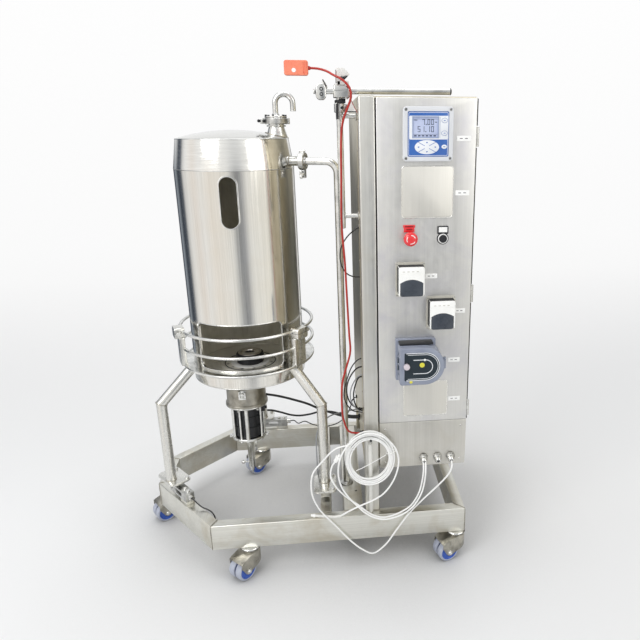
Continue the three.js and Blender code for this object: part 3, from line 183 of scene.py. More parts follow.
def lathe(profile, steps=48, closed=True):
    """Turns points of radius and height about Z. An open profile starts and ends on the axis."""
    shape = bmesh.new()
    columns = []
    for step in range(steps):
        angle = 2 * math.pi * step / steps
        column = []
        for index, (radius, height) in enumerate(profile):
            if radius < 1e-6 and step > 0:
                column.append(columns[0][index])
            else:
                place = (radius * math.cos(angle), radius * math.sin(angle), height)
                column.append(shape.verts.new(place))
        columns.append(column)
    count = len(profile)
    spans = range(count) if closed else range(count - 1)
    for step in range(steps):
        here, there = columns[step], columns[(step + 1) % steps]
        for index in spans:
            after = (index + 1) % count
            corners = [here[index], there[index], there[after], here[after]]
            corners = list(dict.fromkeys(corners))
            if len(corners) >= 3:
                shape.faces.new(corners)
    return closed_up(shape)


def rod(axis, radius, start, end, a, b, sides=32, bevel=0.8, inner=0.0):
    """A round bar along an axis with eased ends; a tube if inner is given."""
    ease = min(bevel, radius * 0.45, (end - start) * 0.45)
    outline = [
        (inner, start),
        (radius - ease, start),
        (radius, start + ease),
        (radius, end - ease),
        (radius - ease, end),
        (inner, end),
    ]
    return laid(lathe(outline, sides, closed=inner > 0), axis, a, b)


def rounded(x0, x1, y0, y1, radius, steps=6):
    """The corners of a rectangle with round corners."""
    radius = min(radius, (x1 - x0) / 2 - 1e-3, (y1 - y0) / 2 - 1e-3)
    points = []
    for cx, cy, first in (
        (x1 - radius, y0 + radius, -90),
        (x1 - radius, y1 - radius, 0),
        (x0 + radius, y1 - radius, 90),
        (x0 + radius, y0 + radius, 180),
    ):
        for step in range(steps + 1):
            dx, dy = polar(radius, first + 90 * step / steps)
            points.append((cx + dx, cy + dy))
    return points


def prism(outline, axis, start, end, bevel=0.0, segments=2, least=50):
    """A plate of the outline: in XY for z, in XZ for y, in YZ for x."""
    shape = bmesh.new()
    low = [shape.verts.new((x, y, start)) for x, y in outline]
    high = [shape.verts.new((x, y, end)) for x, y in outline]
    shape.faces.new(list(reversed(low)))
    shape.faces.new(high)
    skin(shape, low, high)
    softened(closed_up(shape), bevel, segments, least)
    if axis == "y":
        moved(shape, Y_Z_SWAP)
    elif axis == "x":
        moved(shape, Z_TO_X)
    return closed_up(shape)


def smooth_line(points, spacing):
    """Evenly spaced points on a smooth curve through the given ones."""
    places = [Vector(point) for point in points]
    places = [2 * places[0] - places[1]] + places + [2 * places[-1] - places[-2]]
    fine = []
    for i in range(1, len(places) - 2):
        p0, p1, p2, p3 = places[i - 1 : i + 3]
        steps = max(4, int((p2 - p1).length / spacing * 4))
        t0 = 0.0
        t1 = t0 + max((p1 - p0).length, 1e-6) ** 0.5
        t2 = t1 + max((p2 - p1).length, 1e-6) ** 0.5
        t3 = t2 + max((p3 - p2).length, 1e-6) ** 0.5
        for step in range(steps):
            t = t1 + (t2 - t1) * step / steps
            a1 = (t1 - t) / (t1 - t0) * p0 + (t - t0) / (t1 - t0) * p1
            a2 = (t2 - t) / (t2 - t1) * p1 + (t - t1) / (t2 - t1) * p2
            a3 = (t3 - t) / (t3 - t2) * p2 + (t - t2) / (t3 - t2) * p3
            b1 = (t2 - t) / (t2 - t0) * a1 + (t - t0) / (t2 - t0) * a2
            b2 = (t3 - t) / (t3 - t1) * a2 + (t - t1) / (t3 - t1) * a3
            fine.append((t2 - t) / (t2 - t1) * b1 + (t - t1) / (t2 - t1) * b2)
    fine.append(places[-2])
    total = length_of(fine)
    count = max(2, round(total / spacing))
    result, run, index = [], 0.0, 0
    for k in range(count + 1):
        goal = total * k / count
        while index < len(fine) - 2 and run + (fine[index + 1] - fine[index]).length < goal:
            run += (fine[index + 1] - fine[index]).length
            index += 1
        span = (fine[index + 1] - fine[index]).length
        share = 0 if span < 1e-9 else (goal - run) / span
        result.append(fine[index].lerp(fine[index + 1], min(1.0, max(0.0, share))))
    return result


def length_of(points):
    return sum((b - a).length for a, b in zip(points, points[1:]))


def joined_rings(shape, rings, caps=True):
    for here, there in zip(rings, rings[1:]):
        skin(shape, here, there)
    if caps:
        shape.faces.new(list(reversed(rings[0])))
        shape.faces.new(rings[-1])
    return closed_up(shape)


def tube(points, radius, sides=12, caps=True, radii=None):
    """A round tube along points, with no twist."""
    points = [Vector(point) for point in points]
    shape = bmesh.new()
    rings = []
    normal = None
    for index, point in enumerate(points):
        before = points[max(index - 1, 0)]
        after = points[min(index + 1, len(points) - 1)]
        arriving = (point - before).normalized() if index else (after - point).normalized()
        leaving = (after - point).normalized() if index < len(points) - 1 else arriving
        along = (arriving + leaving).normalized()
        if normal is None:
            helper = Vector((0, 0, 1)) if abs(along.z) < 0.9 else Vector((1, 0, 0))
            normal = helper.cross(along).normalized()
        else:
            normal = (normal - along * normal.dot(along)).normalized()
        side = along.cross(normal)
        size = radius if radii is None else radii[index]
        ring = []
        for step in range(sides):
            angle = 2 * math.pi * step / sides
            offset = (normal * math.cos(angle) + side * math.sin(angle)) * size
            ring.append(shape.verts.new(point + offset))
        rings.append(ring)
    return joined_rings(shape, rings, caps)


def mitred(line, radius, sides):
    """A round bar round sharp corners; each corner's section lies between its two runs."""
    shape = bmesh.new()
    first = (line[1] - line[0]).normalized()
    helper = Vector((1, 0, 0)) if abs(first.x) < 0.9 else Vector((0, 1, 0))
    normal = (helper - first * helper.dot(first)).normalized()
    side = first.cross(normal)
    current = []
    for k in range(sides):
        angle = 2 * math.pi * k / sides
        offset = normal * math.cos(angle) * radius + side * math.sin(angle) * radius
        current.append(line[0] + offset)
    rings = [[shape.verts.new(point) for point in current]]
    for index in range(1, len(line)):
        arriving = (line[index] - line[index - 1]).normalized()
        last = index == len(line) - 1
        leaving = arriving if last else (line[index + 1] - line[index]).normalized()
        plane = (arriving + leaving).normalized()
        following = []
        for point in current:
            reach = (line[index] - point).dot(plane) / arriving.dot(plane)
            following.append(point + arriving * reach)
        rings.append([shape.verts.new(point) for point in following])
        current = following
    return joined_rings(shape, rings)


def arc_points(centre, radius, start, end, steps):
    """Points on an arc in a plane of constant y."""
    points = []
    for step in range(steps + 1):
        a, b = polar(radius, start + (end - start) * step / steps)
        points.append(Vector((centre[0] + a, centre[1], centre[2] + b)))
    return points


def ring(radius, thickness, sides=96, section=16):
    outline = []
    for k in range(section):
        angle = 2 * math.pi * k / section
        outline.append((radius + thickness * math.cos(angle), thickness * math.sin(angle)))
    return lathe(outline, sides)


def ball(radius, x, y, z):
    shape = bmesh.new()
    bmesh.ops.create_uvsphere(shape, u_segments=24, v_segments=12, radius=radius)
    return shifted(shape, x, y, z)


def hexagon(axis, across, start, end, a, b, bevel=0.6):
    outline = [polar(across / math.sqrt(3), 30 + 60 * k) for k in range(6)]
    return laid(prism(outline, "z", start, end, bevel, 1, 20), axis, a, b)


def knurled(axis, radius, start, end, a, b):
    teeth = 24
    outline = []
    for k in range(teeth):
        for share, size in ((0.0, 1.0), (0.35, 1.0), (0.5, 0.93), (0.85, 0.93)):
            angle = 2 * math.pi * (k + share) / teeth
            outline.append((radius * size * math.cos(angle), radius * size * math.sin(angle)))
    return laid(prism(outline, "z", start, end, 0.5, 1, 60), axis, a, b)


def weld_bead(line, radius):
    """A low rippled run of weld laid along a line, sunk by most of its thickness."""
    steps = max(4, int(length_of(line) / 3.2))
    points, radii = [], []
    for k in range(steps + 1):
        share = k / steps
        points.append(line[0].lerp(line[1], share))
        ease = min(1.0, 6 * share, 6 * (1 - share)) ** 0.5
        radii.append(radius * (0.55 + 0.45 * ease) * (1 + 0.12 * math.sin(k * 2.1)))
    return tube(points, radius, 8, True, radii)


def rounded_sheet(x0, x1, z0, z1, radius, y0, y1, bevel=0.4):
    return prism(rounded(x0, x1, z0, z1, radius), "y", y0, y1, bevel, 2, 50)


def oval(x, z, across, high, y0, y1, bevel=0.5, sides=40):
    outline = []
    for k in range(sides):
        angle = 2 * math.pi * k / sides
        outline.append((x + across / 2 * math.cos(angle), z + high / 2 * math.sin(angle)))
    return prism(outline, "y", y0, y1, bevel, 2, 50)


def work_object(shape):
    mesh = bpy.data.meshes.new("work")
    shape.to_mesh(mesh)
    shape.free()
    made = bpy.data.objects.new("work", mesh)
    bpy.context.scene.collection.objects.link(made)
    return made


def solid_of(base, steps):
    """The base changed by each step in turn with exact booleans, as a bmesh in millimetres."""
    target = work_object(base)
    helpers = []
    for kind, shape in steps:
        modifier = target.modifiers.new("step", "BOOLEAN")
        modifier.operation = kind
        modifier.solver = "EXACT"
        modifier.object = work_object(shape)
        helpers.append(modifier.object)
    graph = bpy.context.evaluated_depsgraph_get()
    mesh = bpy.data.meshes.new_from_object(target.evaluated_get(graph))
    result = bmesh.new()
    result.from_mesh(mesh)
    bpy.data.meshes.remove(mesh)
    for made in [target] + helpers:
        data = made.data
        bpy.data.objects.remove(made)
        bpy.data.meshes.remove(data)
    bmesh.ops.remove_doubles(result, verts=result.verts, dist=0.002)
    bmesh.ops.dissolve_limit(
        result, angle_limit=math.radians(1.0), verts=result.verts, edges=result.edges
    )
    return result


def cut(base, *tools):
    return solid_of(base, [("DIFFERENCE", tool) for tool in tools])


# ---- pieces ----


def mesh_of(shape, name):
    for vertex in shape.verts:
        vertex.co = (vertex.co + SHIFT) / 1000
    mesh = bpy.data.meshes.new(name)
    shape.to_mesh(mesh)
    shape.free()
    return mesh


def shade(mesh, angle):
    mesh.polygons.foreach_set("use_smooth", [True] * len(mesh.polygons))
    mesh.set_sharp_from_angle(angle=math.radians(angle))


def piece(name, shape, finish, body, slot, angle=35, stands_for=None):
    """A piece that rides on a body and may stand for a CAD node."""
    mesh = mesh_of(shape, name)
    shade(mesh, angle)
    mesh.materials.append(FINISHES[finish])
    made = bpy.data.objects.new(name, mesh)
    bpy.context.scene.collection.objects.link(made)
    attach(made, body)
    if stands_for:
        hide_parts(stands_for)
    return made


def family(body, slot):
    return functools.partial(piece, body=body, slot=slot)


brushed_part = family("machine", "brushed_stainless")
polished_part = family("machine", "polished_stainless")
black_part = family("machine", "black_plastic")
sill_part = family("machine", "door_sheet")
hose_part = family("machine", "tube_white")
door_part = family("door", "door_sheet")
door_black_part = family("door", "black_plastic")
instrument_part = family("door", "instrument_grey")
pump_part = family("door", "pump_cream")
big_pump_part = family("door", "pump_grey")
big_cover_part = family("large_cover", "flap_slate")
rod_part = family("cross_rod", "polished_stainless")
coupling_part = family("coupling", "black_plastic")
plug_part = family("machine", "plug_orange")
clip_part = family("machine", "instrument_grey")
rod_black_part = family("cross_rod", "black_plastic")
lift_part = family("lift_rod", "polished_stainless")
plunger_part = family("stop_plunger", "black_plastic")
stop_part = family("stop_head", "stop_red")
legend_part = family("door", "stop_red")

# ---- materials ----


def linear(value):
    return value / 12.92 if value <= 0.04045 else ((value + 0.055) / 1.055) ** 2.4


def rgb(text):
    return tuple(linear(int(text[k : k + 2], 16) / 255) for k in (0, 2, 4)) + (1.0,)


class Nodes:
    """A node tree, with the few kinds of node that the finishes, floor and world are made from."""

    def __init__(self, owner):
        owner.use_nodes = True
        self.tree = owner.node_tree
        self.tree.nodes.clear()

    def feed(self, socket, value):
        """Sets a socket to a plain value, or links it to another node's output."""
        if isinstance(value, bpy.types.NodeSocket):
            self.tree.links.new(value, socket)
        else:
            socket.default_value = value

    def add(self, kind, values=None):
        node = self.tree.nodes.new(kind)
        for name, value in (values or {}).items():
            self.feed(node.inputs[name], value)
        return node

    def ramp(self, factor, stops):
        node = self.add("ShaderNodeValToRGB", {"Fac": factor})
        elements = node.color_ramp.elements
        while len(elements) < len(stops):
            elements.new(0.5)
        for element, (place, colour) in zip(elements, stops):
            element.position = place
            element.color = colour
        return node.outputs["Color"]

    def span(self, factor, low, high, start=0.0, end=1.0):
        """Carries start to end over to low to high."""
        values = {"Value": factor, "From Min": start, "From Max": end, "To Min": low, "To Max": high}
        return self.add("ShaderNodeMapRange", values).outputs["Result"]

    def math(self, operation, first, second):
        node = self.add("ShaderNodeMath", {0: first, 1: second})
        node.operation = operation
        return node.outputs[0]

    def mixed(self, factor, first, second, blend="MIX"):
        node = self.tree.nodes.new("ShaderNodeMix")
        node.data_type = "RGBA"
        node.blend_type = blend
        for socket, value in (
            (node.inputs["Factor"], factor), (node.inputs[6], first), (node.inputs[7], second)
        ):
            self.feed(socket, value)
        return node.outputs[2]

    def blend(self, factor, first, second):
        """Mixes two shaders."""
        return self.add("ShaderNodeMixShader", {"Fac": factor, 1: first, 2: second}).outputs[0]


class Shader(Nodes):
    """A material around one Principled shader."""

    def __init__(self, name):
        self.material = bpy.data.materials.new(name)
        super().__init__(self.material)
        self.shader = self.add("ShaderNodeBsdfPrincipled")
        self.out = self.add("ShaderNodeOutputMaterial", {0: self.shader.outputs[0]})
        self.coordinates = self.add("ShaderNodeTexCoord").outputs["Object"]
        self.material.diffuse_color = (0.7, 0.7, 0.7, 1)

    def set(self, name, value):
        self.feed(self.shader.inputs[name], value)

    def noise(self, stretch, scale, detail=4.0, rough=0.55, distortion=0.0):
        """Noise on coordinates stretched by three factors."""
        mapping = self.add("ShaderNodeMapping", {"Scale": stretch, "Vector": self.coordinates})
        values = {
            "Vector": mapping.outputs[0],
            "Scale": scale,
            "Detail": detail,
            "Roughness": rough,
            "Distortion": distortion,
        }
        return self.add("ShaderNodeTexNoise", values).outputs["Fac"]

    def bump(self, height, strength, distance):
        values = {"Strength": strength, "Distance": distance, "Height": height}
        self.set("Normal", self.add("ShaderNodeBump", values).outputs["Normal"])


EVEN = (1.0, 1.0, 1.0)
UP = (1.0, 1.0, 0.012)
ALONG_X = (0.012, 1.0, 1.0)
ALONG_Y = (1.0, 0.012, 1.0)
ROUND = (0.05, 0.05, 1.0)
GRAIN_SCALE = 260.0


def brushed(
    name, dark, light, rough, grain, strength=0.12, smudge=0.06, tint=None, tint_share=0.25, metallic=1.0
):
    """Stainless sheet with drawn lines along one way, faint smears and a slow change of tone."""
    made = Shader(name)
    made.set("Metallic", metallic)
    lines = made.noise(grain, GRAIN_SCALE, 6.0, 0.7)
    wide = made.noise(tuple(0.35 * g for g in grain), GRAIN_SCALE * 0.32, 3.0, 0.5)
    smear = made.noise(EVEN, 7.0, 5.0, 0.6, 0.6)
    spots = made.noise(EVEN, 55.0, 3.0, 0.5)
    both = made.math("ADD", made.math("MULTIPLY", lines, 0.65), made.math("MULTIPLY", wide, 0.35))
    tone = made.ramp(both, [(0.3, rgb(dark)), (0.7, rgb(light))])
    if tint:
        tone = made.mixed(made.span(smear, 0.0, tint_share, 0.45, 0.75), tone, rgb(tint))
    made.set("Base Color", tone)
    base = made.span(both, rough - 0.05, rough + 0.07, 0.3, 0.7)
    smears = made.span(made.math("MULTIPLY", smear, spots), 0.0, smudge, 0.12, 0.4)
    made.set("Roughness", made.math("ADD", base, smears))
    made.bump(both, strength, 0.0004)
    return made.material


def polished(name, dark, light, rough=0.16, smudge=0.08):
    """Bright turned steel: nearly clean, with light scuffs."""
    made = Shader(name)
    made.set("Metallic", 1.0)
    smear = made.noise(EVEN, 26.0, 5.0, 0.6, 0.4)
    scuffs = made.noise((1, 1, 0.25), 420.0, 3.0, 0.6)
    made.set("Base Color", made.ramp(smear, [(0.35, rgb(dark)), (0.65, rgb(light))]))
    base = made.span(smear, rough, rough + smudge, 0.35, 0.7)
    made.set("Roughness", made.math("ADD", base, made.span(scuffs, 0.0, 0.04)))
    made.bump(scuffs, 0.05, 0.0002)
    return made.material


def plastic(name, dark, light, rough=0.45, grit=0.12, grit_scale=1400.0, coat=0.0, metallic=0.0, dirt=None):
    """Moulded plastic or satin paint: a fine texture, slow tone changes and a little wear."""
    made = Shader(name)
    made.set("Metallic", metallic)
    if coat:
        made.set("Coat Weight", coat)
        made.set("Coat Roughness", 0.12)
    slow = made.noise(EVEN, 14.0, 4.0, 0.6)
    fine = made.noise(EVEN, grit_scale, 2.0, 0.5)
    tone = made.ramp(slow, [(0.3, rgb(dark)), (0.75, rgb(light))])
    if dirt:
        patches = made.noise(EVEN, 38.0, 6.0, 0.65, 0.5)
        tone = made.mixed(made.span(patches, 0.0, 0.4, 0.52, 0.72), tone, rgb(dirt))
    made.set("Base Color", tone)
    both = made.math("ADD", made.math("MULTIPLY", slow, 0.7), made.math("MULTIPLY", fine, 0.3))
    made.set("Roughness", made.span(both, rough - 0.08, rough + 0.1, 0.3, 0.7))
    made.bump(fine, grit, 0.00025)
    return made.material


FINISH_TABLE = {
    "vessel_steel": (brushed, "d2d0ca", "eeece7", 0.11, UP, 0.035, 0.05, "dcd6ca", 0.4),
    "head_steel": (brushed, "dcdad5", "f0efeb", 0.12, ROUND, 0.03, 0.04),
    "inside_steel": (brushed, "d6d2c4", "f2eee2", 0.32, UP, 0.05, 0.08, "a9a28d", 0.6, 0.35),
    "floor_steel": (brushed, "dcd9ce", "f6f3ea", 0.3, ROUND, 0.05, 0.08, None, 0.25, 0.3),
    # Painted highlight: the white of the bright ring on the vessel's floor.
    "painted_highlight_white": (plastic, "f4f3ee", "ffffff", 0.3, 0.03, 1200.0, 0.3),
    "drive_steel": (polished, "8c8980", "b4b0a6", 0.3, 0.16),
    "hub_steel": (polished, "b3aca0", "dcd8cf", 0.24, 0.1),
    "frame_steel": (brushed, "cccbc3", "ebeae3", 0.32, ALONG_X, 0.08, 0.12, "b3a588", 0.6),
    "frame_steel_y": (brushed, "cccbc3", "ebeae3", 0.32, ALONG_Y, 0.08, 0.12, "b3a588", 0.6),
    "leg_steel": (brushed, "cfcec9", "e9e8e3", 0.22, UP, 0.05, 0.08),
    "cabinet_steel": (brushed, "b9b19b", "d3ccb8", 0.33, UP, 0.07, 0.08, "9b927b", 0.5),
    "door_steel": (brushed, "d8d7d3", "e6e5e2", 0.38, UP, 0.035, 0.1, "c4c3cd", 0.6),
    "plate_steel": (brushed, "dad8d1", "e4e2dc", 0.44, UP, 0.02, 0.04),
    "plate_rim": (polished, "e6e5e0", "f6f5f1", 0.2),
    "bright_steel": (polished, "c9c9c6", "e8e8e5", 0.14),
    "cast_steel": (polished, "a6a6a4", "d0d0cd", 0.26, 0.14),
    "weld_steel": (polished, "97938a", "bdb9ae", 0.34, 0.2),
    "black_plastic": (plastic, "191a1d", "26282c", 0.42, 0.1),
    "black_metal": (plastic, "141518", "24262a", 0.32, 0.12, 900.0, 0.2, 0.3),
    "black_rubber": (plastic, "17181a", "232427", 0.6, 0.2, 700.0),
    "wheel_tread": (plastic, "a6abbb", "bcc1ce", 0.5, 0.1, 900.0, 0.0, 0.0, "74788a"),
    "wheel_core": (plastic, "2f56b4", "3d66c4", 0.4, 0.08, 900.0, 0.15, 0.0, "27417f"),
    "instrument_grey": (plastic, "d6d8dc", "e2e4e7", 0.5, 0.16),
    "panel_blue": (plastic, "2c5fae", "3a6fbe", 0.4, 0.05, 1600.0, 0.3),
    "panel_light": (plastic, "e6e9ee", "f2f4f7", 0.4, 0.05),
    "screen_glow": (plastic, "b9c3e2", "cbd4ee", 0.3, 0.02, 1600.0, 0.2),
    "screen_ink": (plastic, "2d3b55", "33425e", 0.3, 0.02),
    "stop_red": (plastic, "e5262d", "ee383d", 0.28, 0.04, 1400.0, 0.5),
    "cream_plastic": (plastic, "f8f8f4", "fefefb", 0.42, 0.05),
    "beige_plastic": (plastic, "bfbcb0", "cbc8bd", 0.5, 0.12),
    "slate_plastic": (plastic, "353b44", "454c56", 0.3, 0.05, 1400.0, 0.35),
    "pump_grey": (plastic, "82889a", "989fae", 0.4, 0.12, 1200.0, 0.15),
    "pump_dark": (plastic, "3d4550", "505965", 0.34, 0.06, 1200.0, 0.3),
    "label_white": (plastic, "f6f6f3", "fdfdfb", 0.5, 0.04),
    "clip_white": (plastic, "dcdad5", "e8e7e3", 0.42, 0.06),
    "yellow_dot": (plastic, "d8cf3a", "e6dd4c", 0.4, 0.04),
    "orange_plastic": (plastic, "f17a5c", "f79474", 0.36, 0.06, 1200.0, 0.3),
    "red_rubber": (plastic, "a8231a", "bc3024", 0.42, 0.05, 1200.0, 0.15),
    "black_cable": (plastic, "1c1c1e", "2a2a2c", 0.45, 0.05),
    "tube_white": (plastic, "f2f2f0", "fcfcfa", 0.38, 0.04, 1000.0, 0.25),
    "gasket_black": (plastic, "1d1d1f", "2b2b2d", 0.7, 0.2),
    "stile_steel": (brushed, "cbcac5", "e2e1dc", 0.3, UP, 0.06, 0.08, "c9c4b4", 0.35),
    "sill_steel": (brushed, "cbc9c2", "dddbd5", 0.36, UP, 0.05, 0.1, "c2bdaf", 0.4),
    "label_ink": (plastic, "3a3c42", "4c4e54", 0.5, 0.04),
    "screen_edge": (plastic, "93a0bf", "a5b1cd", 0.4, 0.06),
    "stop_red_dark": (plastic, "54090c", "6b0d11", 0.4, 0.05),
    "collar_grey": (plastic, "8f9092", "a4a5a6", 0.34, 0.06),
    "pump_pane": (plastic, "16222a", "223039", 0.3, 0.04, 1200.0, 0.1),
    "track_grey": (plastic, "d9dde2", "eceff2", 0.35, 0.05),
    "knob_pale": (plastic, "cbbfc7", "e2dade", 0.4, 0.06),
    "fork_finish": (polished, "8d8a80", "c1bdb2", 0.24, 0.16),
    "grey_cable": (plastic, "8d8f92", "a0a2a5", 0.45, 0.05),
    "sleeve_white": (plastic, "dcdbd5", "ebeae5", 0.5, 0.1, 900.0),
}
FINISHES = {}
for finish_name, (made_by, *settings) in FINISH_TABLE.items():
    FINISHES[finish_name] = made_by(finish_name, *settings)

# ---- camera ----

EYE = (114, -2256, 1559)
LOOK_DOWN = 17.6
LOOK_RIGHT = 7

camera_data = bpy.data.cameras.new("camera")
camera_data.sensor_width = 36
camera_data.lens = 33.75
camera_data.shift_x = -0.125
camera_data.clip_start = 0.05
camera_data.clip_end = 60
camera = bpy.data.objects.new("camera", camera_data)
camera.location = metres(*EYE)
camera.rotation_euler = (math.radians(90 - LOOK_DOWN), 0, math.radians(-LOOK_RIGHT))
bpy.context.scene.collection.objects.link(camera)
bpy.context.scene.camera = camera

# ---- cords: their lines first ----

CABLE_R = 3.5
TUBE_R = 3.0
GLAND_REACH = 26.3  # from the sill to where a hose leaves its gland
PAIR = 4.2  # half the distance of the two hoses in one gland
CABLE_Y = -283
CABLE_ENTRY = CABINET_BOTTOM + 114
COIL_STRETCH = 1.17
COIL_START = 140
POINTS_PER_TURN = 36
ROD_HEIGHT = CABINET_TOP + 16
PLUG = Vector((4, -276, ROD_HEIGHT + 65))
POLE = Vector((168, -266, 0))
COIL = Vector((236, -376, 447))
GLAND_XS = (434, 486, 534)
GLAND_Z = lifted(36)
GLAND_TILT = math.radians(20)
GLAND_WAY = Vector((0, -math.cos(GLAND_TILT), -math.sin(GLAND_TILT)))


def out_of_gland(x, reach, side=0.0):
    return Vector((x + side, FRONT + 2.5, GLAND_Z)) + GLAND_WAY * reach


red_line = smooth_line(
    [
        (PLUG.x + 72.5, PLUG.y, PLUG.z),
        (104, PLUG.y, PLUG.z - 1),
        (130, PLUG.y, PLUG.z - 7),
        (152, POLE.y - 36, ROD_HEIGHT + 44),
        (176, POLE.y - 46, ROD_HEIGHT + 32),
        (199, POLE.y - 48, ROD_HEIGHT + 8),
        (203, POLE.y - 46, ROD_HEIGHT - 17),
        (194, POLE.y - 38, ROD_HEIGHT - 44),
        (180, POLE.y - 30, ROD_HEIGHT - 78),
        (172, -290, 1556),
        (167, -287, 1405),
        (164, -285, 1262),
        (171, CABLE_Y, 1138),
        (175, CABLE_Y, 1007),
        (179, CABLE_Y, 881),
        (181, CABLE_Y, 818),
        (165, CABLE_Y, 758),
        (150, CABLE_Y, 702),
        (146, CABLE_Y, 640),
        (150, CABLE_Y, 560),
        (170, CABLE_Y, CABINET_BOTTOM + 122),
        (CABINET_LEFT - 15, CABLE_Y, CABLE_ENTRY),
    ],
    14,
)

TUBE_START = out_of_gland(534, GLAND_REACH)
white_run = [
    tuple(out_of_gland(534, 30)),
    tuple(out_of_gland(534, 36)),
    (532, -387, 397),
    (524, -388, 376),
    (505, -386, 348),
    (476, -386, 317),
    (432, -386, 274),
    (381, -386, 219),
    (333, -386, 150),
    (287, -386, 84),
    (242, -386, 52),
    (202, -386, 74),
    (158, -386, 118),
    (105, -386, 188),
    (54, -386, 256),
    (31, -386, 312),
    (27, -386, 361),
    (36, -386, 409),
    (69, -384, 450),
    (115, -380, 494),
]


def round_coil(degrees, radius, depth):
    across, up = polar(radius, degrees)
    return (COIL.x + across, COIL.y + depth, COIL.z + COIL_STRETCH * up)


def coil_turns(lanes):
    """Turns of tube laid beside and on each other.

    Each lane is a radius and a depth, and the tube changes lanes in the last part of a turn.
    """
    points = []
    for turn, (radius, depth) in enumerate(lanes):
        following = lanes[min(turn + 1, len(lanes) - 1)]
        for step in range(POINTS_PER_TURN):
            share = step / POINTS_PER_TURN
            blend = min(1.0, max(0.0, (share - 0.62) / 0.38))
            blend = blend * blend * (3 - 2 * blend)
            wander = 0.9 * math.sin(
                2 * math.pi * share + 1.9 * turn
            ) + 0.5 * math.sin(4 * math.pi * share + turn)
            r = radius + (following[0] - radius) * blend + wander
            y = depth + (following[1] - depth) * blend
            points.append(round_coil(COIL_START - 360 * share, r, y))
    return points


turns = coil_turns(
    [
        (87.5, -7.5), (81.2, -7.2), (74.6, -7.6), (68.3, -7.2), (70.5, -0.4), (77.0, 0.2), (83.4, -0.3),
        (87.8, 6.4), (80.6, 7.2), (73.6, 7.2),
    ],
)
white_line = [TUBE_START] + smooth_line(white_run + turns + [round_coil(COIL_START, 74, 7)], 12)

second_line = [out_of_gland(434, GLAND_REACH, -PAIR)] + smooth_line(
    [
        tuple(out_of_gland(434, 31, -PAIR)),
        (429, -385, 392),
        (424, -388, 350),
        (412, -389, 300),
        (383, -389, 250),
        (350, -389, 227),
        (318, -389, 214),
        (284, -389, 208),
        (248, -389, 219),
        (214, -390, 246),
        (192, -390, 268),
        (148, -390, 307),
        (114, -390, 350),
        (97, -390, 392),
        (102, -390, 431),
        (116, -389, 453),
    ],
    10,
)
third_line = [out_of_gland(434, GLAND_REACH, PAIR)] + smooth_line(
    [
        tuple(out_of_gland(434, 31, PAIR)),
        (437, -386, 392),
        (433, -390, 350),
        (421, -391, 298),
        (391, -391, 246),
        (356, -391, 218),
        (322, -391, 205),
        (285, -391, 200),
        (246, -391, 212),
        (212, -392, 238),
        (192, -393, 262),
        (160, -393, 302),
        (134, -394, 350),
        (124, -395, 400),
        (128, -396, 450),
        (146, -397, 496),
        (180, -397, 536),
        (228, -397, 556),
        (284, -397, 540),
        (322, -397, 500),
        (337, -397, 450),
        (332, -396, 400),
        (312, -395, 350),
        (280, -394, 308),
        (240, -394, 284),
        (200, -394, 268),
        (160, -392, 248),
        (128, -386, 226),
    ],
    12,
)
sleeve_line = smooth_line([(128, -386, 226), (108, -381, 219), (78, -373, 217.5), (34, -362, 217)], 8)

# ---- floor, backdrop and light ----


def make_stage():
    """A pale floor that bends up into a wall behind the object."""
    shape = bmesh.new()
    half, back, rise, bend = 9.0, 5.0, 9.0, 3.0
    line = [(-half, 0.0), (back - bend, 0.0)]
    for degrees in range(6, 91, 6):
        down, along = polar(bend, degrees)
        line.append((back - bend + along, bend - down))
    line.append((back, rise))
    left = [shape.verts.new((-half, y, z)) for y, z in line]
    right = [shape.verts.new((half, y, z)) for y, z in line]
    for k in range(len(line) - 1):
        shape.faces.new([left[k], right[k], right[k + 1], left[k + 1]])
    mesh = bpy.data.meshes.new("studio_floor")
    closed_up(shape).to_mesh(mesh)
    shape.free()
    shade(mesh, 60)
    made = Shader("studio_paper")
    made.set("Roughness", 0.9)
    made.set("Specular IOR Level", 0.1)
    place = made.add("ShaderNodeNewGeometry").outputs["Position"]
    split = made.add("ShaderNodeSeparateXYZ", {0: place}).outputs
    depth = made.math("ADD", split["Y"], made.math("MULTIPLY", split["Z"], 1.2))
    tones = [(0.0, rgb("e9e9e9")), (0.3, rgb("f3f3f3")), (0.55, rgb("fbfbfb")), (1.0, rgb("ffffff"))]
    tone = made.ramp(made.span(depth, 0.0, 1.0, -1.5, 9.0), tones)
    # Painted shade: ambient occlusion darkens the floor's colour near and under the machine.
    painted_contact_shade = made.add("ShaderNodeAmbientOcclusion", {"Distance": 0.6})
    painted_contact_shade.samples = 12
    tone = made.mixed(1.0, tone, made.math("POWER", painted_contact_shade.outputs["AO"], 0.62), "MULTIPLY")
    made.set("Base Color", tone)
    glow = made.add("ShaderNodeEmission", {"Color": tone, "Strength": 1.0})
    path = made.add("ShaderNodeLightPath").outputs
    part = made.math("MULTIPLY", path["Is Camera Ray"], made.span(depth, 0.14, 0.98, 0.2, 3.6))
    paper = made.blend(part, made.shader.outputs[0], glow.outputs[0])
    # Away from the machine, polished metal sees the room of the world and not this floor.
    flat = made.add("ShaderNodeVectorMath", {0: place, 1: (1, 1, 0)})
    flat.operation = "MULTIPLY"
    reach = made.add("ShaderNodeVectorMath", {0: flat.outputs[0]})
    reach.operation = "LENGTH"
    away = made.math("MULTIPLY", path["Is Glossy Ray"], made.span(reach.outputs["Value"], 0.0, 1.0, 1.3, 2.3))
    clear = made.add("ShaderNodeBsdfTransparent")
    made.feed(made.out.inputs[0], made.blend(away, paper, clear.outputs[0]))
    mesh.materials.append(made.material)
    floor = bpy.data.objects.new("studio_floor", mesh)
    bpy.context.scene.collection.objects.link(floor)


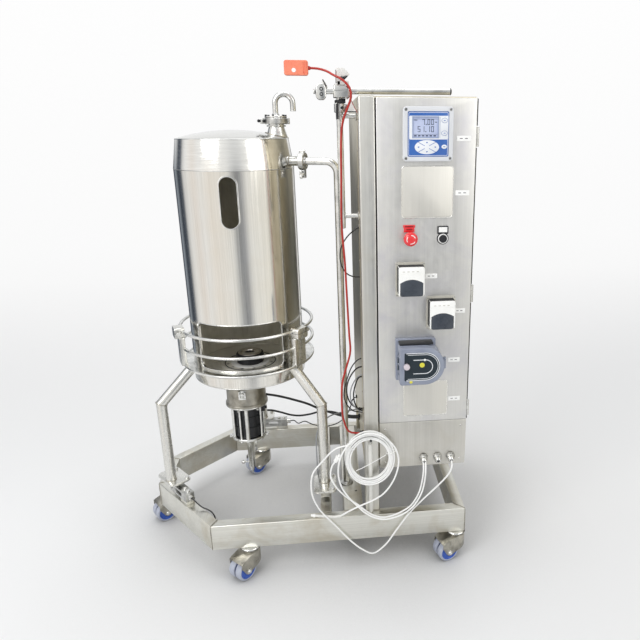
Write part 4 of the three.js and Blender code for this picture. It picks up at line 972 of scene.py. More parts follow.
# What polished metal sees at each angle round the room: 0 degrees is ahead, towards negative y.
ROOM = [
    (-180, "1d1e22"),
    (-166, "59606c"),
    (-152, "3a414d"),
    (-138, "98a0aa"),
    (-126, "3d444f"),
    (-113, "5b626d"),
    (-106, "e3e3e4"),
    (-96, "ffffff"),
    (-78, "f7f1ec"),
    (-64, "ffffff"),
    (-44, "fffaf4"),
    (-8, "f8f8f6"),
    (0, "c4c6c8"),
    (9, "8f9296"),
    (17, "b4b6ba"),
    (26, "f7f7f5"),
    (62, "fffdf6"),
    (71, "fffef6"),
    (74.5, "8d8474"),
    (84, "b8b29d"),
    (94, "7d7660"),
    (107, "463e34"),
    (119, "857d6e"),
    (127, "cfc9b8"),
    (135, "fffdf0"),
    (141, "5a5a4a"),
    (145, "23241d"),
    (150, "8f8f84"),
    (157, "ffffff"),
    (168, "5a5a55"),
    (180, "1d1e22"),
]


def make_world():
    """Even pale light for everything, and for polished metal a room with bright walls and darker openings."""
    world = bpy.data.worlds.new("studio")
    bpy.context.scene.world = world
    made = Nodes(world)
    plain = made.add("ShaderNodeBackground", {"Color": (0.97, 0.985, 1.0, 1), "Strength": 0.62})
    way = made.add("ShaderNodeTexCoord").outputs["Generated"]
    split = made.add("ShaderNodeSeparateXYZ", {0: way}).outputs
    forward = made.math("MULTIPLY", split["Y"], -1.0)
    around = made.span(made.math("ARCTAN2", split["X"], forward), 0.0, 1.0, -math.pi, math.pi)
    walls = made.ramp(around, [((degrees + 180) / 360, rgb(colour)) for degrees, colour in ROOM])
    ceiling = made.span(split["Z"], 0.0, 1.0, 0.35, 0.8)
    # Level tops look over the machine to the pale wall behind it.
    behind = made.span(split["Y"], 0.0, 1.0, 0.55, 0.85)
    wall = made.math("MULTIPLY", behind, made.span(split["Z"], 0.0, 1.0, -0.03, 0.06))
    ahead = made.span(forward, 0.0, 1.0, 0.05, 0.45)
    front = made.math("MULTIPLY", ahead, made.span(split["Z"], 0.0, 0.8, 0.1, 0.2))
    pale = made.math("MAXIMUM", made.math("MAXIMUM", wall, front), ceiling)
    tone = made.mixed(pale, walls, (0.93, 0.94, 0.95, 1))
    room = made.add("ShaderNodeBackground", {"Color": tone, "Strength": 1.0})
    white = made.add("ShaderNodeBackground", {"Color": (1, 1, 1, 1)})
    path = made.add("ShaderNodeLightPath").outputs
    unseen = made.blend(path["Is Glossy Ray"], plain.outputs[0], room.outputs[0])
    seen = made.blend(path["Is Camera Ray"], unseen, white.outputs[0])
    made.add("ShaderNodeOutputWorld", {0: seen})


def area_light(name, size, power, place, aim, colour=(1, 1, 1)):
    data = bpy.data.lights.new(name, "AREA")
    data.shape = "RECTANGLE"
    data.size, data.size_y = size
    data.energy = power
    data.color = colour
    light = bpy.data.objects.new(name, data)
    light.location = place
    light.rotation_euler = (Vector(aim) - Vector(place)).to_track_quat("-Z", "Y").to_euler()
    bpy.context.scene.collection.objects.link(light)


make_stage()
make_world()
area_light("key", (2.2, 2.6), 75, (-2.2, -2.6, 3.4), (0, 0, 0.7))
area_light("fill", (2.4, 2.4), 26, (2.8, -2.4, 2.4), (0, 0, 0.8), (1.0, 0.98, 0.95))
area_light("top", (2.6, 2.0), 34, (0.0, 0.4, 4.2), (0, 0, 0.5))

bpy.context.scene.view_settings.view_transform = "Standard"

# ---- casters ----

CASTERS = {
    "front_left": (-205, -356, 228),
    "left": (-568, 35, 215),
    "rear_left": (-226, 356, 215),
    "front_right": (560, -356, 200),
    "rear_right": (560, 356, 205),
}


def make_caster(name, x, y, heading):
    spin = turned_at(x, y, 0, heading)
    fork_part = family("fork_" + name, "fork_steel")
    wheel_part = family("wheels_" + name, "wheel_blue")
    trail = 42
    inside = 31.5
    outside = inside + 2.6
    nose = trail + 30

    def plan(half, front):
        points = [(front, -half), (front, half)]
        return points + [polar(half, degrees) for degrees in range(90, 271, 9)]

    side_line = [
        (-outside - 1, AXLE_Z + 24),
        (-26, AXLE_Z + 11),
        (trail - 15, AXLE_Z - 8),
        (trail - 8, AXLE_Z - 14),
        (trail + 4, AXLE_Z - 14),
        (trail + 13, AXLE_Z - 6),
        (nose + 1, AXLE_Z + 26),
        (nose + 1, HOOD_TOP - 20),
        (nose - 10, HOOD_TOP - 13),
        (22, HOOD_TOP - 1.5),
        (12, HOOD_TOP),
        (-outside - 1, HOOD_TOP),
    ]
    hood = prism(plan(outside, nose), "z", 0, HOOD_TOP + 1, 0)
    keep = prism(side_line, "y", -outside - 2, outside + 2)
    hollow_plan = prism(plan(inside, nose + 20), "z", -2, HOOD_TOP - 2.6, 0)
    hollow_side = prism(
        [
            (-80, -5), (nose + 30, -5), (nose + 30, HOOD_TOP - 24), (nose, HOOD_TOP - 21), (14, HOOD_TOP - 3),
            (-80, HOOD_TOP - 3),
        ],
        "y",
        -outside - 2,
        outside + 2,
    )
    hollow = solid_of(hollow_plan, [("INTERSECT", hollow_side)])
    shell = solid_of(hood, [("INTERSECT", keep), ("DIFFERENCE", hollow)])
    softened(shell, 0.9, 2, 40)
    fork_part("caster_hood_" + name, moved(shell, spin), "fork_finish", stands_for="caster_fork_" + name)
    raceway = lathe(
        [
            (0, HOOD_TOP - 0.5),
            (27, HOOD_TOP - 0.5),
            (30, HOOD_TOP + 1.2),
            (30.5, HOOD_TOP + 3.2),
            (27, HOOD_TOP + RACE),
            (0, HOOD_TOP + RACE),
        ],
        40,
        closed=False,
    )
    fork_part("caster_race_" + name, moved(raceway, spin), "bright_steel")
    for side, letter in ((-1, "a"), (1, "b")):
        nut_y, washer_y, tip_y = side * (outside + 3), side * (outside + 0.8), side * (outside + 6)
        nut = hexagon("y", 13, nut_y - 3.2, nut_y + 3.2, trail, AXLE_Z)
        washer = rod("y", 9.5, washer_y - 0.8, washer_y + 0.8, trail, AXLE_Z, 32, 0.3)
        tip = rod("y", 4.2, tip_y - 1.6, tip_y + 1.6, trail, AXLE_Z, 24, 0.8)
        fork_part(f"caster_nut_{name}_{letter}", moved(merged(nut, washer, tip), spin), "bright_steel")
    axle = rod("y", 5, -outside, outside, trail, AXLE_Z, 24, 0.3)
    fork_part("caster_axle_" + name, moved(axle, spin), "bright_steel")

    treads = []
    cores = []
    for side in (-1, 1):
        near, far = side * 3.2, side * 30
        low, high = min(near, far), max(near, far)
        treads.append(
            lathe(
                [
                    (WHEEL - 8.5, low + 1.5),
                    (WHEEL - 5, low),
                    (WHEEL - 1.5, low + 1.2),
                    (WHEEL, low + 4.2),
                    (WHEEL, high - 4.2),
                    (WHEEL - 1.5, high - 1.2),
                    (WHEEL - 5, high),
                    (WHEEL - 8.5, high - 1.5),
                ],
                64,
            )
        )
        face = [
            (6, low + 4), (12, low + 1), (15, low + 1), (17, low + 3.5), (27, low + 3.5), (29.5, low + 1.2),
            (32, low + 1.2),
        ]
        back = [
            (32, high - 1.2), (29.5, high - 1.2), (27, high - 3.5), (17, high - 3.5), (15, high - 1),
            (12, high - 1), (6, high - 4),
        ]
        cores.append(lathe(face + back, 64))
    place = Matrix.Translation((trail, 0, AXLE_Z)) @ Matrix.Rotation(math.radians(90), 4, "X")
    tread = moved(moved(merged(*treads), place), spin)
    wheel_part("caster_tread_" + name, tread, "wheel_tread", stands_for="caster_wheels_" + name)
    wheel_part("caster_core_" + name, moved(moved(merged(*cores), place), spin), "wheel_core")
    hub = moved(lathe([(6, -29), (11.5, -29), (12.2, -27), (12.2, 27), (11.5, 29), (6, 29)], 40), place)
    wheel_part("caster_hub_" + name, moved(hub, spin), "black_plastic")


for caster_name, caster_place in CASTERS.items():
    make_caster(caster_name, *caster_place)

# ---- base frame ----

FRAME_CORNERS = [(-336, -376), (590, -376), (590, 376), (-360, 376), (-588, 134), (-588, -64)]
RAIL_WIDTH = 40
CROSS_BARS = {"slim": (54, 94), "wide": (140, 212)}
BAR_END = 336


def inset(corners, distance):
    points = [Vector(c) for c in corners]
    lines = []
    for k, start in enumerate(points):
        along = (points[(k + 1) % len(points)] - start).normalized()
        inward = Vector((-along.y, along.x))
        lines.append((start + inward * distance, along))
    result = []
    for k in range(len(lines)):
        (p, d), (q, e) = lines[k - 1], lines[k]
        cross = d.x * e.y - d.y * e.x
        t = ((q.x - p.x) * e.y - (q.y - p.y) * e.x) / cross
        result.append(p + d * t)
    return result


def make_base_frame():
    outer = [Vector(c) for c in FRAME_CORNERS]
    inner = inset(FRAME_CORNERS, RAIL_WIDTH)
    count = len(outer)
    for k in range(count):
        after = (k + 1) % count
        corners = [tuple(corner) for corner in (outer[k], outer[after], inner[after], inner[k])]
        bar = prism(corners, "z", FRAME_BOTTOM, FRAME_TOP, 3.0, 3, 30)
        along = (outer[after] - outer[k]).normalized()
        steel = "frame_steel" if abs(along.x) > 0.9 else "frame_steel_y"
        brushed_part(f"frame_rail_{k + 1}", bar, steel, stands_for=None if k else "base_frame")
    for name, (x0, x1) in CROSS_BARS.items():
        bar = block(x0, x1, -BAR_END - 0.5, BAR_END + 0.5, FRAME_BOTTOM + 0.4, FRAME_TOP + GAP, 3.0, 3)
        brushed_part(f"frame_bar_{name}", bar, "frame_steel_y")
    welds = []
    for a, b in zip(outer, inner):
        line = [Vector((a.x, a.y, FRAME_TOP)), Vector((b.x, b.y, FRAME_TOP))]
        welds.append(weld_bead(line, 2.0))
        drop = [Vector((a.x, a.y, FRAME_TOP - 3)), Vector((a.x, a.y, FRAME_BOTTOM + 3))]
        welds.append(weld_bead(drop, 1.8))
    for x0, x1 in CROSS_BARS.values():
        for y in (-BAR_END, BAR_END):
            welds.append(weld_bead([Vector((x0, y, FRAME_TOP)), Vector((x1, y, FRAME_TOP))], 1.8))
            for x in (x0, x1):
                welds.append(
                    weld_bead([Vector((x, y, FRAME_TOP - 2)), Vector((x, y, FRAME_BOTTOM + 2))], 1.6)
                )
    brushed_part("frame_welds", merged(*welds), "weld_steel", angle=60)
    plates = []
    for x, y, _ in CASTERS.values():
        plates.append(
            lathe(
                [
                    (0, FRAME_BOTTOM - 8), (33, FRAME_BOTTOM - 8), (36, FRAME_BOTTOM - 6.4),
                    (36, FRAME_BOTTOM - 2.2), (34, FRAME_BOTTOM + 0.3), (0, FRAME_BOTTOM + 0.3),
                ],
                48,
                closed=False,
            ),
        )
        shifted(plates[-1], x, y, 0)
    brushed_part("caster_races", merged(*plates), "bright_steel")
    seams = []
    for x, y, _ in CASTERS.values():
        seams.append(shifted(ring(35.6, 1.1, 48, 8), x, y, FRAME_BOTTOM - 4.6))
    brushed_part("caster_race_seals", merged(*seams), "black_rubber")
    # Painted shade: a black disc flush with the bar's top stands for the dark inside of a pin hole.
    hole_shade = rod("z", 4.6, FRAME_TOP - 6, FRAME_TOP + 0.5, 191, -213, 24, 0.2)
    brushed_part("frame_pin_hole_shade", hole_shade, "black_plastic")


make_base_frame()

# ---- weighing cells and legs ----

CELL_H = 62
FOOT_TOP = FRAME_TOP + CELL_H + GAP + 8
LEG_R = 19


Leg = namedtuple("Leg", "name azimuth reach foot cell turn")


def on_line(point, start, end):
    along = (end - start).normalized()
    return start + along * (point - start).dot(along)


middle_line = inset(FRAME_CORNERS, RAIL_WIDTH / 2)
left_turn = math.degrees(math.atan2(*reversed(middle_line[0] - middle_line[5])))
LEGS = {}
for leg_name, leg_azimuth, leg_reach in (("rear", 92, 372), ("left", 201, 337), ("right", 323, 337)):
    leg_x, leg_y = polar(leg_reach, leg_azimuth)
    leg_foot = Vector((VESSEL.x + leg_x, VESSEL.y + leg_y))
    if leg_name == "rear":
        leg_cell, leg_turn = on_line(leg_foot, middle_line[3], middle_line[2]), 0.0
    elif leg_name == "left":
        leg_cell, leg_turn = on_line(leg_foot, middle_line[5], middle_line[0]), left_turn
    else:
        leg_cell, leg_turn = Vector((sum(CROSS_BARS["slim"]) / 2, leg_foot.y)), 90.0
    LEGS[leg_name] = Leg(leg_name, leg_azimuth, leg_reach, leg_foot, leg_cell, leg_turn)


def make_load_cell(name, cell, turn):
    place = turned_at(cell.x, cell.y, FRAME_TOP + GAP, turn)
    half, reach = 17, 105
    low, high = 14, 48
    window = prism(rounded(18, 66, 23, 39, 7.9, 8), "y", -half - 2, half + 2)
    beam = solid_of(block(-25, reach, -half, half, low, high), [("DIFFERENCE", window)])
    softened(beam, 1.2, 2, 40)
    polished_part("load_cell_beam_" + name, moved(beam, place), "cast_steel", stands_for="load_cell_" + name)
    foot = block(reach - 48, reach, -half, half, 0, low + 0.2, 1.0)
    polished_part("load_cell_foot_" + name, moved(foot, place), "frame_steel")
    button = merged(
        rod("z", 13, high - 0.5, CELL_H - 3, 0, 0, 40, 1.2),
        rod("z", 9, CELL_H - 3.5, CELL_H - 0.1, 0, 0, 32, 0.6),
    )
    polished_part("load_button_" + name, moved(button, place), "bright_steel")
    bolts = []
    for x in (reach - 14, reach - 36):
        bolts += [
            rod("z", 7.6, high - 0.2, high + 1.4, x, 0, 32, 0.4), hexagon("z", 12, high + 1, high + 7, x, 0)
        ]
    polished_part("load_cell_bolts_" + name, moved(merged(*bolts), place), "bright_steel")
    socket = merged(
        rod("x", 11, reach - 0.5, reach + 8, 0, 31, 40, 1.0),
        rod("x", 9.2, reach + 7.5, reach + 11, 0, 31, 40, 0.6),
        rod("x", 10.6, reach + 10.5, reach + 17, 0, 31, 40, 1.0),
    )
    polished_part("load_cell_socket_" + name, moved(socket, place), "bright_steel")
    covers = [rod("y", 5.2, side * half - 0.6, side * half + 0.6, -8, 31, 24, 0.3) for side in (-1, 1)]
    polished_part("load_cell_covers_" + name, moved(merged(*covers), place), "black_plastic")


def make_leg(leg):
    name, foot = leg.name, leg.foot
    place = turned_at(leg.cell.x, leg.cell.y, 0, leg.turn)
    local = place.inverted() @ Vector((foot.x, foot.y, 0))
    plate = prism(rounded(-75, 48, -42, 42, 20, 8), "z", FRAME_TOP + CELL_H + GAP, FOOT_TOP, 1.2, 2)
    bolts = []
    for x in (-58, 34):
        y = (-1 if local.y > 0 else 1) * 28
        bolts += [
            rod("z", 8.5, FOOT_TOP - 0.2, FOOT_TOP + 1.4, x, y, 32, 0.4),
            hexagon("z", 13, FOOT_TOP + 1.2, FOOT_TOP + 6.5, x, y),
        ]
    brushed_part("leg_plate_" + name, moved(plate, place), "leg_steel", stands_for="leg_" + name)
    brushed_part("leg_bolts_" + name, moved(merged(*bolts), place), "bright_steel")
    knee_z = SHELF_Z - (leg.reach - VESSEL_R) - 3
    inward = Vector((*polar(1, leg.azimuth + 180), 0))
    knee = Vector((foot.x, foot.y, knee_z))
    rise = SHELF_Z + 10 - knee_z
    head = knee + inward * rise + Vector((0, 0, rise))
    # A mitred corner: the two tubes meet on the plane that halves the angle between them.
    line = [Vector((foot.x, foot.y, FOOT_TOP - 0.5)), knee, head]
    tool_top = block(-900, 900, -900, 900, SHELF_Z - 0.3, SHELF_Z + 300)
    profile = [(0, 0), (VESSEL_R + 0.6, 0), (VESSEL_R + 0.6, SHELF_Z + 60), (0, SHELF_Z + 60)]
    drum = shifted(lathe(profile, 96, closed=False), VESSEL.x, VESSEL.y, 0)
    pipe = cut(mitred(line, LEG_R, 40), tool_top, drum)
    brushed_part("leg_tube_" + name, pipe, "leg_steel", angle=25)
    tilt = Vector((inward.x, inward.y, 1)).normalized()
    seam_normal = (Vector((0, 0, 1)) + tilt).normalized()
    side = Vector((-inward.y, inward.x, 0))
    weld = []
    for k in range(49):
        angle = 2 * math.pi * k / 48
        point = side * math.cos(angle) * (LEG_R + 0.2) + inward * math.sin(angle) * (LEG_R + 0.2)
        lift = -(point.dot(seam_normal)) / seam_normal.z
        weld.append(knee + point + Vector((0, 0, lift)))
    brushed_part("leg_weld_" + name, tube(weld, 1.5, 8, False), "weld_steel", angle=60)
    collar = shifted(ring(LEG_R, 2.0, 48, 10), foot.x, foot.y, FOOT_TOP + 0.4)
    brushed_part("leg_foot_weld_" + name, collar, "weld_steel", angle=60)


for leg in LEGS.values():
    make_load_cell(leg.name, leg.cell, leg.turn)
    make_leg(leg)

# ---- stand ring and guard ----

SHELF_TOP = SHELF_Z + 4
GUARD_R = 241
GUARD_ROD = 5.5


def make_stand():
    rim_mid = SHELF_Z + 2
    rim = []
    for degrees in range(-156, 157, 24):
        out, up = polar(5, degrees)
        rim.append((240 + out, rim_mid + up))
    shelf = lathe(
        [(VESSEL_R + 0.4, SHELF_Z), (235.4, SHELF_Z)] + rim + [
            (235.4, SHELF_TOP), (VESSEL_R + 0.4, SHELF_TOP)
        ],
        144,
    )
    brushed_part(
        "stand_shelf", shifted(shelf, VESSEL.x, VESSEL.y, 0), "bright_steel", stands_for="stand_ring"
    )
    low_bar, high_bar = SHELF_Z + 72, SHELF_Z + 137
    inner = GUARD_R - 10
    for name, leg in LEGS.items():
        place = turned_at(VESSEL.x, VESSEL.y, 0, leg.azimuth)
        plate_line = rounded(-28, 28, SHELF_TOP, high_bar - 22, 9, 6)
        lobe_line = rounded(-28, 28, high_bar - 28, high_bar + 12, 9, 6)
        plate = prism(plate_line, "x", inner + 3, inner + 22, 1.5, 2)
        lobe = prism(lobe_line, "x", inner + 1, inner + 36, 2.0, 2)
        brushed_part("guard_bracket_" + name, moved(merged(plate, lobe), place), "leg_steel")
        foot_block = block(inner, inner + 12, -28, 28, SHELF_TOP - 0.4, SHELF_TOP + 12, 1.2)
        brushed_part("guard_bracket_foot_" + name, moved(foot_block, place), "leg_steel")
        screw = merged(
            rod("y", 4, 27, 33, inner + 24, high_bar - 6, 24, 0.5),
            knurled("y", 7.5, 32, 42, inner + 24, high_bar - 6),
        )
        brushed_part("guard_screw_" + name, moved(screw, place), "bright_steel")
        # Painted shade: a thin black sheet through the bracket stands for the shade in its clamping slit.
        slit_shade = block(inner + 0.6, inner + 36.4, -28.4, 28.4, high_bar - 6.6, high_bar - 5.2, 0.1)
        brushed_part("guard_slit_shade_" + name, moved(slit_shade, place), "black_metal")
    for name, z in (("lower", low_bar), ("upper", high_bar)):
        rail = shifted(ring(GUARD_R, GUARD_ROD, 160, 20), VESSEL.x, VESSEL.y, z)
        polished_part("guard_rail_" + name, rail, "bright_steel", angle=60, stands_for="guard_rod_" + name)


make_stand()

# ---- vessel ----

CROWN_R = 190
CROWN_RISE = 28
VENT_X = 151
VENT_FACE = SHOULDER + 28 + 28.5
NOZZLE_AZIMUTH = -18
NOZZLE_Z = SEAM + 24
FERRULE = 34
SIDE_FERRULE = 24
NECK_R = 27
DRIVE_X = -26
WINDOW_LOW = VESSEL_BOTTOM + 70
WINDOW = (-138, -47, WINDOW_LOW, WINDOW_LOW + 169, 20)  # two azimuths, two heights and the corner
SLOT_TOP = SEAM - 18
SLOT_HIGH = 165
SLOT_HALF = 27.5
FACE_OF_NOZZLE = Matrix.Translation((0, 0, NOZZLE_Z)) @ Z_TO_X


def at_vessel(shape, degrees=0.0):
    return moved(shape, turned_at(VESSEL.x, VESSEL.y, 0, degrees))


def crown_height(radius):
    return SHOULDER + CROWN_RISE * (1 - (radius / CROWN_R) ** 2)


def wrapped(start, end, z0, z1, corner, radius, steps, spacing):
    """Angles and heights of a rounded opening that is drawn flat and wrapped round the vessel."""
    width = math.radians(end - start) * radius
    flat = rounded(-width / 2, width / 2, z0, z1, corner, steps)
    middle = math.radians((start + end) / 2)
    points = []
    for k, (x, z) in enumerate(flat):
        nx, nz = flat[(k + 1) % len(flat)]
        parts = max(1, int(math.hypot(nx - x, nz - z) / spacing))
        for j in range(parts):
            points.append((middle + (x + (nx - x) * j / parts) / radius, z + (nz - z) * j / parts))
    return points


def window_edge(radius, bar, push):
    """A bead along the window's outline."""
    size = radius + push
    points = [
        Vector((size * math.cos(angle), size * math.sin(angle), z))
        for angle, z in wrapped(*WINDOW, radius, 12, 8)
    ]
    return tube(points + [points[0].copy()], bar, 8, False)


def window_cutter(radius, depth):
    """The window's outline as a solid cutter that goes through the wall."""
    shape = bmesh.new()
    near, far = [], []
    for angle, z in wrapped(*WINDOW, radius, 10, 9):
        for size, loop in ((radius - depth, near), (radius + depth, far)):
            loop.append(shape.verts.new((size * math.cos(angle), size * math.sin(angle), z)))
    skin(shape, near, far)
    for loop in (near, far):
        border = [edge for edge in shape.edges if edge.verts[0] in loop and edge.verts[1] in loop]
        bmesh.ops.triangle_fill(shape, use_beauty=True, edges=border)
    return closed_up(shape)


def slot_cutter(inner, outer):
    outline = rounded(-SLOT_HALF, SLOT_HALF, SLOT_TOP - SLOT_HIGH, SLOT_TOP, SLOT_HALF - 0.1, 12)
    return prism(outline, "y", -outer - 30, -inner + 40)


def make_vessel():
    outer, inner = VESSEL_R, VESSEL_R - WALL
    wall = lathe(
        [
            (inner, VESSEL_BOTTOM + 1),
            (inner + 1, VESSEL_BOTTOM),
            (outer - 1.5, VESSEL_BOTTOM),
            (outer, VESSEL_BOTTOM + 1.5),
            (outer, SEAM - 0.4),
            (inner, SEAM - 0.4),
        ],
        160,
    )
    shell = cut(wall, slot_cutter(inner, outer), window_cutter(outer, 26))
    brushed_part("vessel_wall", at_vessel(shell), "vessel_steel", angle=28, stands_for="vessel_shell")
    lining = lathe(
        [
            (inner - 1.2, FLOOR_Z + 8), (inner - 0.2, FLOOR_Z + 8), (inner - 0.2, SEAM - 1),
            (inner - 1.2, SEAM - 1),
        ],
        160,
    )
    lining = cut(lining, slot_cutter(inner, outer), window_cutter(outer, 26))
    brushed_part("vessel_lining", at_vessel(lining), "inside_steel", angle=28)
    # The slot's frame: a bright welded band that stands a little proud.
    wide = SLOT_HALF + 5
    frame_out = rounded(-wide, wide, SLOT_TOP - SLOT_HIGH - 5, SLOT_TOP + 5, wide - 0.1, 14)
    frame_in = rounded(-SLOT_HALF, SLOT_HALF, SLOT_TOP - SLOT_HIGH, SLOT_TOP, SLOT_HALF - 0.1, 14)
    low, high = SLOT_TOP - 220, SLOT_TOP + 60
    band = solid_of(
        prism(frame_out, "y", -outer - 12, -inner - 2),
        [
            ("DIFFERENCE", prism(frame_in, "y", -outer - 40, -inner + 40)),
            (
                "INTERSECT",
                lathe([(inner + 2, low), (outer + 2.6, low), (outer + 2.6, high), (inner + 2, high)], 160),
            ),
        ],
    )
    softened(band, 0.8, 2, 50)
    brushed_part("slot_frame", at_vessel(band), "bright_steel")
    brushed_part("window_edge", at_vessel(window_edge(outer, 2.2, -0.3)), "bright_steel", angle=60)
    hem = ring(outer - 0.6, 2.2, 160, 12)
    brushed_part("vessel_hem", at_vessel(shifted(hem, 0, 0, VESSEL_BOTTOM + 1.8)), "bright_steel", angle=60)


def make_head():
    outer = VESSEL_R
    steps = 14
    shoulder = [(outer, SEAM + 0.3), (outer - 0.2, SEAM + 3)]
    crown = [(CROWN_R + 0.4, SHOULDER - 2.5), (CROWN_R - 1.2, SHOULDER - 0.3)]
    inner = []
    for k in range(steps):
        radius, lower = (CROWN_R - 4) * (1 - k / steps), (CROWN_R - 9) * (1 - k / steps)
        crown.append((radius, crown_height(radius)))
        inner.append((lower, crown_height(lower) - WALL))
    middle = [(0, crown_height(0)), (0, crown_height(0) - WALL)]
    profile = shoulder + crown + middle + list(reversed(inner)) + [(outer - WALL, SEAM + 0.3)]
    vent_bore = shifted(rod("z", 17, SHOULDER - 40, SHOULDER + 90, 0, 0, 40, 0), VENT_X, 0, 0)
    side_bore = turned(rod("x", 11, outer - 50, 300, 0, NOZZLE_Z, 32, 0), NOZZLE_AZIMUTH)
    head = cut(lathe(profile, 160, closed=False), vent_bore, side_bore)
    brushed_part("vessel_dome", at_vessel(head), "head_steel", angle=20, stands_for="vessel_head")
    seam = ring(outer - 0.7, 1.5, 200, 10)
    brushed_part("seam_weld", at_vessel(shifted(seam, 0, 0, SEAM)), "cast_steel", angle=60)
    lip = ring(CROWN_R - 1.6, 2.4, 160, 12)
    brushed_part("crown_edge", at_vessel(shifted(lip, 0, 0, SHOULDER - 1.2)), "bright_steel", angle=60)
    face = VENT_FACE
    neck = lathe(
        [
            (17, SHOULDER + 1),
            (38, SHOULDER + 1),
            (37.6, SHOULDER + 5),
            (33, SHOULDER + 18),
            (NECK_R + 0.6, face - 21),
            (NECK_R, face - 17),
            (NECK_R, face - 8),
            (FERRULE - 1, face - 6),
            (FERRULE, face - 5),
            (FERRULE, face - 0.6),
            (FERRULE - 0.6, face - 0.15),
            (17, face - 0.15),
        ],
        64,
    )
    brushed_part("vent_neck", at_vessel(shifted(neck, VENT_X, 0, 0)), "bright_steel")
    bead = []
    for degrees in range(0, 361, 5):
        x, y = polar(38.4, degrees)
        point = Vector((VENT_X + x, y, 0))
        point.z = crown_height(min(math.hypot(point.x, point.y), CROWN_R)) + 0.8
        bead.append(point)
    brushed_part("vent_neck_weld", at_vessel(tube(bead, 1.9, 8, False)), "weld_steel", angle=60)
    reach = 250
    rim = SIDE_FERRULE
    nozzle = lathe(
        [
            (11, outer - 14), (16, outer - 14), (16, reach - 9), (17, reach - 6.4), (rim - 1, reach - 6),
            (rim, reach - 5), (rim, reach - 0.8), (rim - 0.6, reach), (11, reach),
        ],
        48,
    )
    brushed_part("side_nozzle", at_vessel(moved(nozzle, FACE_OF_NOZZLE), NOZZLE_AZIMUTH), "bright_steel")
    bead = moved(ring(16.3, 2.2, 48, 10), Matrix.Translation((outer + 0.4, 0, 0)) @ FACE_OF_NOZZLE)
    brushed_part("side_nozzle_weld", at_vessel(bead, NOZZLE_AZIMUTH), "weld_steel", angle=60)


def make_vessel_floor():
    edge = VESSEL_R - WALL - 0.3
    top = FLOOR_Z + 6
    sheet = lathe(
        [
            (8.6, FLOOR_Z),
            (edge, FLOOR_Z),
            (edge, top),
            (113, top),
            (111.5, top + 0.8),
            (109, top + 3),
            (103, top + 3),
            (100.5, top + 0.8),
            (99, top),
            (8.6, top),
        ],
        144,
    )
    polished_part("floor_disc", at_vessel(sheet), "floor_steel", angle=25, stands_for="vessel_floor")
    screws = []
    for k in range(12):
        screws.append(rod("z", 5.2, top - 0.2, top + 2.6, *polar(84, 15 + 30 * k), 20, 0.8))
    polished_part("floor_screws", at_vessel(merged(*screws)), "cast_steel")
    # Painted highlight: a white ring on the vessel's floor stands for the bright reflection of overhead light
    # there.
    pale_plate = lathe([(51, top - 0.2), (72, top - 0.2), (72, top + 0.7), (71.4, top + 1.2), (51, top + 1.2)], 120)
    polished_part("floor_highlight_ring", at_vessel(pale_plate), "painted_highlight_white")
    seal = shifted(ring(94, 1.5, 96, 8), 0, 0, top + 0.6)
    polished_part("floor_seal", at_vessel(seal), "black_rubber", angle=60)


def make_coupling():
    low = FLOOR_Z + 6.6
    hub = lathe(
        [
            (0, FLOOR_Z - 48),
            (8, FLOOR_Z - 48),
            (8, low),
            (47, low),
            (50, low + 2.5),
            (50, low + 35),
            (48.5, low + 37),
            (0, low + 37),
        ],
        72,
        closed=False,
    )
    coupling_part("coupling_hub", at_vessel(hub), "black_plastic", stands_for="drive_coupling")
    cap = lathe(
        [
            (0, low + 36.8),
            (43, low + 36.8),
            (44, low + 38),
            (43.5, low + 41),
            (41, low + 43),
            (23, low + 43),
            (20, low + 41),
            (18, low + 35),
            (0, low + 35),
        ],
        72,
        closed=False,
    )
    coupling_part("coupling_cap", at_vessel(cap), "hub_steel")
    ribs = [turned(block(46.5, 52, -3, 3, low + 5, low + 33, 1.0), 45 * k) for k in range(8)]
    coupling_part("coupling_ribs", at_vessel(merged(*ribs)), "black_plastic")
    screws = [rod("z", 3.2, low + 42.8, low + 44.6, *polar(34, 60 * k), 20, 0.5) for k in range(6)]
    coupling_part("coupling_screws", at_vessel(merged(*screws)), "cast_steel")


def make_vent():
    face = VENT_FACE + 0.15
    top, bend, pipe = 1645, 30, 9.5
    line = [Vector((VENT_X, 0, face + 14)), Vector((VENT_X, 0, face + 24))]
    line += arc_points((VENT_X + bend, 0, top), bend, 180, 0, 28)
    line += [Vector((VENT_X + 2 * bend, 0, top - 12)), Vector((VENT_X + 2 * bend, 0, top - 24))]
    cane = tube(line, pipe, 32, True)
    bore = rod("z", 7.6, top - 60, top - 6, VENT_X + 2 * bend, 0, 32, 0)
    polished_part("vent_cane", at_vessel(cut(cane, bore)), "bright_steel", stands_for="vent_gooseneck")
    # Painted shade: a black disc a little inside the pipe's open end stands for the dark of the bore.
    inside = rod("z", 7.4, top - 8, top - 6.2, VENT_X + 2 * bend, 0, 32, 0)
    polished_part("vent_bore_shade", at_vessel(inside), "black_metal")
    lip = shifted(ring(pipe - 0.5, 1.3, 40, 10), VENT_X + 2 * bend, 0, top - 24)
    polished_part("vent_lip", at_vessel(lip), "bright_steel", angle=60)
    cone = lathe(
        [
            (0, face),
            (FERRULE - 0.6, face),
            (FERRULE, face + 0.6),
            (FERRULE, face + 5),
            (FERRULE - 1, face + 6),
            (NECK_R, face + 6.6),
            (NECK_R - 5, face + 10.5),
            (15, face + 18),
            (pipe + 1.2, face + 25),
            (pipe, face + 27),
            (0, face + 27),
        ],
        64,
        closed=False,
    )
    polished_part("vent_ferrule", at_vessel(shifted(cone, VENT_X, 0, 0)), "bright_steel")


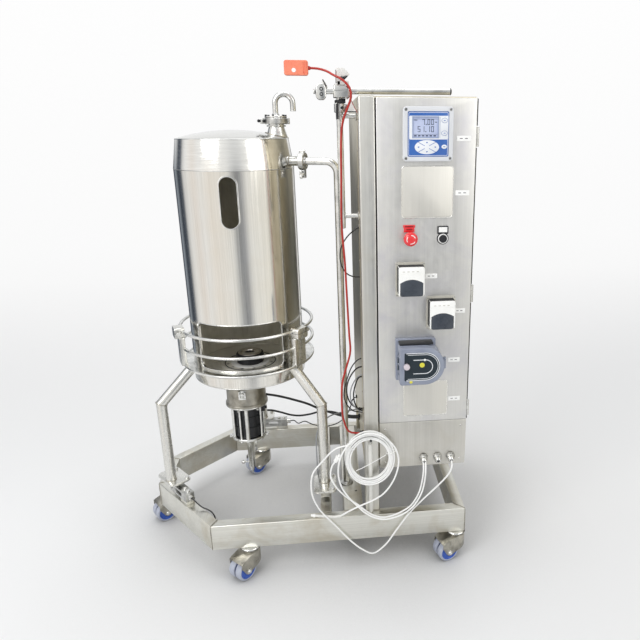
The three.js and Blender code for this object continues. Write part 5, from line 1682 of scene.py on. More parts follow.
def clamp_shapes(flange, lug):
    """A hinged sanitary clamp: two half shells, ears, a swing bolt and its wing nut."""
    lip = flange - 6
    inner = flange + 0.3
    outer = inner + 6
    grip = 6.45
    half = grip + 4
    shell = lathe(
        [
            (lip, -half + 1.2),
            (lip + 1.2, -half),
            (outer - 2.5, -half),
            (outer, -half + 2.5),
            (outer, half - 2.5),
            (outer - 2.5, half),
            (lip + 1.2, half),
            (lip, half - 1.2),
            (lip, grip),
            (inner, grip),
            (inner, -grip),
            (lip, -grip),
        ],
        72,
    )
    middle = -outer - lug / 2
    ears = [
        block(-outer - lug, -outer + 1.5, side * 6 - 3, side * 6 + 3, -half + 1.5, half - 1.5, 1.6)
        for side in (-1, 1)
    ]
    bolt = rod("y", 3.6, -22, 16, middle, 0, 24, 0.6)
    boss = rod("y", 7.4, -18.5, -11.5, middle, 0, 32, 1.2)
    wings = []
    for side in (-1, 1):
        outline = [(3, -4), (12, -5), (15, -1), (14, 4), (9, 6), (3, 4)]
        wing = prism([(side * x, z) for x, z in outline], "y", -23.5, -18.5, 1.4, 2, 30)
        wings.append(shifted(wing, middle, 0, 0))
    pivot = rod("z", 3.4, -half + 0.5, half - 0.5, outer + 3.2, 0, 24, 0.6)
    link = block(outer - 1.5, outer + 5, -5, 5, -half + 3, half - 3, 1.2)
    return merged(shell, *ears), merged(bolt, boss, pivot, link), merged(*wings)


def make_clamps():
    face = VENT_FACE
    vent_place = turned_at(VESSEL.x, VESSEL.y, 0, 0) @ Matrix.Translation((VENT_X, 0, face))
    side_place = (
        turned_at(VESSEL.x, VESSEL.y, 0, NOZZLE_AZIMUTH)
        @ Matrix.Translation((250.15, 0, NOZZLE_Z))
        @ Matrix.Rotation(math.radians(-90), 4, "Y")
    )

    def clamp(name, place, parts, wing_finish):
        shell, bolt, wing = (moved(shape, place) for shape in parts)
        polished_part(name + "_shell", shell, "cast_steel", stands_for=name)
        polished_part(name + "_bolt", bolt, "bright_steel")
        polished_part(name + "_wing", wing, wing_finish)

    clamp("vent_clamp", vent_place, clamp_shapes(FERRULE, 14), "black_metal")
    collars = []
    for r0, r1, h, lift in ((FERRULE - 4, FERRULE + 4.5, 2.6, 14), (NECK_R - 1, NECK_R + 6, 2.4, -16)):
        collar = lathe([(r0, -h), (r1 - 1, -h), (r1, -h + 1), (r1, h - 1), (r1 - 1, h), (r0, h)], 72)
        collars.append(shifted(collar, VENT_X, 0, face + lift))
    polished_part("vent_collars", at_vessel(merged(*collars)), "bright_steel")
    studs = []
    for k in range(6):
        sx, sy = polar(FERRULE + 0.5, 20 + 60 * k)
        sx += VENT_X
        studs.append(rod("z", 2.6, face + 9, face + 20, sx, sy, 20, 0.5))
        studs.append(hexagon("z", 8, face + 16.6, face + 21, sx, sy))
    polished_part("vent_studs", at_vessel(merged(*studs)), "black_metal")
    clamp("side_clamp", side_place, clamp_shapes(SIDE_FERRULE, 26), "cast_steel")


def make_side_pipe():
    face, reach, bend, radius = 250.3, 372, 40, 12.5
    foot = FRAME_TOP + GAP
    line = [Vector((face + 5, 0, NOZZLE_Z)), Vector((reach - bend, 0, NOZZLE_Z))]
    line += arc_points((reach - bend, 0, NOZZLE_Z - bend), bend, 90, 0, 16)[1:]
    line += [Vector((reach, 0, NOZZLE_Z - 400)), Vector((reach, 0, foot + 3))]
    pipe = tube(line, radius, 40)
    polished_part("side_pipe_run", at_vessel(pipe, NOZZLE_AZIMUTH), "bright_steel", stands_for="side_pipe")
    rim = SIDE_FERRULE
    ferrule = lathe(
        [
            (0, face), (rim - 0.6, face), (rim, face + 0.7), (rim, face + 5), (rim - 1, face + 6),
            (15, face + 8.5), (12.6, face + 12), (0, face + 12),
        ],
        48,
        closed=False,
    )
    polished_part(
        "side_pipe_ferrule", at_vessel(moved(ferrule, FACE_OF_NOZZLE), NOZZLE_AZIMUTH), "bright_steel"
    )
    base = lathe(
        [
            (0, foot), (24, foot), (24.5, foot + 0.8), (24.5, foot + 5), (23, foot + 6), (14.5, foot + 6.6),
            (12.6, foot + 8.5), (0, foot + 8.5),
        ],
        48,
        closed=False,
    )
    polished_part("side_pipe_base", at_vessel(shifted(base, reach, 0, 0), NOZZLE_AZIMUTH), "cast_steel")


def at_drive(shape, degrees=0.0):
    return at_vessel(shifted(turned(shape, degrees), DRIVE_X, 0, 0))


def make_drive():
    top = FLOOR_Z - GAP
    low = top - 172
    drum = lathe(
        [
            (0, low),
            (67, low),
            (70, low + 0.8),
            (79, low + 5.4),
            (80, low + 7),
            (80, low + 17),
            (79, low + 18.6),
            (75.4, low + 22),
            (75, low + 24),
            (74, top),
            (0, top),
        ],
        96,
        closed=False,
    )
    bore = rod("z", 8.6, top - 50, top + 1, -DRIVE_X, 0, 32, 0)
    brushed_part("drive_drum", at_drive(cut(drum, bore)), "drive_steel", stands_for="drive_flange")
    band = ring(77.4, 3.4, 120, 12)
    brushed_part("drive_band", at_drive(shifted(band, 0, 0, low + 8.6)), "bright_steel", angle=60)
    hook = merged(
        block(-18, 10, -86, -72, low + 54, low + 62, 1.5),
        block(-18, 10, -78, -72, low + 54, low + 88, 1.5),
        block(-18, -11, -86, -72, low + 60, low + 88, 1.5),
        block(3, 10, -86, -72, low + 60, low + 84, 1.5),
        rod("y", 5.5, -87, -76, -4, low + 74, 24, 0.8),
    )
    brushed_part("drive_lug", at_drive(hook), "bright_steel")
    bolts = []
    for k in range(6):
        bolts.append(hexagon("z", 10, low - 5, low + 0.2, *polar(70, 10 + 60 * k)))
    brushed_part("drive_bolts", at_drive(merged(*bolts)), "bright_steel")
    cage_top = low - GAP
    cage_low = cage_top - 137
    plate_top = cage_low + 10
    places = (
        (-150, 61, 6.4), (-113, 62, 3.6), (-88, 61, 7.6), (-32, 61.5, 4.2), (28, 61.5, 5.5), (90, 61.5, 5.5)
    )
    columns = [
        turned(rod("z", size, plate_top - 0.5, cage_top, reach, 0, 32, 0.4), angle)
        for angle, reach, size in places
    ]
    polished_part("cage_columns", at_drive(merged(*columns)), "bright_steel", stands_for="motor_cage")
    plate = lathe(
        [
            (13.8, cage_low + 0.8), (14.6, cage_low), (65, cage_low), (67, cage_low + 2),
            (67, plate_top - 1.2), (66, plate_top), (13.8, plate_top),
        ],
        72,
    )
    lugs = [turned(block(63, 77, -8, 8, cage_low, plate_top, 1.5), angle) for angle in (-172, -8)]
    stay = block(19, 29, -20, -14, cage_low - 62, cage_low + 0.5, 1.0)
    polished_part("cage_plate", at_drive(merged(plate, *lugs, stay)), "bright_steel")
    nuts = [
        turned(hexagon("z", 12, cage_low - 6, cage_low + 0.2, reach - 2, 0), angle)
        for angle, reach, size in places
    ]
    polished_part("cage_nuts", at_drive(merged(*nuts)), "bright_steel")
    housing_low = plate_top + GAP
    profile = [(0, housing_low), (51, housing_low), (54, housing_low + 3)]
    for share in (0.35, 0.7):
        z = housing_low + share * 127
        profile += [(54, z), (51, z + 0.3), (51, z + 3.7), (54, z + 4)]
    profile += [(54, cage_top - 3), (51, cage_top), (0, cage_top)]
    black_part(
        "motor_case", at_drive(lathe(profile, 72, closed=False)), "black_metal", stands_for="motor_housing"
    )
    fins = [
        turned(block(53, 55.6, -1.1, 1.1, housing_low + 50, housing_low + 84, 0.5), 360 * k / 28)
        for k in range(28)
    ]
    black_part("motor_fins", at_drive(merged(*fins)), "black_metal")
    connector = merged(
        block(48, 66, -14, 14, housing_low + 92, housing_low + 116, 2),
        rod("x", 6, 64, 74, 0, housing_low + 104, 28, 1.0),
    )
    black_part("motor_plug", at_drive(connector, 6), "black_plastic")
    spindle_top = plate_top - GAP
    spindle_low = cage_low - 145
    barrel = rod("z", 13.5, spindle_low, spindle_top, 0, 0, 48, 0.8, 8.3)
    pin_slot = prism(rounded(-3.5, 3.5, spindle_low + 18, spindle_low + 66, 3.4), "x", -40, 0)
    mouth = prism(rounded(-2.5, 2.5, spindle_low - 8, spindle_low + 46, 2.4), "y", -40, 0)
    polished_part(
        "spindle_barrel", at_drive(cut(barrel, pin_slot, mouth)), "bright_steel", stands_for="spindle_tube"
    )
    marks = [shifted(ring(13.4, 0.9, 64, 8), 0, 0, cage_low - z) for z in (4, 9)]
    polished_part("spindle_rings", at_drive(merged(*marks)), "orange_plastic", angle=60)
    pin_z = spindle_low + 22
    lift = merged(
        rod("z", 8, spindle_low - 14, spindle_top - 50, 0, 0, 40, 0.8),
        rod("x", 3, -30, 0, 0, pin_z, 24, 0.4),
        rod("z", 4, spindle_low - 26, spindle_low - 13, 0, 0, 24, 1.2),
    )
    lift_part("lift_spindle", at_drive(lift), "bright_steel", stands_for="lift_rod")
    lift_part("lift_knob", at_drive(ball(8, -34, 0, pin_z)), "bright_steel")


make_vessel()
make_head()
make_vessel_floor()
make_coupling()
make_vent()
make_clamps()
make_side_pipe()
make_drive()

# ---- cabinet ----

SHEET = 3
POST = 50
HINGE_X = DOOR_RIGHT + 5
HINGE_Y = FRONT + 5.5
HINGES = [CABINET_BOTTOM + lift for lift in (225, 647, 1152)]


def make_cabinet():
    notch_x = CABINET_LEFT + POST + 0.3
    notch_y = FRONT + POST + 0.3
    plan = [
        (notch_x, BODY_FRONT), (CABINET_RIGHT, BODY_FRONT), (CABINET_RIGHT, REAR), (CABINET_LEFT, REAR),
        (CABINET_LEFT, notch_y), (notch_x, notch_y),
    ]
    inner = [
        (notch_x + SHEET, BODY_FRONT + SHEET),
        (CABINET_RIGHT - SHEET, BODY_FRONT + SHEET),
        (CABINET_RIGHT - SHEET, REAR - SHEET),
        (CABINET_LEFT + SHEET, REAR - SHEET),
        (CABINET_LEFT + SHEET, notch_y + SHEET),
        (notch_x + SHEET, notch_y + SHEET),
    ]
    outside = prism(plan, "z", CABINET_BOTTOM, CABINET_TOP, 2.0, 2, 40)
    hollow = prism(inner, "z", CABINET_BOTTOM + SHEET, CABINET_TOP - SHEET)
    mouth = block(
        notch_x + 13, CABINET_RIGHT - 13, BODY_FRONT - 5, BODY_FRONT + SHEET + 5, CABINET_BOTTOM + 10,
        CABINET_TOP - 10,
    )
    entry = rod("x", 5, CABINET_LEFT - 2, CABINET_LEFT + 8, CABLE_Y, CABLE_ENTRY, 24, 0)
    brushed_part(
        "cabinet_shell",
        cut(outside, hollow, mouth, entry),
        "cabinet_steel",
        angle=30,
        stands_for="cabinet_body",
    )
    gasket = []
    for x0, x1, z0, z1 in (
        (notch_x + 4, notch_x + 11, CABINET_BOTTOM + 6, CABINET_TOP - 6),
        (CABINET_RIGHT - 11, CABINET_RIGHT - 4, CABINET_BOTTOM + 6, CABINET_TOP - 6),
        (notch_x + 4, CABINET_RIGHT - 4, CABINET_TOP - 9.5, CABINET_TOP - 5),
    ):
        gasket.append(block(x0, x1, BODY_FRONT - 0.9, BODY_FRONT + 0.2, z0, z1, 0.3, 1))
    black_part("cabinet_gasket", merged(*gasket), "gasket_black")
    feet = []
    for x in (CABINET_LEFT, CABINET_RIGHT - POST):
        feet.append(block(x, x + POST, REAR - POST, REAR, FRAME_TOP + GAP, CABINET_BOTTOM + 1, 4, 3))
    brushed_part("cabinet_feet", merged(*feet), "cabinet_steel")
    beads = []
    for x in (CABINET_LEFT, CABINET_RIGHT - POST):
        corners = [(x, REAR - POST), (x + POST, REAR - POST), (x + POST, REAR), (x, REAR), (x, REAR - POST)]
        for z in (FRAME_TOP + 1.6, CABINET_BOTTOM - 1.4):
            for a, b in zip(corners, corners[1:]):
                beads.append(tube([Vector((a[0], a[1], z)), Vector((b[0], b[1], z))], 1.8, 8))
    brushed_part("cabinet_foot_welds", merged(*beads), "weld_steel", angle=60)
    post = block(CABINET_LEFT, CABINET_LEFT + POST, FRONT, FRONT + POST, FRAME_TOP + GAP, CABINET_TOP, 4.5, 4)
    brushed_part("cabinet_stile", post, "stile_steel", stands_for="cabinet_post")
    cap = block(
        CABINET_LEFT + 2, CABINET_LEFT + POST - 2, FRONT + 2, FRONT + POST - 2, CABINET_TOP - 1,
        CABINET_TOP + 0.8, 0.7, 2,
    )
    brushed_part("stile_cap", cap, "cabinet_steel")
    corners = [
        (CABINET_LEFT, FRONT), (CABINET_LEFT + POST, FRONT), (CABINET_LEFT + POST, FRONT + POST),
        (CABINET_LEFT, FRONT + POST),
    ]
    foot_line = [Vector((x, y, FRAME_TOP + 1.4)) for x, y in corners + corners[:1]]
    beads = [weld_bead([a, b], 1.7) for a, b in zip(foot_line, foot_line[1:])]
    brushed_part("stile_weld", merged(*beads), "weld_steel", angle=60)
    # Side panel: a pan-head screw row and a folded seam near the front, as sheet cabinets have.
    seam = block(
        CABINET_LEFT - 1.2, CABINET_LEFT + 0.4, notch_y + 6, notch_y + 9, CABINET_BOTTOM + 6, CABINET_TOP - 6,
        0.5, 1,
    )
    brushed_part("side_seam", seam, "cabinet_steel")
    heads = [
        rod(
            "x",
            4.2,
            CABINET_LEFT - 2.2,
            CABINET_LEFT + 0.2,
            notch_y + 18,
            CABINET_BOTTOM + 40 + 119 * k,
            24,
            1.1,
        )
        for k in range(11)
    ]
    brushed_part("side_screws", merged(*heads), "bright_steel")
    knuckles, arms = [], []
    for z in HINGES:
        knuckles.append(rod("z", 2, z - 30, z + 30, HINGE_X, HINGE_Y, 24, 0.3))
        for low in (-30, 10):
            knuckles.append(rod("z", 4.4, z + low, z + low + 20, HINGE_X, HINGE_Y, 32, 0.5))
            arms.append(
                block(
                    CABINET_RIGHT - 0.3, HINGE_X, HINGE_Y + 1, BODY_FRONT + 34, z + low, z + low + 20, 0.8, 1
                ),
            )
            for at in (8, 24):
                arms.append(rod("x", 3, HINGE_X - 0.5, HINGE_X + 1.2, BODY_FRONT + at, z + low + 10, 20, 0.5))
    brushed_part("hinge_knuckles", merged(*knuckles), "bright_steel")
    brushed_part("hinge_arms", merged(*arms), "cast_steel")
    y, z = CABLE_Y, CABLE_ENTRY
    gland = merged(
        hexagon("x", 19, CABINET_LEFT - 6, CABINET_LEFT + 0.2, y, z),
        rod("x", 7.6, CABINET_LEFT - 12.5, CABINET_LEFT - 5.5, y, z, 32, 1.4, 3.9),
    )
    black_part("cable_gland", gland, "black_plastic")


DISPLAY = (434, lifted(1160))
STOP = (379, lifted(841))
BUTTON = (488, lifted(836))
PUMPS = ((382, lifted(703)), (486, lifted(586)))
BIG_PUMP = (412, lifted(427))
COVER_PLATES = {"upper": (353, 518, 1289, 1451, 10), "lower": (360, 516, 592, 722, 8)}


def folded_tray(bottom, top, rear):
    """A shallow sheet tray open to the rear, without its hollow, and the hollow."""
    tray = block(DOOR_LEFT, DOOR_RIGHT, FRONT, rear, bottom, top, 2.2, 3)
    return tray, block(DOOR_LEFT + 2.5, DOOR_RIGHT - 2.5, FRONT + 2.5, rear + 5, bottom + 2.5, top - 2.5)


def make_door():
    bottom, top = DOOR_BOTTOM + 1.5, CABINET_TOP - 4
    rear = BODY_FRONT - 1
    tray, hollow = folded_tray(bottom, top, rear)
    x, z = DISPLAY
    tools = [hollow, block(x - 66.3, x + 66.3, FRONT - 5, rear + 5, z - 68.3, z + 68.3)]
    for radius, spot in zip((10.3, 12.6, 20.3, 20.3, 32.3), (STOP, BUTTON, *PUMPS, BIG_PUMP)):
        tools.append(rod("y", radius, FRONT - 20, rear + 5, *spot, 48, 0))
    door_part("door_leaf", cut(tray, *tools), "door_steel", angle=30, stands_for="cabinet_door")
    # A black lip along the stile side and the two plain cover plates.
    lip = block(DOOR_LEFT - 1.6, DOOR_LEFT + 0.2, FRONT + 0.6, rear - 2, bottom + 2, top - 2, 0.5, 1)
    door_black_part("door_lip", lip, "gasket_black")
    for name, outline in COVER_PLATES.items():
        door_part(
            "cover_plate_" + name, rounded_sheet(*outline, FRONT - 2.2, FRONT + 0.1, 0.7), "plate_steel"
        )
    for name, (x0, x1, z0, z1, corner) in COVER_PLATES.items():
        line = [
            Vector((px, FRONT - 1.8, pz))
            for px, pz in rounded(x0 + 0.8, x1 - 0.8, z0 + 0.8, z1 - 0.8, corner, 8)
        ]
        door_part("cover_plate_rim_" + name, tube(line + line[:1], 1.3, 8, False), "plate_rim", angle=60)
    labels = [
        (526, 571, 1533), (526, 571, 1367), (432, 472, 1098), (533, 570, 975), (516, 557, 798),
        (520, 562, 651),
    ]
    plates = [rounded_sheet(x0, x1, z - 8, z + 8, 1.5, FRONT - 1.3, FRONT + 0.1, 0.3) for x0, x1, z in labels]
    instrument_part("door_labels", merged(*plates), "label_white")
    lines = []
    for x0, x1, z in labels:
        for start, end in ((0.2, 0.4), (0.56, 0.76)):
            lines.append(
                block(
                    x0 + (x1 - x0) * start, x0 + (x1 - x0) * end, FRONT - 1.45, FRONT - 1.2, z - 1.1, z + 1.1
                ),
            )
    instrument_part("label_rules", merged(*lines), "label_ink")
    knuckles = []
    for z in HINGES:
        knuckles.append(rod("z", 4.4, z - 9.4, z + 9.4, HINGE_X, HINGE_Y, 32, 0.5, 2.6))
        knuckles.append(
            block(DOOR_RIGHT - 0.5, HINGE_X - 2.8, HINGE_Y - 2.4, HINGE_Y + 2.6, z - 9.4, z + 9.4, 0.5, 1)
        )
    door_part("door_knuckles", merged(*knuckles), "bright_steel")
    stops = [bottom + 2] + [z + side * 33 for z in HINGES for side in (-1, 1)] + [top - 2]
    seal = [
        block(DOOR_RIGHT - 0.2, DOOR_RIGHT + 3.4, FRONT + 2.5, FRONT + 13, z0, z1, 0.6, 1)
        for z0, z1 in zip(stops[::2], stops[1::2])
    ]
    door_black_part("door_seal", merged(*seal), "gasket_black")
    studs = [
        rod("y", 3.4, FRONT + 2.3, FRONT + 9, x, z, 20, 0.5)
        for x in (DOOR_LEFT + 16, DOOR_RIGHT - 16)
        for z in (bottom + 40, lifted(700), top - 40)
    ]
    door_part("door_studs", merged(*studs), "cast_steel")


def make_sill():
    bottom, top = CABINET_BOTTOM + 2, DOOR_BOTTOM - 0.5
    rear = BODY_FRONT - 0.3
    sill_part(
        "sill_panel", cut(*folded_tray(bottom, top, rear)), "sill_steel", angle=30, stands_for="gland_sill"
    )
    nuts, noses, mouths = [], [], []
    for x in GLAND_XS:
        place = Matrix.Translation((x, FRONT + 2.5, GLAND_Z)) @ Matrix.Rotation(GLAND_TILT, 4, "X")
        wide = hexagon("y", 28, -12, -0.3, 0, 0, 0.9)
        collar = rod("y", 16.6, -3.4, -0.2, 0, 0, 40, 0.6)
        grip = hexagon("y", 23, -19.5, -12.2, 0, 0, 0.9)
        dome = lathe(
            [
                (5.2, 11.8), (11.4, 11.8), (12, 12.6), (12, 19), (11.4, 21.5), (9.6, 24.6), (7.6, 26),
                (6.4, 26.1), (5.2, 25.4),
            ],
            40,
        )
        dome = moved(dome, Z_TO_FRONT)
        nuts.append(moved(merged(wide, collar), place))
        noses.append(moved(merged(grip, dome), place))
        mouths.append(moved(rod("y", 5.25, -25.2, -12, 0, 0, 32, 0), place))
    sill_part("gland_nuts", merged(*nuts), "cast_steel")
    sill_part("gland_noses", merged(*noses), "bright_steel")
    sill_part("gland_mouths", merged(*mouths), "black_rubber")
    heads = [
        rod("y", 3, FRONT - 1.6, FRONT + 0.1, x, z, 24, 0.7)
        for x, z in ((296, bottom + 22), (296, top - 22), (568, bottom + 22), (568, top - 22))
    ]
    sill_part("sill_screws", merged(*heads), "bright_steel")
    filler = block(DOOR_LEFT + 1, DOOR_RIGHT - 1, FRONT + 0.5, FRONT + 2.6, top - 1.5, top + 1.7, 0.2, 1)
    sill_part("sill_lip", filler, "sill_steel")


# ---- instruments on the door ----

SEGMENTS = {
    "0": "abcdef", "1": "bc", "2": "abged", "3": "abgcd", "4": "fgbc", "5": "afgcd", "6": "afgedc",
    "7": "abc", "8": "abcdefg", "9": "abfgcd",
}


def digits(text, x, z, high, y0, y1):
    """A number in seven-bar figures, its lower left corner at x and z."""
    wide, bar = high * 0.5, high * 0.13
    bars = []
    for mark in text:
        if mark == ".":
            bars.append(block(x - bar * 0.2, x + bar * 1.1, y0, y1, z, z + bar * 1.3))
            x += bar * 2.2
            continue
        if mark == " ":
            x += wide * 0.7
            continue
        spots = {
            "a": (0, wide, high - bar, high),
            "g": (0, wide, (high - bar) / 2, (high + bar) / 2),
            "d": (0, wide, 0, bar),
            "f": (0, bar, high / 2, high),
            "e": (0, bar, 0, high / 2),
            "b": (wide - bar, wide, high / 2, high),
            "c": (wide - bar, wide, 0, high / 2),
        }
        for key in SEGMENTS[mark]:
            x0, x1, z0, z1 = spots[key]
            gap = bar * 0.12
            bars.append(block(x + x0 + gap, x + x1 - gap, y0, y1, z + z0 + gap, z + z1 - gap))
        x += wide + bar * 1.5
    return merged(*bars)


def make_transmitter():
    cx, cz = DISPLAY
    rear = FRONT - GAP
    front = rear - 14
    x0, x1, z0, z1 = cx - 78, cx + 78, cz - 80.5, cz + 80.5
    corners = [(x, z) for x in (x0 + 9, x1 - 9) for z in (z0 + 9, z1 - 9)]

    def screen_opening(rear_y):
        return block(cx - 50, cx + 33, front - 4, rear_y, cz - 12, cz + 52)

    case = cut(
        rounded_sheet(x0, x1, z0, z1, 12, front, rear, 3.0),
        rounded_sheet(x0 + 14, x1 - 14, z0 + 14, z1 - 14, 5, front - 4, front + 2.6, 0),
        screen_opening(front + 5),
        *[rod("y", 4.6, front - 3, front + 3.5, x, z, 28, 0) for x, z in corners],
    )
    instrument_part("transmitter_case", case, "instrument_grey", stands_for="transmitter")
    rear_box = block(cx - 66, cx + 66, rear - 1, FRONT + 62, cz - 68, cz + 68, 3, 2)
    vents = [
        block(cx - 40, cx + 40, FRONT + 61.4, FRONT + 62.8, cz - 30 + 9 * k, cz - 26 + 9 * k, 0.5, 1)
        for k in range(7)
    ]
    instrument_part("transmitter_back", merged(rear_box, *vents), "black_plastic")
    # Painted shade: the black crosses on the screw heads stand for the shade in their slots.
    screws, slots = [], []
    for x, z in corners:
        screws.append(rod("y", 3.9, front + 0.6, front + 3.4, x, z, 28, 0.8))
        for wide, high in ((2.6, 0.6), (0.6, 2.6)):
            slots.append(block(x - wide, x + wide, front + 0.45, front + 0.75, z - high, z + high))
    instrument_part("transmitter_screws", merged(*screws), "cast_steel")
    instrument_part("transmitter_slot_shade", merged(*slots), "black_metal")
    floor = front + 2.5
    sheet = rounded_sheet(x0 + 14.4, x1 - 14.4, z0 + 14.4, z1 - 14.4, 4.6, floor - 0.9, floor + 0.2, 0.3)
    panel = cut(sheet, screen_opening(front + 6))
    instrument_part("transmitter_panel", panel, "panel_blue")
    # A pale rule round the blue field.
    outer = rounded(x0 + 17, x1 - 17, z0 + 17, z1 - 17, 4, 6)
    inside = rounded(x0 + 18.2, x1 - 18.2, z0 + 18.2, z1 - 18.2, 3.2, 6)
    rule = cut(prism(outer, "y", floor - 1.1, floor - 0.6), prism(inside, "y", floor - 2, floor + 1))
    instrument_part("transmitter_rule", rule, "panel_light")
    sheet = rounded_sheet(cx - 59, cx + 62, cz - 15.5, cz + 53.5, 4, floor - 1.5, floor - 0.7, 0.3)
    field = cut(sheet, screen_opening(front + 6))
    instrument_part("screen_field", field, "panel_light")
    bezel = cut(
        block(cx - 50, cx + 33, front + 0.8, front + 5, cz - 12, cz + 52, 0.6, 1),
        block(cx - 46.5, cx + 29.5, front - 2, front + 6, cz - 8.5, cz + 48.5),
    )
    instrument_part("screen_bezel", bezel, "screen_edge")
    glass = block(cx - 47, cx + 30, front + 3.2, front + 5.1, cz - 9, cz + 49)
    instrument_part("screen_glass", glass, "screen_glow")
    figures = (front + 2.9, front + 3.3)
    ink = [
        digits("7.00", cx - 19, cz + 27, 16.5, *figures),
        digits("51.10", cx - 33, cz + 6, 17.5, *figures),
        block(cx - 44, cx - 34, *figures, cz + 40, cz + 42),
        block(cx + 20, cx + 27, *figures, cz + 34, cz + 36),
        block(cx - 46, cx + 29, *figures, cz - 0.6, cz + 0.2),
        block(cx - 46, cx + 29, *figures, cz + 43.6, cz + 44.3),
    ]
    for k in range(6):
        ink.append(block(cx - 44 + 12 * k, cx - 36 + 12 * k, *figures, cz - 6.4, cz - 2.8))
    instrument_part("screen_figures", merged(*ink), "screen_ink")
    keys = []
    for x, z in ((50, 40), (50, 3), (50, -37)):
        keys.append(oval(cx + x, cz + z, 17, 12.5, front + 0.6, floor - 0.6, 0.8))
    instrument_part("small_keys", merged(*keys), "panel_light")
    rims = []
    for x, z in ((50, 40), (50, 3)):
        line = [
            Vector(
                (
                    cx + x + 9.2 * math.cos(2 * math.pi * k / 40),
                    front + 0.9,
                    cz + z + 6.9 * math.sin(2 * math.pi * k / 40),
                ),
            )
            for k in range(41)
        ]
        rims.append(tube(line, 0.7, 8, False))
    rims.append(block(cx + 35.2, cx + 36.4, front + 0.7, front + 1.1, cz - 11, cz + 50))
    instrument_part("key_rims", merged(*rims), "screen_edge", angle=60)
    dots = [
        oval(cx + x, cz + z, 7, 2.2, front + 0.35, front + 0.7, 0) for x, z in ((50, 40), (50, 3), (50, -37))
    ]
    instrument_part("key_marks", merged(*dots), "panel_blue")
    pale_plate = oval(cx - 4, cz - 38, 76, 42, front + 0.8, floor - 0.6, 0.8, 64)
    instrument_part("arrow_pad", pale_plate, "panel_light")
    marks = []
    for sign in (-1, 1):
        for way in (-1, 1):
            a = Vector((cx - 4 + sign * 7, front + 0.75, cz - 38 + way * 4))
            b = Vector((cx - 4 + sign * 27, front + 0.75, cz - 38 + way * 14.5))
            marks.append(tube([a, b], 0.75, 6))
    for x, z, turn in ((0, 13.5, 0), (0, -13.5, 180), (-26, 0, 90), (26, 0, -90)):
        points = [polar(1, turn + 90 + 120 * k) for k in range(3)]
        triangle = [(cx - 4 + x + px * 3.6, cz - 38 + z + pz * 3.0) for px, pz in points]
        marks.append(prism(triangle, "y", front + 0.5, front + 0.9))
    instrument_part("arrow_marks", merged(*marks), "panel_blue")


def make_stop():
    x, z = STOP
    ring_shape = lathe([(10.4, 0), (17, 0), (17, 5.5), (16, 8), (14.5, 8.8), (10.4, 8.8)], 56)
    door_part("stop_collar", moved(ring_shape, facing_front(x, FRONT, z)), "collar_grey")
    nut = rod("y", 15, FRONT + 2.7, FRONT + 8, x, z, 8, 0.8, 10.6)
    door_part("stop_nut", nut, "black_plastic")
    stem = merged(
        rod("y", 10, FRONT - 22, FRONT + 36, x, z, 40, 0.6),
        rod("y", 15, FRONT + 8.2, FRONT + 11, x, z, 40, 0.4),
        rod("y", 6, FRONT - 34, FRONT - 21, x, z, 6, 0.3),
    )
    plunger_part("stop_stem", stem, "black_plastic", stands_for="estop_plunger")
    contacts = block(x - 13, x + 13, FRONT + 35, FRONT + 58, z - 15, z + 15, 1.2, 2)
    plunger_part("stop_contacts", contacts, "black_plastic")
    start = FRONT - 22.3
    profile = [
        (6.7, 0), (16.5, 0), (18.5, 0.8), (22.2, 4), (23, 6.2), (22.9, 9.2), (21.8, 12.6), (18.8, 16),
        (14.2, 18.6), (9, 20.2), (4, 20.9), (0, 21),
    ]
    cap = lathe([(0, 12.5), (6.7, 12.5)] + profile, 72, closed=False)
    stop_part("stop_mushroom", moved(cap, facing_front(x, start, z)), "stop_red", stands_for="estop_head")
    # Three white arcs on the cap's face.
    white_arcs = []
    for k in range(3):
        turn = math.radians(120 * k + 20)
        arc = [
            Vector(
                (
                    x + 13.5 * math.cos(turn + math.radians(a)),
                    start - 18.4,
                    z + 13.5 * math.sin(turn + math.radians(a)),
                ),
            )
            for a in range(0, 75, 12)
        ]
        white_arcs.append(tube(arc, 1.4, 8))
    stop_part("stop_white_arcs", merged(*white_arcs), "label_white", angle=60)
    # The red legend plate above the button, with its two dark slots.
    plate = merged(
        block(x - 21, x + 18, FRONT - 4.6, FRONT + 0.1, z + 33, z + 41, 1.0, 2),
        block(x - 19, x + 16, FRONT - 3.2, FRONT + 0.1, z + 18, z + 34, 0.8, 2),
    )
    legend_part("stop_legend", plate, "stop_red")
    slots = merged(
        block(x - 15, x + 12, FRONT - 5, FRONT - 4.4, z + 36, z + 38.4),
        block(x - 11, x + 9, FRONT - 3.5, FRONT - 3.0, z + 26, z + 28),
    )
    legend_part("stop_legend_slots", slots, "stop_red_dark")


def make_button():
    x, z = BUTTON
    cap = lathe([(0, 0), (11, 0), (12, 1), (12, 14), (0, 14)], 48, closed=False)
    place = Matrix.Translation((x, FRONT - 10, z)) @ Y_Z_SWAP
    shape = merged(
        moved(cap, place),
        rod("y", 15, FRONT + 2.8, FRONT + 6.8, x, z, 40, 0.4),
        rod("y", 5, FRONT + 5.8, FRONT + 10.8, x, z, 24, 0.4),
    )
    piece("start_cap", shape, "black_plastic", "start_button", "black_plastic", stands_for="push_button")
    # Painted highlight: the chrome ring round the button is drawn white, for its bright reflection.
    rim = lathe([(12.6, 0), (16, 0), (16, 5.4), (15, 7), (13.4, 7), (12.6, 6.2)], 56)
    along = facing_front(x, FRONT, z)
    door_part("button_ring_sheen", moved(rim, along), "label_white")
    backing = lathe([(16.2, 0), (19.2, 0), (19.2, 1.6), (18.6, 2.2), (16.2, 2.2)], 56)
    door_black_part("button_backing", moved(backing, along), "black_plastic")
    plate = rounded_sheet(x - 18, x + 18, z + 15, z + 41, 2.5, FRONT - 3.4, FRONT + 0.1, 0.6)
    bite = rod("y", 16.5, FRONT - 9, FRONT + 3, x, z, 48, 0)
    door_black_part("button_legend", cut(plate, bite), "black_plastic")
    label = block(x - 14, x + 14, FRONT - 3.8, FRONT - 3.2, z + 21, z + 37.5, 0.2, 1)
    instrument_part("button_label", label, "label_white")


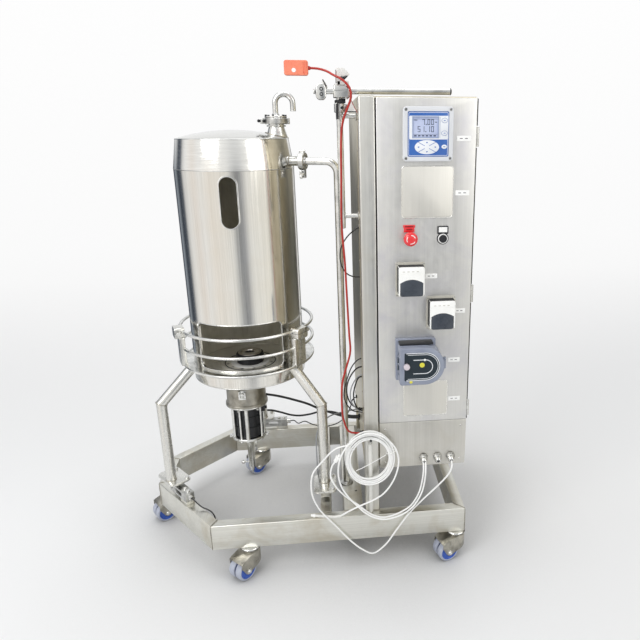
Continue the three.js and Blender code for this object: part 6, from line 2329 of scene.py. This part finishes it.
def roller_head(x, z, radius, front, rear, rollers):
    size = radius * 0.27
    reach = radius - size
    parts = [rod("y", radius * 0.8, y, y + 3, x, z, 48, 0.5) for y in (front, rear - 3)]
    for k in range(rollers):
        angle = 2 * math.pi * k / rollers
        rx, rz = x + reach * math.cos(angle), z + reach * math.sin(angle)
        parts.append(rod("y", size, front + 1, rear - 1, rx, rz, 28, 0.4))
    return merged(*parts)


def make_small_pump(number, x, centre):
    rear = FRONT - GAP
    front = rear - 40
    name = "pump_%d_" % number
    back = rounded_sheet(x - 48.5, x + 48.5, centre - 57, centre + 57, 4, rear - 4, rear, 0.6)
    pump_part(name + "plate", back, "beige_plastic")
    half = 37.5
    arch_top, arch_bottom = centre + 8, centre - 45
    low = arch_bottom - 1

    def arch(grow, floor, corner=0):
        wide = half + grow
        if corner:
            outline = []
            for side, degrees in [(-1, 15 * k) for k in range(6, -1, -1)] + [(1, 15 * k) for k in range(7)]:
                down, across = polar(corner, degrees)
                outline.append((x + side * (wide - corner + across), floor + corner - down))
        else:
            outline = [(x - wide, floor), (x + wide, floor)]
        steps = 24
        for k in range(steps + 1):
            t = k / steps
            px = x + wide * (1 - 2 * t)
            pz = (1 - t) ** 2 * (arch_top - 12) + 2 * t * (1 - t) * (
                arch_top + 12 + grow
            ) + t * t * (arch_top - 12)
            outline.append((px, pz))
        return outline

    body = rounded_sheet(x - 42.5, x + 42.5, centre - 49, centre + 49, 8, front, rear - 3, 2.2)
    housing = cut(
        body,
        prism(arch(0.6, centre - 60), "y", front - 3, front + 9.6),
        rod("y", 24, front - 1, front + 30, x, centre - 16, 56, 0),
        block(x - 60, x + 60, front + 3, front + 4.2, centre + 26, centre + 27.4),
        block(x - 60, x + 60, front - 3, front + 1.1, centre + 25.8, centre + 27.6),
    )
    pump_part(name + "housing", housing, "cream_plastic", stands_for="pump_body_%d" % number)
    motor = merged(
        rod("y", 20, rear - 1, FRONT + 58, x, centre, 48, 1.2),
        rod("y", 16, FRONT + 57, FRONT + 61, x, centre, 40, 0.8),
    )
    pump_part(name + "motor", motor, "black_metal")
    screws = [
        rod("y", 2.6, rear - 5, rear - 3.8, x + sx * 44.6, centre + sz * 52.5, 20, 0.4)
        for sx in (-1, 1)
        for sz in (-1, 1)
    ]
    pump_part(name + "screws", merged(*screws), "cast_steel")
    grooves = [
        block(x - 30 + 15 * k, x - 22 + 15 * k, front - 0.2, front + 1.4, centre + 33, centre + 35.4, 0.3, 1)
        for k in range(4)
    ]
    grooves.append(block(x - 42.7, x + 42.7, front + 12, front + 13.6, centre + 18, centre + 19.6))
    pump_part(name + "grooves", merged(*grooves), "beige_plastic")
    edge = merged(
        block(x - 41, x + 41, front + 5, rear - 4, centre + 48.6, centre + 50.2, 0.5, 1),
        block(x - 43.6, x - 42.2, front + 6, rear - 4, centre - 40, centre + 46, 0.5, 1),
    )
    pump_part(name + "joint", edge, "black_rubber")
    pin = merged(
        rod("x", 1.6, x - half - 1.6, x + half + 1.6, front + 5, low, 20, 0.2),
        *[
            block(
                x + side * 39.6 - 1.5, x + side * 39.6 + 1.5, front + 1, front + 12, centre - 49, low + 5,
                0.6, 2,
            )
            for side in (-1, 1)
        ],
    )
    pump_part(name + "pin", pin, "beige_plastic")
    cover = prism(arch(0.4, low - 2.6, 8), "y", front - 0.4, front + 9, 1.8, 3, 40)
    cover = cut(cover, rod("x", 2.0, x - 60, x + 60, front + 5, low, 20, 0))
    piece(
        name + "flap",
        cover,
        "slate_plastic",
        "flap_%d" % number,
        "flap_slate",
        stands_for="pump_flap_%d" % number,
    )
    barrel = rod("x", 3.6, x - half + 6, x + half - 6, front + 5, low, 28, 0.4, 1.95)
    outline = [(x - 20, centre - 36), (x + 20, centre - 36), (x + 17, centre - 32), (x - 17, centre - 32)]
    lip = prism(outline, "y", front - 1.3, front + 0.4, 0.5, 1)
    piece(name + "flap_parts", merged(barrel, lip), "slate_plastic", "flap_%d" % number, "flap_slate")
    head = merged(
        roller_head(x, centre - 16, 23, front + 10.2, front + 29, 3),
        rod("y", 4, front + 11, front + 35, x, centre - 16, 28, 0.3),
    )
    piece(
        name + "rollers",
        head,
        "bright_steel",
        "rotor_%d" % number,
        "roller_steel",
        stands_for="pump_rotor_%d" % number,
    )


def make_large_pump():
    x, z = BIG_PUMP
    rear = FRONT - GAP
    front = rear - 90
    split = front + 26
    left, right, half = x - 75, x + 75, 65

    def outline(inset, corner=8):
        radius = half - inset
        points = []
        for k in range(41):
            dx, dz = polar(radius, -90 + 180 * k / 40)
            points.append((right - half + dx, z + dz))
        for cx, cz, start in (
            (left + inset + corner, z + radius - corner, 90),
            (left + inset + corner, z - radius + corner, 180),
        ):
            for k in range(7):
                dx, dz = polar(corner, start + 90 * k / 6)
                points.append((cx + dx, cz + dz))
        return points

    body = prism(outline(0), "y", split + 0.3, rear, 2.5, 3, 40)
    tools = [rod("y", 45.5, split - 1, split + 44, x + 4, z, 72, 0)]
    for middle in (z - 36, z + 36):
        tools.append(block(left - 3, x + 4, split - 1, split + 22, middle - 7, middle + 7))
    big_pump_part("big_pump_body", cut(body, *tools), "pump_grey", stands_for="large_pump_body")
    base = block(left - 6, right - 20, rear - 24, rear, z - half - 7, z + half + 9, 3, 3)
    big_pump_part("big_pump_base", base, "pump_grey")
    roof = block(left + 2, right - 34, rear - 60, rear - 23, z + half + 0.4, z + half + 8, 2.5, 2)
    big_pump_part("big_pump_hood", roof, "black_plastic")
    motor = merged(
        rod("y", 32, rear - 1, FRONT + 84, x, z, 64, 1.5), rod("y", 26, FRONT + 83, FRONT + 90, x, z, 48, 1.0)
    )
    big_pump_part("big_pump_motor", motor, "black_metal")
    pin_x, pin_y = right + 5, split + 4
    eyes = []
    for low in (-20, 12):
        eyes.append(rod("z", 4.5, z + low, z + low + 8, pin_x, pin_y, 28, 0.5))
        eyes.append(block(right - 6, pin_x, pin_y - 2, pin_y + 4, z + low, z + low + 8, 0.6, 1))
    eyes.append(rod("z", 1.8, z - 20, z + 20, pin_x, pin_y, 20, 0.2))
    big_pump_part("big_pump_eyes", merged(*eyes), "pump_grey")
    latches = [
        block(left - 5, left + 1, split + 1, split + 16, z + dz - 8, z + dz + 8, 1.2, 2) for dz in (-12, 14)
    ]
    big_pump_part("big_pump_latches", merged(*latches), "pump_dark")
    shell = prism(outline(0), "y", front, split, 3.5, 3, 40)
    window_tool = prism(outline(15, 5), "y", front - 2, front + 3)
    cover = cut(shell, window_tool, block(right - 18, right + 9, split, split + 20, z - 14, z + 14))
    big_cover_part("big_pump_cover", cover, "pump_grey", stands_for="large_pump_cover")
    pane = prism(outline(15.4, 4.6), "y", front + 0.9, front + 3.4, 0.5, 1)
    big_cover_part("big_pump_pane", pane, "pump_pane")
    lines = []
    for inset, size in ((17, 1.5), (22.5, 1.0), (41, 1.5)):
        path = [Vector((px, front + 1.0, pz)) for px, pz in outline(inset, 5)]
        path = path[:41]
        path.insert(0, Vector((left + inset + 4, front + 1.0, z - half + inset)))
        path.append(Vector((left + inset + 4, front + 1.0, z + half - inset)))
        lines.append(tube(path, size, 8))
    big_cover_part("big_pump_track", merged(*lines), "track_grey", angle=60)
    big_cover_part("big_pump_dot", oval(x - 1, z + 6, 17, 17, front + 0.1, front + 1.4), "yellow_dot")
    small = oval(left + 37, z - half + 12, 11, 9, front - 0.6, front + 0.6, 0.3)
    big_cover_part("big_pump_mark", small, "yellow_dot")
    knob = lathe([(0, 0), (9, 0), (10, 1), (10, 10.4), (8.4, 12), (0, 12)], 40, closed=False)
    big_cover_part("big_pump_knob", moved(knob, facing_front(left + 22, front + 0.2, z + 4)), "knob_pale")
    stud = oval(x + 8, z + 24, 8, 8, front + 0.1, front + 1.4, 0.4)
    big_cover_part("big_pump_stud", stud, "label_white")
    strap = merged(
        rod("z", 4.5, z - 11.4, z + 11.4, pin_x, pin_y, 28, 0.5, 2.15),
        block(right - 14, pin_x - 2.4, split - 4, pin_y, z - 11.4, z + 11.4, 0.8, 2),
    )
    big_cover_part("big_pump_strap", strap, "pump_grey")
    head = merged(
        roller_head(x + 4, z, 44, split + 1.5, split + 42, 4),
        rod("y", 4, split + 2, split + 50, x + 4, z, 28, 0.3),
    )
    piece(
        "big_pump_rollers", head, "bright_steel", "large_rotor", "roller_steel", stands_for="large_pump_rotor"
    )


make_cabinet()
make_door()
make_sill()
make_transmitter()
make_stop()
make_button()
for pump_number, pump_spot in enumerate(PUMPS, 1):
    make_small_pump(pump_number, *pump_spot)
make_large_pump()

# ---- pole, rods, clamps and hook ----

POLE_TOP = CABINET_TOP + 79
POLE_BOTTOM = CABINET_TOP - 407
ARMS = (POLE_BOTTOM + 40, CABINET_TOP - 56)
ROD_Y = POLE.y - 22


def make_pole():
    x, y = POLE.x, POLE.y
    stem = rod("z", 10, POLE_BOTTOM, POLE_TOP, x, y, 40, 2.0)
    arms, feet = [], []
    for z in ARMS:
        arms.append(rod("x", 7, x, CABINET_LEFT - 0.3, y, z, 32, 0.3))
        feet.append(rod("x", 14, CABINET_LEFT - 4.3, CABINET_LEFT - 0.3, y, z, 40, 1.0))
        feet.append(shifted(turned(ring(10.4, 1.6, 40, 10), 90, "Y"), x + 9.2, y, z))
    polished_part("pole_stem", merged(stem, *arms), "bright_steel", stands_for="pole")
    polished_part("pole_feet", merged(*feet), "cast_steel")
    low = ARMS[1] + 10
    collar = merged(
        rod("z", 17, low, low + 28, x, y, 40, 2.4, 10.3),
        block(x - 4, x + 27, y - 9, y + 9, low + 3, low + 25, 1.6, 2),
    )
    polished_part("pole_collar", collar, "bright_steel")
    dark = merged(
        rod("z", 14.5, low + 28.2, low + 37, x, y, 32, 1.2, 10.3),
        block(x - 2, x + 19, y - 18, y - 8, low + 27, low + 41, 1.5, 2),
        rod("y", 4.4, y - 18.5, y - 13, x + 8, low + 14, 24, 0.8),
    )
    black_part("pole_collar_screw", dark, "black_plastic")
    grip = rod("y", 4.2, y - 23, y - 12, x - 7, low + 22, 24, 1.0)
    lever_line = [
        Vector((x - 7, y - 20, low + 22)),
        Vector((x - 8, y - 23, low + 12)),
        Vector((x - 8, y - 24, low - 20)),
    ]
    lever = tube(smooth_line(lever_line, 4), 4)
    black_part("pole_lever", merged(grip, lever), "black_plastic")
    # Clip at the top of the pole: an upright jaw and a wedge with a dark underside.
    jaw = block(x - 6, x + 5, y - 28, y - 12, POLE_TOP - 46, POLE_TOP + 2.5, 1.5, 2)
    wedge = prism(
        [
            (x + 2, POLE_TOP - 22), (x + 2, POLE_TOP + 2.5), (x + 16, POLE_TOP + 2.5),
            (x + 33, POLE_TOP - 15), (x + 30, POLE_TOP - 19),
        ],
        "y",
        y - 28,
        y - 6,
        1.4,
        2,
        20,
    )
    bridge = block(x - 6, x + 30, y - 28, y + 10, POLE_TOP - 46, POLE_TOP - 34, 1.6, 2)
    clip_part("pole_clip", merged(jaw, wedge, bridge), "clip_white")
    # A black block fills the space between the wedge and the bridge below it.
    under = [
        (x + 5.4, POLE_TOP - 33.4), (x + 5.4, POLE_TOP - 24), (x + 28, POLE_TOP - 20.2),
        (x + 16, POLE_TOP - 32), (x + 19, POLE_TOP - 33.4),
    ]
    black_part("pole_clip_underside", prism(under, "y", y - 26, y - 8, 1.0, 1, 20), "black_rubber")


def make_rods():
    x, y = POLE.x, POLE.y
    z = ROD_HEIGHT
    body = prism(rounded(x - 18, x + 32, y - 40, y + 18, 6, 6), "z", z - 19, z + 15, 2.2, 3, 60)
    boss = cut(
        body,
        rod("z", 10.3, z - 60, z + 60, x, y, 48, 0),
        rod("x", 9.8, x - 60, x + 60, ROD_Y, z, 48, 0),
        block(x - 30, x + 50, y - 50, y - 32, z - 1.2, z + 1.2),
    )
    polished_part("boss_block", boss, "bright_steel", stands_for="boss_head")
    screws = [hexagon("z", 11, z + 15.2, z + 20, x + dx, y - 31, 0.8) for dx in (-8, 22)]
    screws.append(hexagon("z", 10, z - 24, z - 19.2, x + 22, y - 31, 0.8))
    polished_part("boss_screws", merged(*screws), "cast_steel")
    start, end = 99, 517
    bar = rod("x", 9.5, start, end, ROD_Y, z, 48, 1.6)
    rod_part("cross_bar", bar, "bright_steel", stands_for="cross_rod")
    rod_black_part("bar_caps", rod("x", 10.2, end - 5, end - 1.5, ROD_Y, z, 40, 0.8, 9.4), "black_plastic")
    clamp = prism(
        [
            (start - 2, z - 18),
            (start + 6, z - 26),
            (start + 22, z - 26),
            (start + 29, z - 18),
            (start + 29, z + 10),
            (start + 22, z + 22),
            (start + 2, z + 18),
            (start - 2, z + 12),
        ],
        "y",
        ROD_Y - 17,
        ROD_Y + 17,
        3.2,
        3,
        20,
    )
    rod_part("end_clamp", clamp, "bright_steel")
    eyes = [rod("y", 5.6, ROD_Y - 18.6, ROD_Y - 16.6, start + 15, z + dz, 32, 0.5, 3.2) for dz in (5, -10)]
    eyes.append(block(start - 2.6, start + 0.6, ROD_Y - 12, ROD_Y + 12, z - 12, z + 7, 0.8, 2))
    rod_black_part("end_clamp_eyes", merged(*eyes), "black_metal")
    bolt = merged(
        rod("x", 3.5, start - 7, start + 2, ROD_Y, z - 2, 24, 0.8),
        hexagon("x", 13, start - 9, start - 3, ROD_Y, z - 2, 1.0),
    )
    rod_part("end_clamp_bolt", bolt, "cast_steel")
    knob = prism(
        [
            (start + 14, z + 12), (start + 20, z + 31), (start + 28, z + 25), (start + 34, z + 14),
            (start + 34, z + 9.8), (start + 24, z + 9.8),
        ],
        "y",
        ROD_Y - 8,
        ROD_Y + 8,
        2.0,
        2,
        20,
    )
    piece("end_clamp_wing", knob, "clip_white", "cross_rod", "instrument_grey")
    # Painted shade: a black block through the wing knob stands for the shade in its slit.
    slit_shade = moved(
        block(-1.7, 1.7, -8.8, 8.8, -11.5, 11.5, 0.6, 1),
        Matrix.Translation((start + 25.5, ROD_Y, z + 22)) @ Matrix.Rotation(math.radians(-28), 4, "Y"),
    )
    rod_black_part("end_clamp_slit_shade", slit_shade, "black_plastic")
    # A small hang tag on a wire loop beside the cable.
    tag = prism(
        [(188, z - 62), (221, z - 62), (205, z - 30), (201, z - 30)],
        "y",
        POLE.y - 26,
        POLE.y - 24.4,
        0.5,
        1,
        20,
    )
    clip_part("hang_tag", tag, "label_white")
    strip = block(190, 219, POLE.y - 26.6, POLE.y - 26.0, z - 61, z - 58.4, 0.2, 1)
    black_part("hang_tag_rule", strip, "black_plastic")
    loop = tube(
        [
            Vector((188, POLE.y - 25, z - 60)),
            Vector((201, POLE.y - 27, z - 31)),
            Vector((203, POLE.y - 28, z - 19.3)),
            Vector((206, POLE.y - 27, z - 31)),
            Vector((222, POLE.y - 25, z - 64)),
        ],
        0.9,
        8,
    )
    piece("hang_tag_wire", loop, "red_rubber", "machine", "cable_red")


def make_hook():
    x, y = 240, FRAME_FRONT + 15
    top = COIL.z + 64 * COIL_STRETCH - 1 - 4
    bend = 14
    line = [Vector((x, y, FRAME_TOP + GAP)), Vector((x, y, top - bend - 1))]
    for degrees in range(0, 91, 9):
        back, up = polar(bend, degrees)
        line.append(Vector((x, y - bend + back, top - bend + up)))
    line += [
        Vector((x, COIL.y - 11.5, top)),
        Vector((x, COIL.y - 17, top + 1.5)),
        Vector((x, COIL.y - 21, top + 5)),
        Vector((x, COIL.y - 23, top + 11)),
    ]
    polished_part("coil_hook", tube(line, 4, 20), "bright_steel", angle=60, stands_for="hook_rod")
    black_part("hook_tip", ball(4.6, x, COIL.y - 23, top + 12), "black_rubber")
    sleeve = lathe(
        [
            (4.1, FRAME_TOP + 8), (6.6, FRAME_TOP + 8), (7.2, FRAME_TOP + 9), (7.2, top - 24),
            (6.2, top - 20), (4.1, top - 19),
        ],
        36,
    )
    polished_part("hook_sleeve", shifted(sleeve, x, y, 0), "sleeve_white")
    brushed_part("hook_foot_weld", shifted(ring(4.4, 1.5, 32, 10), x, y, FRAME_TOP + 1.2), "weld_steel")


# ---- cords ----


def cord(name, line, radius, finish, slot, stands_for=()):
    made = piece(name, tube(line, radius, 16), finish, "machine", slot, 60)
    if stands_for:
        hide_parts(*stands_for)


def hose(name, line, stands_for=()):
    cord(name, line, TUBE_R, "tube_white", "tube_white", stands_for)


def lead(name, line, radius, finish="black_cable"):
    cord(name, line, radius, finish, "black_plastic")


def at_end_of(shape, line):
    """Puts a shape drawn along z on the end of a line."""
    way = (line[-1] - line[-2]).normalized()
    turn = Vector((0, 0, 1)).rotation_difference(way).to_matrix().to_4x4()
    return moved(shape, Matrix.Translation(line[-1]) @ turn)


def make_plug():
    x, y, z = PLUG
    body = prism(rounded(x + 1, x + 73, z - 21.5, z + 21.5, 7, 8), "y", y - 10, y + 10, 2.4, 3, 40)
    grooves = [block(x + 58 + 5 * k, x + 60 + 5 * k, y - 11, y - 8.8, z - 16, z + 16) for k in range(3)]
    grooves.append(block(x + 58, x + 64, y - 11, y - 7.5, z - 17, z - 11))
    shell = plug_part("plug_body", cut(body, *grooves), "orange_plastic", angle=40, stands_for="orange_plug")
    nose = lathe([(3.6, -8), (6.6, -8), (7, -6), (5.4, 6), (4.4, 7), (3.6, 7)], 32)
    relief = plug_part("plug_relief", moved(nose, Matrix.Translation((x + 73, y, z)) @ Z_TO_X), "red_rubber")
    dot = clip_part("plug_dot", rod("y", 6.2, y - 11.2, y - 9.6, x + 30, z - 7, 40, 0.6), "label_white")
    rim = plug_part(
        "plug_seam",
        prism(rounded(x + 0.6, x + 73.4, z - 21.9, z + 21.9, 7.2, 8), "y", y - 0.5, y + 0.5),
        "red_rubber",
    )
    return [shell, relief, dot, rim]


def make_cords():
    plug = make_plug()
    cord(
        "red_lead", list(reversed(red_line)), CABLE_R, "red_rubber", "cable_red",
        ("red_cable",),
    )
    hose("white_hose", white_line, ("white_tube", "tube_coil"))
    fitting = merged(
        rod("z", 7.5, -3, 12, 0, 0, 32, 1.4, 3.1),
        hexagon("z", 19, 11, 20, 0, 0, 1.0),
        rod("z", 5.5, 19.5, 30, 0, 0, 32, 1.2, 2.6),
    )
    fitting = hose_part("tube_fitting", at_end_of(fitting, second_line), "label_white")
    hose("second_hose", second_line)
    sleeve = hose_part("hose_sleeve", tube(sleeve_line, 5.2, 24), "sleeve_white", angle=60)
    tip = merged(rod("z", 6.6, -2, 7, 0, 0, 32, 1.2, 3.0), rod("z", 4.6, 6, 15, 0, 0, 32, 1.2, 2.4))
    tip = hose_part("sleeve_tip", at_end_of(tip, sleeve_line), "label_white")
    hose("third_hose", third_line)
    tie = [
        Vector((186.3, COIL.y - 15.4, 409.7)),
        Vector((205, COIL.y - 16.2, 418.6)),
        Vector((236, COIL.y - 16.8, 434.5)),
        Vector((268, COIL.y - 16.2, 451.8)),
        Vector((293.2, COIL.y - 15.4, 466)),
    ]
    wraps = []
    for angle in (146, 14):
        a = math.radians(angle)
        centre = Vector((COIL.x + 78 * math.cos(a), COIL.y, COIL.z + COIL_STRETCH * 78 * math.sin(a)))
        across = Vector((math.cos(a), 0, COIL_STRETCH * math.sin(a))).normalized()
        outline = []
        for k in range(49):
            b = 2 * math.pi * k / 48
            reach = across * (17.5 * math.cos(b))
            outline.append(centre + reach + Vector((0, 12.8 * math.sin(b), 0)))
        wraps.append(tube(outline, 1.3, 8, False))
    hose_part("coil_ties", merged(*wraps), "label_white", angle=60)
    hose_part("coil_string", tube(smooth_line(tie, 6), 1.3, 10), "tube_white", angle=60)


rear_cell = LEGS["rear"].cell
REAR_SOCKET = Vector((rear_cell.x + 121, rear_cell.y, FRAME_TOP + 31.3))


def make_black_leads():
    side = CABINET_LEFT + 1
    loop = smooth_line(
        [
            (side, -240, 1247), (210, -244, 1240), (186, -252, 1222), (164, -262, 1192), (156, -268, 1160),
            (160, -266, 1124), (178, -256, 1092), (203, -245, 1078), (side, -240, 1076),
        ],
        8,
    )
    lead("pole_lead", loop, 2.2)
    rows = [
        (
            "lead_a",
            2.6,
            [
                (side, -250, 748), (206, -252, 744), (184, -262, 724), (168, -268, 690), (166, -268, 650),
                (178, -262, 612), (200, -254, 588), (side, -250, 582),
            ],
        ),
        (
            "lead_b",
            2.2,
            [
                (side, -262, 722), (208, -263, 716), (190, -268, 694), (178, -272, 660), (180, -272, 624),
                (194, -266, 596), (210, -262, 578), (side, -260, 574),
            ],
        ),
        (
            "lead_c",
            2.6,
            [
                (side, -236, 704), (210, -238, 700), (198, -244, 676), (190, -250, 640), (194, -248, 604),
                (206, -242, 578), (side, -238, 568),
            ],
        ),
        (
            "lead_d",
            2.2,
            [
                (side, -224, 770), (208, -226, 764), (186, -236, 742), (170, -246, 706), (158, -254, 668),
                (156, -256, 632), (166, -252, 600), (186, -242, 572), (208, -232, 560), (side, -228, 556),
            ],
        ),
    ]
    for name, radius, line in rows:
        lead(name, smooth_line(line, 7), radius, finish="grey_cable" if name == "lead_b" else "black_cable")
    # Four leads run to the cabinet's left wall: two from the drive and one each from two weighing cells.
    grommets = []
    drive_leads = [
        (
            "drive_lead",
            4.6,
            [
                (-152, -12, 553), (-140, -8, 548), (-124, -4, 543), (-85, 5, 528), (-31, 20, 502),
                (12, 30, 480), (60, 38, 450), (105, 34, 433), (150, 16, 424), (190, 4, 420), (side, 0, 420),
            ],
        ),
        (
            "motor_lead",
            3.8,
            [
                (-147, -29, 490), (-140, -26, 488), (-130, -20, 484), (-93, -2, 463), (-58, 10, 444),
                (-23, 20, 434), (18, 28, 434), (60, 26, 444), (105, 8, 450), (150, -16, 448), (190, -28, 444),
                (side, -30, 444),
            ],
        ),
        (
            "right_cell_lead",
            2.6,
            [
                (74, -116, 243), (74, -104, 243), (69, -97, 250), (58, -110, 262), (50, -160, 276),
                (47, -205, 292), (47, -228, 320), (47, -236, 370), (47, -236, 420), (49, -226, 468),
                (66, -196, 500), (98, -160, 512), (150, -104, 500), (190, -70, 490), (side, -60, 488),
            ],
        ),
        (
            "rear_cell_lead",
            2.4,
            [
                (REAR_SOCKET.x, REAR_SOCKET.y, REAR_SOCKET.z),
                (REAR_SOCKET.x + 14, REAR_SOCKET.y, REAR_SOCKET.z + 2), (-48, 312, 250), (-20, 306, 262),
                (18, 300, 246), (70, 288, 240), (124, 262, 262), (166, 228, 310), (190, 206, 366),
                (204, 200, 412), (side, 200, 424),
            ],
        ),
    ]
    left = LEGS["left"]
    along = turned_at(left.cell.x, left.cell.y, FRAME_TOP + GAP, left.turn)
    short = smooth_line(
        [
            tuple(along @ Vector(point))
            for point in (
                (121, 0, 31), (132, 1, 30), (148, 6, 20), (166, 14, 9), (184, 24, 3.5), (198, 33, -6),
                (206, 38, -22), (208, 40, -44),
            )
        ],
        6,
    )
    lead("left_cell_lead", short, 2.4)
    for name, radius, line in drive_leads:
        lead(
            name,
            smooth_line(line, 9),
            radius,
            "grey_cable" if name == "right_cell_lead" else "black_cable",
        )
        y, z = line[-1][1:]
        grommets.append(rod("x", radius + 5, side - 7, side, y, z, 32, 1.2, radius + 0.2))
    black_part("lead_grommets", merged(*grommets), "black_rubber")


make_pole()
make_rods()
make_hook()
make_cords()
make_black_leads()
